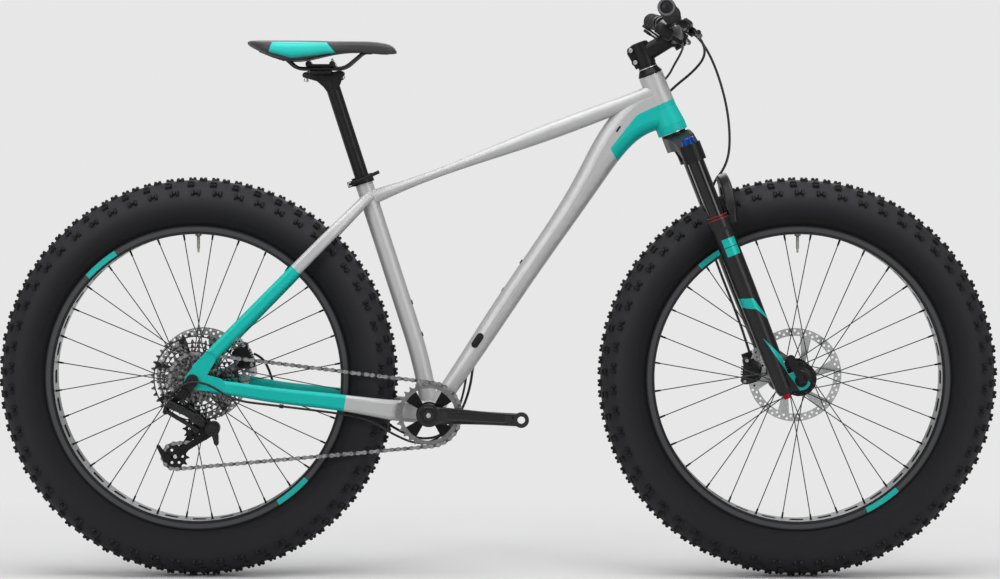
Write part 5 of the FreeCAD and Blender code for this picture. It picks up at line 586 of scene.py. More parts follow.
TYRE_CROWN = 0.3755
CROWN_ARC = 0.058
CROWN_SPAN = 62.0
KNOB_HEIGHT = 0.0055
TYRE_PITCHES = 54
TYRE_SEGMENTS = 4 * TYRE_PITCHES
BEAD_SIDE = 0.037
BEAD_TOP = 0.2902
BEAD_FOOT = 0.2775
SIDEWALL_SIDE = 0.054
CASING_WALL = 0.0032
CROWN_CENTRE = TYRE_CROWN - CROWN_ARC
SIDEWALL_RIBS = (
    # radius, height, spread
    (0.2968, 0.0009, 0.0011), (0.3085, 0.0004, 0.0008),
)
KNOB_ROOT = 0.0018
KNOB_CHAMFER = 0.0009
KNOB_TOP_SHARE = 0.80
KNOB_FOOT_SHARE = 1.06
BRIDGE_HEIGHT = 0.0036
SHOULDER_BRIDGE_HEIGHT = 0.0040
CROWN_LEAN = 10
SIDE_LEAN = 32
SHOULDER_LEAN = 54


def arc_through(start, middle, end, count):
    """Points on the circle through three (radius, side) points, without the last one."""
    (ax, ay), (bx, by), (cx, cy) = start, middle, end
    a, b, c = (x * x + y * y for x, y in (start, middle, end))
    area = 2 * (ax * (by - cy) + bx * (cy - ay) + cx * (ay - by))
    ux = (a * (by - cy) + b * (cy - ay) + c * (ay - by)) / area
    uy = (a * (cx - bx) + b * (ax - cx) + c * (bx - ax)) / area
    radius = math.hypot(ax - ux, ay - uy)
    first = math.atan2(ay - uy, ax - ux)
    last = math.atan2(cy - uy, cx - ux)
    while last - first > math.pi:
        last -= 2 * math.pi
    while last - first < -math.pi:
        last += 2 * math.pi
    spread = [first + (last - first) * step / count for step in range(count)]
    return [(ux + radius * math.cos(angle), uy + radius * math.sin(angle)) for angle in spread]


def tyre_profile():
    """Closed (radius, side) section of the casing, with a rib above the rim and a ring at the shoulder."""
    span = math.radians(CROWN_SPAN)
    shoulder = (CROWN_CENTRE + CROWN_ARC * math.cos(span), CROWN_ARC * math.sin(span))
    widest = ((BEAD_TOP + shoulder[0]) / 2, SIDEWALL_SIDE)
    wall = arc_through((BEAD_TOP, BEAD_SIDE), widest, shoulder, 34)
    ribbed = []
    for radius, side in wall:
        rib = sum(height * math.exp(-((radius - at) / spread) ** 2) for at, height, spread in SIDEWALL_RIBS)
        ribbed.append((radius, side + rib))
    crown = arc_through(shoulder, (TYRE_CROWN, 0), (shoulder[0], -shoulder[1]), 36)
    outer = [(BEAD_FOOT, BEAD_SIDE)] + ribbed + crown + [(r, -y) for r, y in reversed(ribbed + [shoulder])]
    outer += [(BEAD_FOOT, -BEAD_SIDE)]
    thin = CROWN_ARC - CASING_WALL
    inner_shoulder = (CROWN_CENTRE + thin * math.cos(span), thin * math.sin(span))
    far_shoulder = (inner_shoulder[0], -inner_shoulder[1])
    flank = [(BEAD_FOOT, BEAD_SIDE - CASING_WALL), (BEAD_TOP, BEAD_SIDE - CASING_WALL),
             (widest[0], SIDEWALL_SIDE - CASING_WALL)]
    inner = flank + arc_through(inner_shoulder, (CROWN_CENTRE + thin, 0), far_shoulder, 10)
    inner += [far_shoulder] + [(r, -y) for r, y in reversed(flank)]
    return outer + list(reversed(inner))


def knob(bm, lean, phase, length, width, height=KNOB_HEIGHT, shift=(0.0, 0.0)):
    """Tapered block with a chamfered top, standing on the crown at the wheel's top."""
    block = bmesh.ops.create_cube(bm, size=1.0)["verts"]
    for vert in block:
        top = vert.co.z > 0
        draw = KNOB_TOP_SHARE if top else KNOB_FOOT_SHARE
        vert.co = Vector((vert.co.x * length * draw + shift[0], vert.co.y * width * draw + shift[1],
                          height if top else -KNOB_ROOT))
    edges = [edge for edge in edges_of(block) if all(vert.co.z > 0 for vert in edge.verts)]
    made = bmesh.ops.bevel(bm, geom=edges, offset=KNOB_CHAMFER, segments=1, affect="EDGES", profile=0.5)
    verts = list({vert for face in made["faces"] for vert in face.verts} | {v for v in block if v.is_valid})
    tilt = math.radians(lean)
    seat = Matrix.Translation((0, CROWN_ARC * math.sin(tilt), CROWN_CENTRE + CROWN_ARC * math.cos(tilt)))
    turn = Matrix.Rotation(2 * math.pi / TYRE_PITCHES * (phase - 0.5), 4, "Y")
    bmesh.ops.transform(bm, matrix=turn @ seat @ Matrix.Rotation(-tilt, 4, "X"), verts=verts)


def tread_pitch():
    """Knobs of one pitch: split blocks on the crown and beside it, bridged bars on the shoulders."""
    bm = bmesh.new()
    for sign in (-1, 1):
        first = 0.25 if sign > 0 else 0.75
        for half in (-1, 1):
            knob(bm, sign * CROWN_LEAN, first, 0.0062, 0.013, shift=(half * 0.0040, 0))
            knob(bm, sign * SIDE_LEAN, 1 - first, 0.013, 0.0060, shift=(0, half * 0.0042))
            knob(bm, sign * SHOULDER_LEAN, 0.5, 0.0056, 0.0125, shift=(half * 0.0058, 0))
        knob(bm, sign * SHOULDER_LEAN, 0.5, 0.0070, 0.0050, SHOULDER_BRIDGE_HEIGHT)
        knob(bm, sign * CROWN_LEAN, first, 0.0040, 0.008, BRIDGE_HEIGHT)
        knob(bm, sign * SIDE_LEAN, 1 - first, 0.008, 0.004, BRIDGE_HEIGHT)
    return bm


def tyre(name, axle, body, spin):
    """Casing, and the knobs of one pitch repeated round it."""
    bm = bmesh.new()
    turned(bm, tyre_profile(), axle, SIDEWAYS, TYRE_SEGMENTS)
    casing = new_piece(name + "_casing", bm, tyre_rubber(name + "_rubber", axle), 40)
    knobs = new_piece(name + "_knobs", tread_pitch(), knob_black)
    settled(knobs, spin, {"Count": TYRE_PITCHES, "Axle": tuple(axle), "Material": knob_black})
    for piece in (casing, knobs):
        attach(piece, body)
        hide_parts(name)


# Control lines

def line_mesh(name, points, radius, material):
    """Tube on one smooth spline through a given route, and the points of its middle line."""
    curve = bpy.data.curves.new(name, "CURVE")
    curve.dimensions = "3D"
    spline = curve.splines.new("NURBS")
    spline.points.add(len(points) - 1)
    for point, place in zip(spline.points, points):
        point.co = (*(part * MM for part in place), 1)
    spline.order_u = 3
    spline.use_endpoint_u = True
    spline.resolution_u = 8
    route = bpy.data.objects.new(name + "_route", curve)
    SCENE.collection.objects.link(route)
    graph = bpy.context.evaluated_depsgraph_get()
    middle = bpy.data.meshes.new_from_object(route.evaluated_get(graph))
    path = [vert.co.copy() for vert in middle.vertices]
    curve.bevel_depth = radius
    curve.bevel_resolution = 3
    curve.use_fill_caps = True
    graph.update()
    mesh = bpy.data.meshes.new_from_object(route.evaluated_get(graph))
    bpy.data.objects.remove(route)
    mesh.name = name
    mesh.materials.clear()
    mesh.materials.append(material)
    shade(mesh, 60)
    tube = bpy.data.objects.new(name, mesh)
    SCENE.collection.objects.link(tube)
    return tube, path


def steer_point(ahead, side, along):
    """Place in the steered frame, all in millimetres."""
    return (STEER_FOOT + STEER_AHEAD * (ahead * MM) + STEER_UP * (along * MM)) / MM + Vector((0, side, 0))


SHIFT_ROUTE = [
    (342, -166, 1012), (348, -128, 1008), (343, -82, 992), (333, -38, 973), (327, 2, 958),
    (312, 34, 940), (282, 38, 915), (254, 31, 882), (229, 14, 845), (198, 4, 800), (120, 0, 683),
    (18, -4, 531), (-56, -8, 420), (-62, -10, 362), (-78, -16, 308), (-110, -26, 264), (-152, -38, 254),
    (-196, -54, 274), (-243, -73, 305), (-296, -80, 316.5), (-372, -86, 326.5), (-442, -93, 335.5),
    (-480, -103, 341), (-508, -115, 352), (-530, -119, 368), (-550, -121, 377), (-572, -121.5, 379.5),
    (-592, -121.5, 373), (-606, -121.5, 359),
]
REAR_HOSE_ROUTE = [
    (352, -150, 1040), (366, -108, 1036), (388, -60, 1016), (394, -14, 990), (372, 24, 962), (338, 42, 935),
    (304, 45, 900), (270, 36, 860), (240, 16, 824), (196, 13, 764), (130, 12, 672), (52, 10, 562),
    (-46, 10, 418), (-52, 12, 360), (-72, 17, 307), (-106, 26, 265), (-150, 37, 257), (-196, 53, 275),
    (-243, 73, 306), (-296, 80, 317.5), (-352, 84, 324), (-396, 90, 326), (-424, 102, 334),
    (-437, 109, 360), (-446, 106, 390), (-458, 98, 412), (-473, 91, 419),
]
FRONT_HOSE_ROUTE = [
    (90, 150, 694), (108, 122, 690), (122, 104, 656), (126, 93, 600), (118, 84, 524), (97, 77, 456),
    (72, 69, 420), (36, 66, 400), (10, 64.5, 350), (-8, 69, 300), (-10, 77, 240), (-9.5, 79, 160),
    (-11, 75, 104), (-14, 70, 70),
]


def control_line(name, route, radius):
    """Hose or cable along its route, as one fixed tube."""
    tube, path = line_mesh(name + "_jacket", route, radius, hose_black)
    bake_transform(tube)
    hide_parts(name)


# Saddle

SADDLE_TOP = 1.022
SADDLE_TAIL = -0.4744
SADDLE_STATIONS = (
    # forward from the tail, half width, top below the saddle's top, edge below it, crown rise, in millimetres
    (0, 16, 2.5, 9, 1), (6, 34, 0.8, 13, 2), (24, 58, 0, 22, 4), (50, 69, 0, 32, 6), (82, 70, 0.2, 38, 8),
    (118, 60, 0.5, 35, 8), (158, 40, 1, 27, 7), (200, 27, 1.2, 23, 6), (240, 22, 3, 25, 6),
    (266, 19, 7.5, 26.5, 5), (278, 13, 14, 26, 3), (282, 6, 20, 25, 1),
)
FLANK_SHARE = 0.62
END_CROWDING = 0.35
PANEL_CORNERS = ((-0.4246, 1.0186), (-0.3242, 1.0182), (-0.3059, 0.9962), (-0.3878, 0.9862), (-0.4318, 0.9982))
PANEL_INSET = 0.50
PANEL_RISE = 0.0014
PANEL_EASE = 0.006
SEAM_DEPTH = 0.0011
SEAM_SPREAD = 0.0013
CHANNEL_DEPTH = 0.0022
CHANNEL_SPREAD = 0.007
CHANNEL_BACK = -0.45
CHANNEL_FRONT = -0.25


def clamp(value):
    return max(0.0, min(1.0, value))


def smooth_table(rows, at):
    """Row of a table at a place between its first values, by a cubic that doesn't overshoot."""
    index = max(0, min(len(rows) - 2, sum(row[0] <= at for row in rows) - 1))
    low, high = rows[index], rows[index + 1]
    run = high[0] - low[0]
    t = (at - low[0]) / run

    def slope(k, column):
        before, after = rows[max(0, k - 1)], rows[min(len(rows) - 1, k + 1)]
        here = rows[k][column]
        if (before[column] - here) * (here - after[column]) <= 0:
            return 0.0
        return (after[column] - before[column]) / (after[0] - before[0])

    row = []
    for column in range(1, len(low)):
        leave, land = slope(index, column) * run, slope(index + 1, column) * run
        row.append((2 * t ** 3 - 3 * t * t + 1) * low[column] + (t ** 3 - 2 * t * t + t) * leave
                   + (3 * t * t - 2 * t ** 3) * high[column] + (t ** 3 - t * t) * land)
    return row


def saddle_section(half, top, edge, crown, count):
    """Points from the keel of the underside up the right flank to the middle of the top, as (side, height)."""
    z_top, z_edge = -top, -edge
    shoulder = z_edge + (z_top - crown - z_edge) * FLANK_SHARE
    rim_up = z_top - crown * 0.55
    upper = shoulder + (rim_up - shoulder) * FLANK_SHARE
    keys = [(0, z_edge + 2), (0.45, z_edge + 1.5), (0.80, z_edge), (0.93, z_edge + (shoulder - z_edge) * 0.22),
            (0.99, (shoulder + z_edge) / 2), (1.0, shoulder), (0.94, upper), (0.72, rim_up),
            (0.40, z_top - crown * 0.16), (0, z_top)]
    points = []
    for step in range(count + 1):
        at = step / count * (len(keys) - 1)
        index = min(int(at), len(keys) - 2)
        share = at - index
        quad = [keys[max(0, min(len(keys) - 1, index + k))] for k in (-1, 0, 1, 2)]
        if index == 0:
            quad[0] = (-quad[2][0], quad[2][1])
        if index == len(keys) - 2:
            quad[3] = (-quad[1][0], quad[1][1])
        value = []
        for k in (0, 1):
            a, b, c, d = (q[k] for q in quad)
            value.append(0.5 * (2 * b + (c - a) * share + (2 * a - 5 * b + 4 * c - d) * share ** 2
                                + (3 * b - a - 3 * c + d) * share ** 3))
        points.append((value[0] * half, value[1]))
    return points


def panel_depth(x, z):
    """Distance inside the flank panel's outline, negative outside."""
    inside = math.inf
    count = len(PANEL_CORNERS)
    for index in range(count):
        (x0, z0), (x1, z1) = PANEL_CORNERS[index], PANEL_CORNERS[(index + 1) % count]
        run = math.hypot(x1 - x0, z1 - z0)
        inside = min(inside, ((z - z0) * (x1 - x0) - (x - x0) * (z1 - z0)) / run * -1)
    return inside


def saddle_pad():
    """Crowned pad with raised flank panels, a welt round them and a shallow channel down the middle."""
    flank_steps, length_steps = 56, 130
    bm = bmesh.new()
    rows = []
    for step in range(length_steps + 1):
        share = step / length_steps
        at = SADDLE_STATIONS[-1][0] * (share - math.sin(2 * math.pi * share) / (2 * math.pi) * END_CROWDING)
        half, top, edge, crown = smooth_table(SADDLE_STATIONS, at)
        ring = saddle_section(half, top, edge, crown, flank_steps)
        points = [(-y, z) for y, z in ring] + [(y, z) for y, z in reversed(ring[1:-1])]
        rows.append([bm.verts.new((SADDLE_TAIL + at * MM, y * MM, SADDLE_TOP + z * MM)) for y, z in points])
    count = len(rows[0])
    for low, high in zip(rows, rows[1:]):
        for index in range(count):
            after = (index + 1) % count
            bm.faces.new((low[index], low[after], high[after], high[index]))
    bm.faces.new(rows[0])
    bm.faces.new(list(reversed(rows[-1])))
    bmesh.ops.recalc_face_normals(bm, faces=bm.faces)
    bm.normal_update()
    layer = bm.verts.layers.float.new("panel")
    moves = []
    for vert in bm.verts:
        x, y, z = vert.co
        half = smooth_table(SADDLE_STATIONS, (x - SADDLE_TAIL) / MM)[0] * MM
        depth = min(panel_depth(x, z), abs(y) - PANEL_INSET * half)
        vert[layer] = depth
        rise = PANEL_RISE * clamp(depth / PANEL_EASE) ** 0.6
        seam = -SEAM_DEPTH * math.exp(-(depth / SEAM_SPREAD) ** 2)
        channel = -CHANNEL_DEPTH * math.exp(-(y / CHANNEL_SPREAD) ** 2)
        channel *= clamp((x - CHANNEL_BACK) / 0.05) * clamp((CHANNEL_FRONT - x) / 0.04)
        move = rise + seam + (channel if vert.normal.z > 0.5 else 0.0)
        moves.append((vert, vert.normal.copy() * move))
    for vert, by in moves:
        vert.co += by
    pad = new_piece("saddle_cover", bm, saddle_cover("saddle_cover"), 60)
    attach(pad, "seat")
    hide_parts("saddle_pad")


# Fittings

def fresh(bm, before):
    """Points that were added since a set of them was taken."""
    return [vert for vert in bm.verts if vert not in before]


def plate(bm, outline, low, high, place=Matrix(), soft=0.6, segments=2):
    """Plate of an (x, z) outline between two places along its Y, in millimetres, with eased edges."""
    before = set(bm.verts)
    lower = [bm.verts.new((x * MM, low * MM, z * MM)) for x, z in outline]
    upper = [bm.verts.new((x * MM, high * MM, z * MM)) for x, z in outline]
    bm.faces.new(lower)
    bm.faces.new(list(reversed(upper)))
    for index in range(len(outline)):
        after = (index + 1) % len(outline)
        bm.faces.new((lower[after], lower[index], upper[index], upper[after]))
    if soft:
        bmesh.ops.bevel(bm, geom=edges_of(lower + upper), offset=soft * MM, segments=segments, affect="EDGES",
                        profile=0.5, clamp_overlap=True)
    bmesh.ops.transform(bm, matrix=place, verts=fresh(bm, before))


def slab(bm, low, high, place=Matrix(), soft=1.0):
    """Block between two corners with eased edges."""
    outline = ((low[0], low[2]), (high[0], low[2]), (high[0], high[2]), (low[0], high[2]))
    plate(bm, outline, low[1], high[1], place, soft, 3)


def ribbon(points, halves, cap=6):
    """Outline round a bent strip with round ends."""
    spots = [Vector(point) for point in points]
    left, right = [], []
    for index, spot in enumerate(spots):
        ahead = spots[min(index + 1, len(spots) - 1)] - spots[max(index - 1, 0)]
        across = Vector((-ahead.y, ahead.x)).normalized() * halves[index]
        left.append(spot + across)
        right.append(spot - across)

    def round_end(spot, half, along, start):
        angle = math.atan2(along.y, along.x) + start
        turns = [angle - math.pi * step / cap for step in range(1, cap)]
        return [spot + half * Vector((math.cos(turn), math.sin(turn))) for turn in turns]

    far = round_end(spots[-1], halves[-1], spots[-1] - spots[-2], math.pi / 2)
    near = round_end(spots[0], halves[0], spots[1] - spots[0], -math.pi / 2)
    return [tuple(spot) for spot in left + far + list(reversed(right)) + near]


def spun(bm, profile, centre, axis, segments=32):
    """Turned piece of (radius, along) points in millimetres."""
    before = set(bm.verts)
    turned(bm, [(radius * MM, along * MM) for radius, along in profile], Vector(centre), axis, segments)
    bmesh.ops.remove_doubles(bm, verts=fresh(bm, before), dist=1e-7)


def rod(bm, start, end, radius, segments=20):
    """Round bar between two points in metres, its radius in millimetres."""
    run = (Vector(end) - Vector(start)).length / MM
    ease = min(0.5, radius * 0.3)
    profile = ((0, 0), (radius - ease, 0), (radius, ease), (radius, run - ease), (radius - ease, run), (0, run))
    spun(bm, profile, start, (Vector(end) - Vector(start)).normalized(), segments)


def screw_head(bm, seat, axis, radius, height):
    """Round screw head with a key socket."""
    key, bottom, ease = radius * 0.52, height * 0.35, 0.6
    profile = ((0, -1), (radius, -1), (radius, height - ease), (radius - ease, height), (key, height),
               (key * 0.9, bottom), (0, bottom))
    spun(bm, profile, seat, axis, 24)


FITTING_SHARP = 32


def fitting(name, bm, material, body, slot, *nodes):
    """Rigid piece on a body, which may stand for CAD nodes."""
    piece = new_piece(name, bm, material, FITTING_SHARP)
    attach(piece, body)
    if nodes:
        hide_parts(*nodes)


def upright(centre, out):
    """Placement whose X runs along a heading in the XZ plane and whose Y stays sideways."""
    out = Vector(out).normalized()
    turn = Matrix((out, (0, 1, 0), (-out.z, 0, out.x))).transposed()
    return Matrix.Translation(centre) @ turn.to_4x4()


# Chain and cogs

CHAIN_LINKS = 116
CHAIN_PITCH = 12.7
CHAIN_SIDE = -71.0
LINK_END = 4.1
LINK_WAIST = 2.3
RING_TEETH = 30
PULLEY_TEETH = 12
GUIDE = Vector((-0.569, 0, 0.287))
TENSION = Vector((-0.60918, 0, 0.23464))
CAGE_PIVOT = Vector((-0.536, 0, 0.290))
COGS = (42, 36, 32, 28, 24, 21, 18, 16, 14, 12, 10)
COG_IN_USE = 24
COG_STEP = 3.9
COG_HALF = 0.8
COG_BORE = 13.9
TOOTH_ROOT = 3.9
TOOTH_TIP = 2.2
SPIDER_BORE = 32
SPIDER_BAND = 5
SPIDER_ARMS = 7
SPIDER_SKEW = 0.10
ARM_SHARE = 0.17
OPEN_RIM = 6.2


def pitch_radius(teeth):
    return CHAIN_PITCH / 2 / math.sin(math.pi / teeth) * MM


def chain_places():
    """Middle and heading of every link, evenly along the runs and wraps round the four sprockets."""
    steps = 200
    sprockets = ((CRANK_AXIS, RING_TEETH, 1), (REAR_AXLE, COG_IN_USE, 1), (GUIDE, PULLEY_TEETH, -1),
                 (TENSION, PULLEY_TEETH, 1))
    wheels = [(Vector((centre.x, centre.z)), pitch_radius(teeth), sense) for centre, teeth, sense in sprockets]
    contacts = []
    for (c0, r0, s0), (c1, r1, s1) in zip(wheels, wheels[1:] + wheels[:1]):
        run = c1 - c0
        heading = math.atan2(run.y, run.x) + math.asin((s0 * r0 - s1 * r1) / run.length)
        out = Vector((math.sin(heading), -math.cos(heading)))
        contacts.append((c0 + out * s0 * r0, c1 + out * s1 * r1))
    line = []
    for index, (leave, land) in enumerate(contacts):
        line += [leave.lerp(land, step / steps) for step in range(steps)]
        after = (index + 1) % len(wheels)
        centre, radius, sense = wheels[after]
        depart = contacts[after][0]
        first = math.atan2(land.y - centre.y, land.x - centre.x)
        last = math.atan2(depart.y - centre.y, depart.x - centre.x)
        sweep = (last - first) * sense % (2 * math.pi)
        for step in range(steps):
            angle = first + sense * sweep * step / steps
            line.append(centre + radius * Vector((math.cos(angle), math.sin(angle))))
    runs = [(b - a).length for a, b in zip(line, line[1:] + line[:1])]
    total = sum(runs)
    ends, done, index = [], 0.0, 0
    for link in range(CHAIN_LINKS):
        goal = total * link / CHAIN_LINKS
        while done + runs[index] < goal:
            done += runs[index]
            index += 1
        ends.append(line[index].lerp(line[(index + 1) % len(line)], (goal - done) / runs[index]))
    return [((a + b) / 2, math.atan2(b.y - a.y, b.x - a.x)) for a, b in zip(ends, ends[1:] + ends[:1])]


def link_mesh(inner_face, outer_face, pin, reach):
    """Two waisted plates and their pins or rollers, about the link's middle."""
    bm = bmesh.new()
    half = CHAIN_PITCH / 2
    outline = []
    for side in (1, -1):
        for step in range(7):
            angle = math.radians(-120 + 40 * step) + (0 if side > 0 else math.pi)
            outline.append((side * half + LINK_END * math.cos(angle), LINK_END * math.sin(angle)))
        outline.append((0, side * LINK_WAIST))
    for sign in (-1, 1):
        plate(bm, outline, *sorted((sign * inner_face, sign * outer_face)), soft=0)
    for side in (-half, half):
        ring = [(side + pin * math.cos(k * math.pi / 4), pin * math.sin(k * math.pi / 4)) for k in range(8)]
        plate(bm, ring, -reach, reach, soft=0)
    return bm


def link_tree():
    """Geometry nodes that set a copy of an object on every point, turned by the point's own turn."""
    tree, given = geometry_tree("copies_on_points", Link="Object", Material="Material")
    new, link = tree.nodes.new, tree.links.new
    shape, turn = new("GeometryNodeObjectInfo"), new("GeometryNodeInputNamedAttribute")
    copies = new("GeometryNodeInstanceOnPoints")
    turn.data_type = "FLOAT_VECTOR"
    turn.inputs["Name"].default_value = "turn"
    link(given.outputs["Geometry"], copies.inputs["Points"])
    link(given.outputs["Link"], shape.inputs["Object"])
    link(shape.outputs["Geometry"], copies.inputs["Instance"])
    link(turn.outputs["Attribute"], copies.inputs["Rotation"])
    return end_painted(tree, given, copies.outputs[0])


def chain():
    """Outer and inner links on their places, the inner links in a darker copy of the steel as painted shade.
    Returns the turn of the cog in use that meets them.
    """
    places = chain_places()
    tree = link_tree()
    kinds = (
        # piece, inner face, outer face, radius and reach of the pins or rollers, steel
        ("chain_outer_links", 1.85, 2.65, 1.8, 3.0, chain_bright),
        ("chain_inner_links", 1.0, 1.8, 3.85, 1.0, chain_dark),
    )
    for start, (name, *sizes, steel) in enumerate(kinds):
        model = new_piece(name + "_one", link_mesh(*sizes), steel, 30)
        bm = bmesh.new()
        layer = bm.verts.layers.float_vector.new("turn")
        for middle, heading in places[1 - start::2]:
            bm.verts.new((middle.x, CHAIN_SIDE * MM, middle.y))[layer] = (0, -heading, 0)
        piece = new_piece(name, bm, steel)
        settled(piece, tree, {"Link": model, "Material": steel})
        bpy.data.objects.remove(model)
        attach(piece, "frame")
        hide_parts("chain")
    axle, wrap_radius = Vector((REAR_AXLE.x, REAR_AXLE.z)), pitch_radius(COG_IN_USE) + 0.001
    wrap = [middle for middle, _ in places if (middle - axle).length < wrap_radius]
    rearmost = min(wrap, key=lambda spot: spot.x)
    return math.atan2(rearmost.y - REAR_AXLE.z, rearmost.x - REAR_AXLE.x) + math.pi / COG_IN_USE


def cog(bm, wear, teeth, side, phase, bore, ring=None, skew=0.0):
    """Toothed disc, open between its arms where a ring is given. Tooth tips are marked as worn, which also
    paints a glint on them.
    """
    pitch = pitch_radius(teeth) / MM
    root, tip = pitch - TOOTH_ROOT, pitch + TOOTH_TIP
    columns = []
    for tooth in range(teeth):
        for share, radius in ((0.20, root), (0.41, tip), (0.59, tip), (0.80, root)):
            columns.append((phase + 2 * math.pi * (tooth + share) / teeth, radius))
    levels = [(bore, skew)] + ([(bore + SPIDER_BAND, skew), (ring, 0.0)] if ring else []) + [(None, 0.0)]
    count, grid = len(columns), []
    for angle, outer in columns:
        column = []
        for radius, lag in levels:
            far = outer if radius is None else radius
            spot = Vector((math.cos(angle - lag) * far * MM, 0, math.sin(angle - lag) * far * MM)) + REAR_AXLE
            pair = [bm.verts.new(spot + SIDEWAYS * ((side + face) * MM)) for face in (-COG_HALF, COG_HALF)]
            # Tips are marked brightest: wear, and partly a painted glint.
            rubbed = 1.0 if outer == tip else 0.45
            for vert in pair:
                vert[wear] = rubbed if radius is None else 0.0
            column.append(pair)
        grid.append(column)
    used = {}
    for index in range(count):
        here, there = grid[index], grid[(index + 1) % count]
        for level in range(len(levels) - 1):
            if ring and level == 1 and (index * SPIDER_ARMS / count) % 1 > ARM_SHARE:
                continue
            corners = (here[level], there[level], there[level + 1], here[level + 1])
            for face in (0, 1):
                bm.faces.new([corner[face] for corner in corners])
            for a, b in zip(corners, corners[1:] + corners[:1]):
                key = frozenset((id(a), id(b)))
                used[key] = None if key in used else (a, b)
    for edge in used.values():
        if edge:
            (a, c), (b, d) = edge
            bm.faces.new((a, b, d, c))
    bmesh.ops.delete(bm, geom=[vert for vert in bm.verts if not vert.link_faces], context="VERTS")


def cassette(phase):
    """Eleven cogs: the four largest open on thin arms, the rest solid, with a lock ring."""
    bm = bmesh.new()
    wear = bm.verts.layers.float.new("wear")
    for place, teeth in enumerate(COGS):
        side = CHAIN_SIDE + (COGS.index(COG_IN_USE) - place) * COG_STEP
        turn = phase if teeth == COG_IN_USE else 0.0
        if teeth > COG_IN_USE:
            ring = pitch_radius(teeth) / MM - OPEN_RIM
            cog(bm, wear, teeth, side, turn, SPIDER_BORE, ring, SPIDER_SKEW)
        else:
            cog(bm, wear, teeth, side, turn, COG_BORE)
    spacer = ((13.6, 0), (17.2, 0), (17.2, 2.0), (13.6, 2.0))
    for side in range(-94, -54, 4):
        spun(bm, spacer, REAR_AXLE + SIDEWAYS * ((side + 0.4) * MM), SIDEWAYS, 40)
    lock_ring = ((9.5, -1.6), (14, -1.6), (15, -0.8), (15, 1.5), (9.5, 1.5))
    spun(bm, lock_ring, REAR_AXLE + SIDEWAYS * -0.0958, SIDEWAYS, 36)
    fitting("cassette_cogs", bm, cog_finish("cog_finish"), "cassette", "steel", "cassette")


# Brake calipers

CALIPER_SIDE = ((97.5, 7), (101, 13), (102.5, 21), (98, 26), (90, 25.5), (78, 21), (68, 17), (64.5, 10))
CALIPER_OUTLINE = tuple((x, -z) for x, z in reversed(CALIPER_SIDE)) + CALIPER_SIDE
CALIPER_INNER = 3.6
CALIPER_RIGHT = -12.2
CALIPER_LEFT = 13.2
PISTON_PLACE = 80
PISTON_CAP = ((0, -2), (11.5, -2), (11.5, 0.6), (10.2, 1.6), (8.6, 1.6), (8.2, 0.7), (5.6, 0.7), (5.2, 1.5),
              (0, 1.5))
BOLT_PROUD = 0.25


def caliper(name, node, body, centre, out, bracket, bracket_low, bracket_high, holes):
    """Two piston halves bolted across the disc, pads with fins, and the pale bracket that carries it."""
    place = upright(centre, out)
    bm = bmesh.new()
    for low, high in ((CALIPER_RIGHT, -CALIPER_INNER), (CALIPER_INNER, CALIPER_LEFT)):
        plate(bm, CALIPER_OUTLINE, low, high, place, 1.8, 3)
    for low, high in ((-21, -12), (12, 21)):
        slab(bm, (92.6, -5, low), (99.5, 5, high), place, 1.2)
    for face, sign in ((CALIPER_RIGHT, -1), (CALIPER_LEFT, 1)):
        spun(bm, PISTON_CAP, place @ Vector((PISTON_PLACE * MM, face * MM, 0)), SIDEWAYS * sign, 40)
    for z in (-7.5, -2.5, 2.5, 7.5):
        slab(bm, (92, -6.5, z - 1.1), (103.5, 6.5, z + 1.1), place, 0.5)
    fitting(name + "_body", bm, caliper_black, body, "black_metal", node)
    bm = bmesh.new()
    for z in (-20.5, 20.5):
        screw_head(bm, place @ Vector((0.0945, -0.0120, z * MM)), OUT_RIGHT, 3.6, 2.6)
    for z in (-9.5, 9.5):
        rod(bm, place @ Vector((0.0985, -0.009, z * MM)), place @ Vector((0.0985, 0.010, z * MM)), 1.3, 12)
    plate(bm, bracket, bracket_low, bracket_high, Matrix.Translation(centre), 0.7)
    fitting(name + "_bracket", bm, bare_alloy, body, "steel", node)
    bm = bmesh.new()
    for x, z, radius in holes:
        ends = (bracket_low - BOLT_PROUD, bracket_high + BOLT_PROUD)
        rod(bm, *(centre + Vector((x, y, z)) * MM for y in ends), radius, 18)
    for low, high in ((-3.0, -1.3), (1.3, 3.0)):
        slab(bm, (70, low, -12), (89, high, 12), place, 0.4)
    fitting(name + "_pads_and_bolts", bm, deep_black, body, "black_metal", node)


# Derailleur

LINK_HEADING = Vector((0.8175, 0.2336, -0.5255)).normalized()
LINK_SWING = Vector((-0.56, 0.42, -0.72))
LINK_SWING = (LINK_SWING - LINK_HEADING * LINK_SWING.dot(LINK_HEADING)).normalized()
UPPER_PIN = Vector((-0.613, -0.124, 0.336))
LINK_LENGTH = 68
LINK_OUTLINE = ((-8, -3), (-5, -8), (6, -11.5), (26, -13.5), (50, -13.5), (68, -9), (75, -4), (75, 3), (70, 6),
                (58, 2.5), (34, 0.5), (14, 2), (3, 6), (-5, 5.5), (-8, 2))
LINK_RIDGE = ((6, -8.5), (26, -10.5), (48, -10.5), (62, -7), (54, -2.5), (32, -3), (14, -2))
KNUCKLE_CAP = ((0, -3), (14.5, -3), (14.5, 0), (13.2, 1.4), (10.5, 1.6), (10.0, 0.5), (7.6, 0.5), (7.2, 1.8),
               (0, 1.8))
CAGE_INNER = 4.6
CAGE_OUTER = 6.2
PIVOT_SPOT = (-536, 290)
GUIDE_SPOT = (-569, 287)
TENSION_SPOT = (-609.2, 234.6)
STOP_SPOT = (-529, 262)


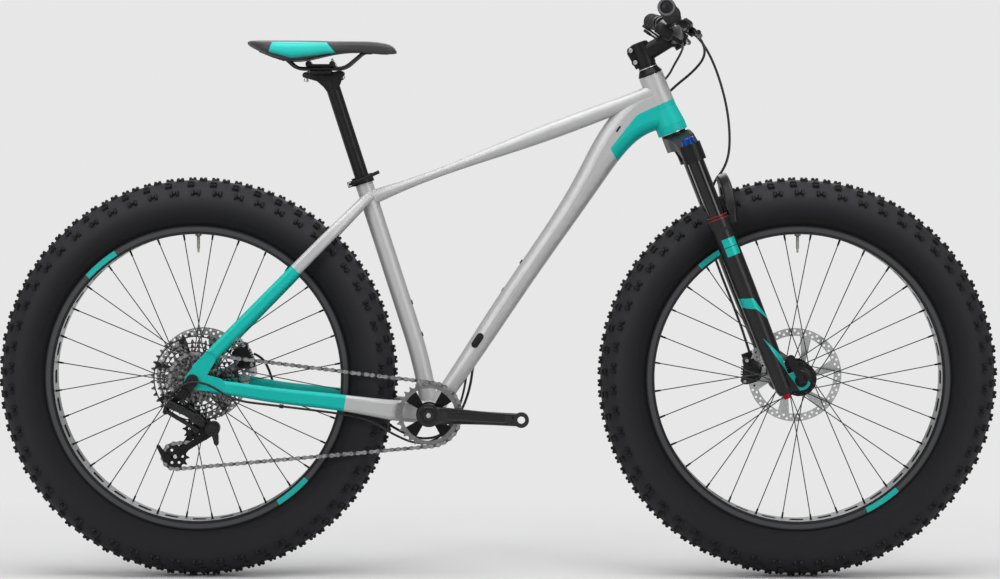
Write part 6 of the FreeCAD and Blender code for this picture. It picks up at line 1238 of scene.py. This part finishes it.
def derailleur():
    """Broad outer link, slim bent cage with a chain guard, and the caps and screws of the pivots."""
    axis = LINK_HEADING.cross(LINK_SWING)
    place = Matrix.Translation(UPPER_PIN) @ Matrix((LINK_HEADING, axis, LINK_SWING)).transposed().to_4x4()
    bm = bmesh.new()
    plate(bm, LINK_OUTLINE, -4.8, 4.8, place, 1.6, 3)
    plate(bm, LINK_RIDGE, -6.2, -4, place, 0.8)
    for along in (0, LINK_LENGTH):
        screw_head(bm, place @ Vector((along * MM, -0.0046, 0)), -axis, 4.6, 2.2)
    fitting("derailleur_link_body", bm, gloss_black_part, "outer_link", "black_metal", "derailleur_outer_link")

    bm = bmesh.new()
    low, high = CHAIN_SIDE - CAGE_OUTER, CHAIN_SIDE - CAGE_INNER
    arm = (PIVOT_SPOT, (-550, 277), (-568, 263.5), (-588, 251), (-601, 241), TENSION_SPOT)
    plate(bm, ribbon(arm, (11.5, 9.0, 6.2, 5.6, 7.0, 8.5), 8), low, high, soft=0.5)
    horn = (PIVOT_SPOT, (-552, 291), GUIDE_SPOT)
    plate(bm, ribbon(horn, (10, 7, 8.5), 8), low + 0.05, high - 0.05, soft=0.4)
    inner_arm = (GUIDE_SPOT, (-590, 260), TENSION_SPOT)
    plate(bm, ribbon(inner_arm, (8.5, 4.8, 8.5), 8), CHAIN_SIDE + CAGE_INNER, CHAIN_SIDE + CAGE_OUTER, soft=0.5)
    guard = (TENSION_SPOT, (-624, 222), (-631, 224), (-645, 254), (-643, 258), (-638, 256), (-627, 240))
    plate(bm, guard, low, high, soft=0.5)
    for spot in (GUIDE, TENSION):
        seat = spot + SIDEWAYS * (CHAIN_SIDE * MM)
        rod(bm, seat - SIDEWAYS * 0.0066, seat + SIDEWAYS * 0.0066, 2.5, 16)
    fitting("derailleur_cage_plates", bm, deep_black, "cage", "black_metal", "derailleur_cage")
    bm = bmesh.new()
    for spot in (GUIDE, TENSION):
        screw_head(bm, spot + SIDEWAYS * (low * MM), OUT_RIGHT, 3.8, 2.0)
    fitting("derailleur_cage_screws", bm, bare_alloy, "cage", "steel")

    bm = bmesh.new()
    spun(bm, KNUCKLE_CAP, CAGE_PIVOT + SIDEWAYS * ((CHAIN_SIDE - 36.2) * MM), OUT_RIGHT, 40)
    stop, stop_face = (PIVOT_SPOT, (-530, 274), STOP_SPOT), CHAIN_SIDE - 31
    plate(bm, ribbon(stop, (10, 5.5, 4.6), 8), stop_face, CHAIN_SIDE - 22, soft=1.0)
    screw_head(bm, Vector((STOP_SPOT[0], stop_face, STOP_SPOT[1])) * MM, OUT_RIGHT, 3.2, 1.6)
    fitting("derailleur_knuckle_cap", bm, gloss_black_part, "lower_knuckle", "black_metal")


# Seat post

POST_FOOT = Vector((-0.2045, 0, 0.5945))
POST_TOP = Vector((-0.3085, 0, 0.9165))
POST_RADIUS = 13.6
POST_BORE = 11.4
YOKE = ((-370, 951), (-372, 957), (-367, 962), (-354, 960), (-344, 957), (-328, 957), (-318, 961), (-298, 965),
        (-291, 961), (-292, 954), (-299, 949), (-303, 938), (-305, 926), (-325, 924), (-333, 938), (-342, 946),
        (-356, 950))
RAIL_SIDE = 22


def seat_post():
    """Slim post, short yoke with two long screws, and the clamp that holds the rails."""
    bm = bmesh.new()
    axis = (POST_TOP - POST_FOOT).normalized()
    run = (POST_TOP - POST_FOOT).length / MM
    neck = run + 34
    tube = ((POST_BORE, 0), (POST_RADIUS, 0), (POST_RADIUS, run + 28), (9, neck), (0, neck), (0, run),
            (POST_BORE, run))
    spun(bm, tube, POST_FOOT, axis, 48)
    plate(bm, YOKE, -13, 13, soft=2.4, segments=3)
    slab(bm, (-357, -27, 957.5), (-315, 27, 964.4), soft=2.0)
    for side in (-RAIL_SIDE, RAIL_SIDE):
        slab(bm, (-364, side - 5.5, 971.6), (-309, side + 5.5, 976.5), soft=1.6)
    for x in (-359, -314):
        rod(bm, (x * MM, -0.029, 0.977), (x * MM, 0.029, 0.977), 5.2, 24)
    fitting("seat_post_and_head", bm, satin_black, "seat", "black_metal", "seat_post")
    bm = bmesh.new()
    for top, foot in (((-357.5, 984), (-364, 948)), ((-316, 987), (-295, 952))):
        upper, lower = (Vector((x * MM, 0, z * MM)) for x, z in (top, foot))
        rod(bm, upper, lower, 2.4, 14)
        screw_head(bm, lower, (lower - upper).normalized(), 4.4, 5.0)
    fitting("seat_post_screws", bm, bare_alloy, "seat", "steel", "seat_post")


# Bar and stem

BAR_BEND = Vector((0.3323, 0.135, 1.0534))
BAR_TIP = Vector((0.306, 0.370, 1.070))
BAR_BEND_SIDE = 135
BAR_TIP_SIDE = 370
STEM_CENTRE = Vector((0.2767, 0, 0.9944))
STEM_RISE = math.radians(30)
STEM_REACH = 0.070
LUG_HALF = 0.0135
GRIP_START = 238
GRIP_BORE = 11.3
RIB_FOOT = 15.0
RIB_TOP = 15.9
RIB_STEP = 4.1
CONTROL_LEAN = math.radians(-35)


def on_bar(side, sign=1):
    """Point of the bar's swept part at a distance to the side in millimetres, on the left or the right."""
    spot = BAR_BEND.lerp(BAR_TIP, (side - BAR_BEND_SIDE) / (BAR_TIP_SIDE - BAR_BEND_SIDE))
    return Vector((spot.x, sign * spot.y, spot.z))


def grips():
    """Ribbed rubber with a flange and lock ring, and a dished plug at each end with a black disc in its dish as
    painted shade.
    """
    rubber, plugs, rings = bmesh.new(), bmesh.new(), bmesh.new()
    length = (BAR_TIP - on_bar(GRIP_START)).length / MM
    profile = [(GRIP_BORE, 9), (16.6, 9), (17.2, 10.5), (17.2, 13), (15.4, 14.5)]
    at = 17.0
    while at < length - 7:
        profile += [(RIB_FOOT, at), (RIB_TOP, at + 0.8), (RIB_TOP, at + 2.2), (RIB_FOOT, at + 3.0)]
        at += RIB_STEP
    profile += [(15.2, length - 3), (16.4, length - 1), (16.4, length + 2.5), (GRIP_BORE, length + 2.5)]
    plug = ((0, -4), (15.2, -4), (15.8, 2.5), (15.2, 4.6), (12.8, 4.8), (11.4, 2.6), (5.8, 2.4), (5.0, 4.2),
            (3.0, 4.4), (2.4, 2.4), (0, 2.4))
    # A black disc set in the plug's dish: painted shade for the recess.
    shade_disc = ((0, 2.0), (11.2, 2.0), (11.2, 3.2), (8.6, 2.9), (5.4, 4.6), (0, 4.9))
    plug, shade_disc = ([(radius, length + along) for radius, along in end] for end in (plug, shade_disc))
    ring = ((11.2, 0), (16.2, 0), (16.8, 0.8), (16.8, 7.8), (16.2, 8.6), (11.2, 8.6))
    for sign in (-1, 1):
        base = on_bar(GRIP_START, sign)
        axis = (on_bar(BAR_TIP_SIDE, sign) - base).normalized()
        for bm, turning in ((rubber, profile), (plugs, plug), (rings, shade_disc), (rings, ring)):
            spun(bm, turning, base, axis, 40)
        pinch = base + axis * 0.0043 + Vector((0.010, 0, -0.0135))
        screw_head(rings, pinch, Vector((0.55, 0, -0.83)), 2.6, 2.0)
    fitting("grip_rubber", rubber, grip_black, "steering", "grip_rubber", "grips")
    fitting("grip_plugs", plugs, plug_grey, "steering", "grip_rubber", "grips")
    fitting("grip_lock_rings", rings, satin_black, "steering", "black_metal", "grips")


def stem_fittings():
    """Bright clamp screws in their lugs, face plate screws and the thin washer under the stem."""
    lugs, bolts = bmesh.new(), bmesh.new()
    for x, z in ((-24.5, 7.5), (-15.5, -15)):
        spot = STEM_CENTRE + Vector((x * MM, 0, z * MM))
        right, left = spot - SIDEWAYS * LUG_HALF, spot + SIDEWAYS * LUG_HALF
        rod(lugs, right, left, 6.4, 28)
        screw_head(bolts, right, OUT_RIGHT, 4.2, 2.0)
        screw_head(bolts, left, SIDEWAYS, 4.2, 1.0)
    heading = Vector((math.cos(STEM_RISE), 0, math.sin(STEM_RISE)))
    up = Vector((-heading.z, 0, heading.x))
    face = STEM_CENTRE + heading * STEM_REACH
    for lift in (-0.0209, 0.0209):
        for across in (-0.015, 0.015):
            screw_head(bolts, face + up * lift + SIDEWAYS * across + heading * 0.012, heading, 3.6, 2.6)
    washer = ((15, 0), (18.6, 0), (18.6, 1.4), (15, 1.4))
    spun(bolts, washer, STEER_FOOT + STEER_UP * 0.6515, STEER_UP, 48)
    fitting("stem_clamp_lugs", lugs, satin_black, "steering", "black_metal")
    fitting("stem_screws", bolts, bare_alloy, "steering", "steel")


def control_fittings():
    """Reservoir caps, clamp screws and reach dials of the brakes on both sides, and the shifter's screw."""
    black, bright = bmesh.new(), bmesh.new()
    ahead = Vector((math.cos(CONTROL_LEAN), 0, math.sin(CONTROL_LEAN)))
    dial = ((0, -2), (8.2, -2), (8.2, 3), (7.2, 4.4), (5, 4.6), (4.4, 3.2), (0, 3.2))
    body_ahead = 0.027
    for sign in (-1, 1):
        axis = (on_bar(300, sign) - on_bar(200, sign)).normalized()
        up = axis.cross(ahead).normalized()
        up = up if up.z > 0 else -up
        reservoir = on_bar(190, sign) + ahead * body_ahead + up * 0.003
        place = Matrix.Translation(reservoir) @ Matrix((axis, up, ahead)).transposed().to_4x4()
        slab(black, (-22, -6, -9), (20, 8.5, 9), place, 2.6)
        slab(black, (-19, 8.0, -7), (17, 10.2, 7), place, 0.8)
        for along in (-15, 13):
            screw_head(bright, place @ Vector((along * MM, 0.0100, 0)), up, 1.9, 0.9)
        spun(black, dial, on_bar(232, sign) + ahead * body_ahead, axis, 28)
        screw_head(bright, on_bar(220, sign) + ahead * 0.0135 - up * 0.010, -up, 3.0, 2.4)
        if sign < 0:
            screw_head(bright, on_bar(186, sign) + ahead * 0.016 + up * 0.002, up, 2.8, 1.6)
    fitting("brake_reservoirs", black, grey_black, "steering", "black_metal")
    fitting("control_screws", bright, bare_alloy, "steering", "steel")


FERRULE_STEPS = (
    # reach into the lever, reach along the line, radius in millimetres
    (0.013, 0.002, 3.9), (0.010, 0.009, 3.1),
)


def line_ends(*routes):
    """Ferrules where the lines leave the levers and the shifter."""
    bm = bmesh.new()
    for route in routes:
        first, second = (Vector(point) * MM for point in route[:2])
        out = (first - second).normalized()
        for inward, outward, radius in FERRULE_STEPS:
            rod(bm, first + out * inward, first - out * outward, radius, 18)
    fitting("line_ferrules", bm, deep_black, "steering", "black_metal")


# Frame and crank details

def on_surface(node, x, z, sign=-1):
    """Point of a CAD piece's side face at a place seen from that side."""
    hit, place, _, _ = NODES[node].ray_cast(Vector((x, sign * 0.5, z)), Vector((0, -sign, 0)))
    return place if hit else Vector((x, sign * 0.02, z))


def frame_details():
    """Oval cable port on the down tube, a black oval by its neck as painted shade for a slit, and the nut of
    the seat collar.
    """
    bm = bmesh.new()
    tube_rise = math.radians(56.2)
    heading = (math.cos(tube_rise), 0, math.sin(tube_rise))

    def oval(half_length, half_width, cap):
        return ribbon(((-half_length, 0), (half_length, 0)), (half_width, half_width), cap)

    port = upright(on_surface("down_tube", -0.0383, 0.4517), heading)
    plate(bm, oval(9.0, 6.8, 10), -1.2, 3.0, port, 0.5)
    plate(bm, oval(9.0, 4.4, 8), -1.7, 0, port, 0.3)
    # The slit is a black oval laid on the tube: painted shade for its dark inside.
    slit = upright(on_surface("down_tube", 0.2290, 0.8534), heading)
    plate(bm, oval(5.0, 1.8, 10), -0.2, 3.0, slit, 0)
    fitting("cable_port", bm, plastic_black, "frame", "black_plastic")
    bm = bmesh.new()
    screw_head(bm, Vector((-0.2810, -0.0175, 0.7480)), OUT_RIGHT, 4.6, 3.2)
    fitting("seat_collar_nut", bm, bare_alloy, "frame", "steel")


def crank_details():
    """Raised edges along the right arm, and the ringed cap on its boss with a bright key hole."""
    bm = bmesh.new()
    arm_face, arm_slope, boss_face = -0.0934, -0.0857, -0.0995
    across, up = math.cos(CRANK_LEAN), math.sin(CRANK_LEAN)
    place = Matrix(((across, 0, -up, CRANK_AXIS.x), (arm_slope, 1, 0, arm_face), (up, 0, across, CRANK_AXIS.z),
                    (0, 0, 0, 1)))
    for sign in (-1, 1):
        rail = ((20, sign * 12.5), (50, sign * 11.0), (95, sign * 9.3), (150, sign * 8.6))
        plate(bm, ribbon(rail, (2.2, 2.4, 2.2, 1.8), 6), -1.3, 2.0, place, 0.8)
    plate(bm, ribbon(((158, -7.5), (161, 0), (158, 7.5)), (1.6, 1.8, 1.6), 6), -1.0, 2.0, place, 0.6)
    cap = CRANK_AXIS + SIDEWAYS * boss_face
    rings = ((9.5, -1), (17.3, -1), (17.3, 0.4), (16.2, 1.4), (14.2, 1.4), (13.8, 0.4), (12.2, 0.4),
             (11.6, 1.2), (9.5, 1.2))
    spun(bm, rings, cap, OUT_RIGHT, 48)
    fitting("crank_edges", bm, gloss_black_part, "cranks", "black_metal")
    bm = bmesh.new()
    screw_head(bm, cap, OUT_RIGHT, 4.4, 1.2)
    fitting("crank_screw", bm, bare_alloy, "cranks", "steel")


# Camera, floor and light

CAMERA_PLACE = (0.061, -6.5, 0.832)
CAMERA_AIM = (0.0043, 0, 0.5477)
BACKGROUND = (0.80, 0.80, 0.80, 1)
FLOOR_SEEN = (0.80, 0.80, 0.80, 1)
FLOOR_BOUNCE = (0.24, 0.24, 0.24, 1)
WORLD_LIGHT = 0.30


def aimed(name, data, place, aim):
    """Camera or lamp at a place, looking at a point."""
    thing = bpy.data.objects.new(name, data)
    SCENE.collection.objects.link(thing)
    thing.location = place
    thing.rotation_mode = "QUATERNION"
    thing.rotation_quaternion = (Vector(aim) - Vector(place)).to_track_quat("-Z", "Y")
    return thing


def camera():
    data = bpy.data.cameras.new("camera")
    data.sensor_width = 36.0
    data.lens = 122.8
    data.clip_end = 100.0
    SCENE.camera = aimed("camera", data, CAMERA_PLACE, CAMERA_AIM)


def floor():
    """Pale floor that keeps the shadow near the wheels and runs into the plain background further off."""
    bm = bmesh.new()
    bmesh.ops.create_grid(bm, x_segments=2, y_segments=2, size=40.0)
    finish = Finish("pale_floor", Roughness=0.9, Specular_IOR_Level=0.1)
    place = finish.stretched(finish.place(), (0.62, 1.0, 1.0))
    reach = finish.node("ShaderNodeVectorMath", {0: place}, operation="LENGTH").outputs["Value"]
    far = finish.step(reach, 0.55, 1.6)
    light = finish.node("ShaderNodeLightPath")
    seen = finish.math("MAXIMUM", light.outputs["Is Camera Ray"], light.outputs["Is Glossy Ray"])
    seen = finish.math("MAXIMUM", seen, light.outputs["Is Transmission Ray"])
    finish.colour(finish.mix(seen, FLOOR_BOUNCE, FLOOR_SEEN))
    plain = finish.node("ShaderNodeEmission", {"Color": BACKGROUND, "Strength": 1.0})
    shaders = {0: finish.times(far, seen), 1: finish.surface.outputs[0], 2: plain.outputs[0]}
    either = finish.node("ShaderNodeMixShader", shaders)
    finish.tree.links.new(either.outputs[0], finish.tree.nodes["Material Output"].inputs["Surface"])
    new_piece("floor", bm, finish.material)


def studio():
    """Soft even light, and a plain background for the camera."""
    world = bpy.data.worlds.new("studio")
    SCENE.world = world
    world.use_nodes = True
    tree = world.node_tree
    back = tree.nodes["Background"]
    back.inputs["Color"].default_value = (1, 1, 1, 1)
    back.inputs["Strength"].default_value = WORLD_LIGHT
    seen = tree.nodes.new("ShaderNodeBackground")
    seen.inputs["Color"].default_value = BACKGROUND
    path = tree.nodes.new("ShaderNodeLightPath")
    either = tree.nodes.new("ShaderNodeMath")
    either.operation = "MAXIMUM"
    tree.links.new(path.outputs["Is Camera Ray"], either.inputs[0])
    tree.links.new(path.outputs["Is Transmission Ray"], either.inputs[1])
    choice = tree.nodes.new("ShaderNodeMixShader")
    tree.links.new(either.outputs[0], choice.inputs[0])
    tree.links.new(back.outputs[0], choice.inputs[1])
    tree.links.new(seen.outputs[0], choice.inputs[2])
    tree.links.new(choice.outputs[0], tree.nodes["World Output"].inputs["Surface"])

    def softbox(name, place, aim, width, height, watts):
        data = bpy.data.lights.new(name, "AREA")
        data.shape = "RECTANGLE"
        data.size, data.size_y, data.energy = width, height, watts
        aimed(name, data, place, aim)

    softbox("overhead", (0, -0.6, 3.2), (0, 0, 0.4), 4.0, 2.4, 80)
    softbox("front_left", (-2.6, -3.4, 2.2), (0, 0, 0.5), 2.0, 2.0, 56)
    softbox("front_right", (2.8, -3.2, 1.8), (0, 0, 0.5), 1.6, 2.0, 36)
    softbox("rear_edge", (0.5, 3.2, 2.4), (0, 0, 0.6), 3.0, 1.4, 30)
    SCENE.view_settings.view_transform = "Standard"


camera()
floor()
studio()

# Finishes. Paint lines are (point, inward) pairs in X and Z.

NOSE_CORNER = (0.2643, 0.8805)
NOSE_EDGES = ((NOSE_CORNER, (0.448, -1.0)), (NOSE_CORNER, (1.268, -1.0)), ((0.2132, 0.8167), (0.861, 0.511)))
SEAT_STAY_EDGE = (((-0.3797, 0.5885), (-0.7015, -0.7127)),)
CHAIN_STAY_EDGE = (((-0.2916, 0.31), (-1.0, 0.16)),)
dress(frame_paint("frame_silver"), "top_tube", "seat_tube", "bottom_bracket_shell")
dress(frame_paint("frame_silver_teal_nose", NOSE_EDGES), "head_tube", "down_tube")
dress(frame_paint("frame_silver_teal_seat_stays", SEAT_STAY_EDGE), "seat_stays")
dress(frame_paint("frame_silver_teal_chain_stays", CHAIN_STAY_EDGE), "chain_stays")
dress(frame_paint("frame_teal", all_teal=True), "rear_dropouts")
even_normals("top_tube", "down_tube", "seat_stays", "chain_stays")

satin_black = black_metal("satin_black")
gloss_black = black_metal("gloss_black", (0.004, 0.004, 0.005, 1), low=0.08, high=0.14, metallic=0.6, coat=0.6)
deep_black = black_metal("deep_black", (0.006, 0.006, 0.007, 1), low=0.34, high=0.5, metallic=0.3)
grey_black = black_metal("grey_black", (0.020, 0.020, 0.022, 1), low=0.34, high=0.48, metallic=0.5)
gloss_black_part = black_metal("gloss_black_part", (0.006, 0.006, 0.007, 1), low=0.16, high=0.26, metallic=0.5,
                               coat=0.4)
caliper_black = black_metal("caliper_black", (0.009, 0.009, 0.010, 1), low=0.24, high=0.38, metallic=0.5,
                            coat=0.2)
plastic_black = moulded_plastic("black_plastic")
plug_grey = moulded_plastic("plug_grey", (0.11, 0.11, 0.115, 1), low=0.4, high=0.55)
hose_black = hose_jacket("hose_black")
knob_black = knob_rubber("knob_black")
grip_black = grip_rubber("grip_rubber")
bright_steel = worn_steel("bright_steel", (0.46, 0.46, 0.47, 1), (0.62, 0.62, 0.63, 1), scale=40.0)
bare_alloy = worn_steel("bare_alloy", (0.55, 0.55, 0.56, 1), (0.72, 0.72, 0.73, 1), low=0.3)
chain_bright = worn_steel("chain_bright", (0.20, 0.20, 0.205, 1), (0.42, 0.42, 0.425, 1), low=0.18, high=0.30,
                          scale=150.0)
# The inner links take a darker copy of the chain steel: painted shade where they sit between the outer plates.
chain_dark = worn_steel("chain_dark", (0.05, 0.05, 0.052, 1), (0.16, 0.16, 0.162, 1), high=0.34, scale=150.0)

dress(satin_black, "stem", "handlebar", "headset_spacers", "seat_clamp", "seat_clamp_lever", "crank_arm_left",
      "fork_crown", "front_hub", "rear_hub", "front_axle", "front_axle_lever")
dress(gloss_black, "stanchions")
dress(grey_black, "brake_master_cylinders", "brake_lever_right", "brake_lever_left", "derailleur_inner_link")
dress(deep_black, "derailleur_upper_knuckle", "derailleur_lower_knuckle")
dress(plastic_black, "shifter_body", "shift_paddle", "release_paddle", "frame_fittings", "saddle_shell",
      "guide_pulley", "tension_pulley")
dress(bright_steel, "frame_bearings")
dress(gloss_black_part, "saddle_rails")
dress(ring_finish("ring_finish"), "chainring")
dress(crank_finish("crank_finish"), "crank_arm_right")
dress(coloured_anodise("dial_blue", (0.015, 0.085, 0.42, 1)), "compression_dial")
dress(coloured_anodise("knob_red", (0.42, 0.012, 0.016, 1)), "rebound_knob")
dress(fork_leg_paint("fork_leg_paint"), "fork_lowers")

# Pieces

spin = repeat_tree()
for end, axle, arc_angle in (("front", FRONT_AXLE, 124.5), ("rear", REAR_AXLE, 130.0)):
    dress(brushed_disc(end + "_disc", axle), end + "_rotor")
    dress(rim_paint(end + "_rim_paint", axle, arc_angle), end + "_rim")
    dress(spoke_steel(end + "_spoke_steel", axle), end + "_spokes")
    tyre(end + "_tyre", axle, end + "_wheel", spin)
cassette(chain())

FRONT_CALIPER_ANGLE = math.radians(154)
FRONT_CALIPER_SIDE = 0.060
front_out = STEER_AHEAD * math.cos(FRONT_CALIPER_ANGLE) + STEER_UP * math.sin(FRONT_CALIPER_ANGLE)
front_bracket = ribbon(((-75, 44), (-62, 26), (-60, 6), (-66, -12)), (7, 6, 6, 7), 8)
caliper("front_caliper", "front_brake_caliper", "fork_lower", FRONT_AXLE + SIDEWAYS * FRONT_CALIPER_SIDE,
        front_out, front_bracket, 8.0, 12.5, ((-75, 44, 3.2), (-66, -12, 3.2), (-61, 17, 2.2)))
REAR_CALIPER_ANGLE = math.radians(22.6)
REAR_CALIPER_SIDE = 0.083
rear_out = (math.cos(REAR_CALIPER_ANGLE), 0, math.sin(REAR_CALIPER_ANGLE))
rear_bracket = ribbon(((50, 72), (70, 62), (86, 44), (95, 22), (97, 2)), (7, 7, 7, 7, 7.5), 8)
caliper("rear_caliper", "rear_brake_caliper", "frame", REAR_AXLE + SIDEWAYS * REAR_CALIPER_SIDE, rear_out,
        rear_bracket, 4.0, 8.5, ((50, 72, 2.6), (70, 62, 2.4), (93, 28, 2.4), (97, 2, 2.6)))
derailleur()
seat_post()
grips()
stem_fittings()
control_fittings()
frame_details()
crank_details()
saddle_pad()

HOSE_RADIUS = 0.0025
CABLE_RADIUS = 0.0022
front_hose = [steer_point(*point) for point in FRONT_HOSE_ROUTE]
line_ends(REAR_HOSE_ROUTE, SHIFT_ROUTE, front_hose)
control_line("rear_brake_hose", REAR_HOSE_ROUTE, HOSE_RADIUS)
control_line("shift_cable", SHIFT_ROUTE, CABLE_RADIUS)
control_line("front_brake_hose", front_hose, HOSE_RADIUS)
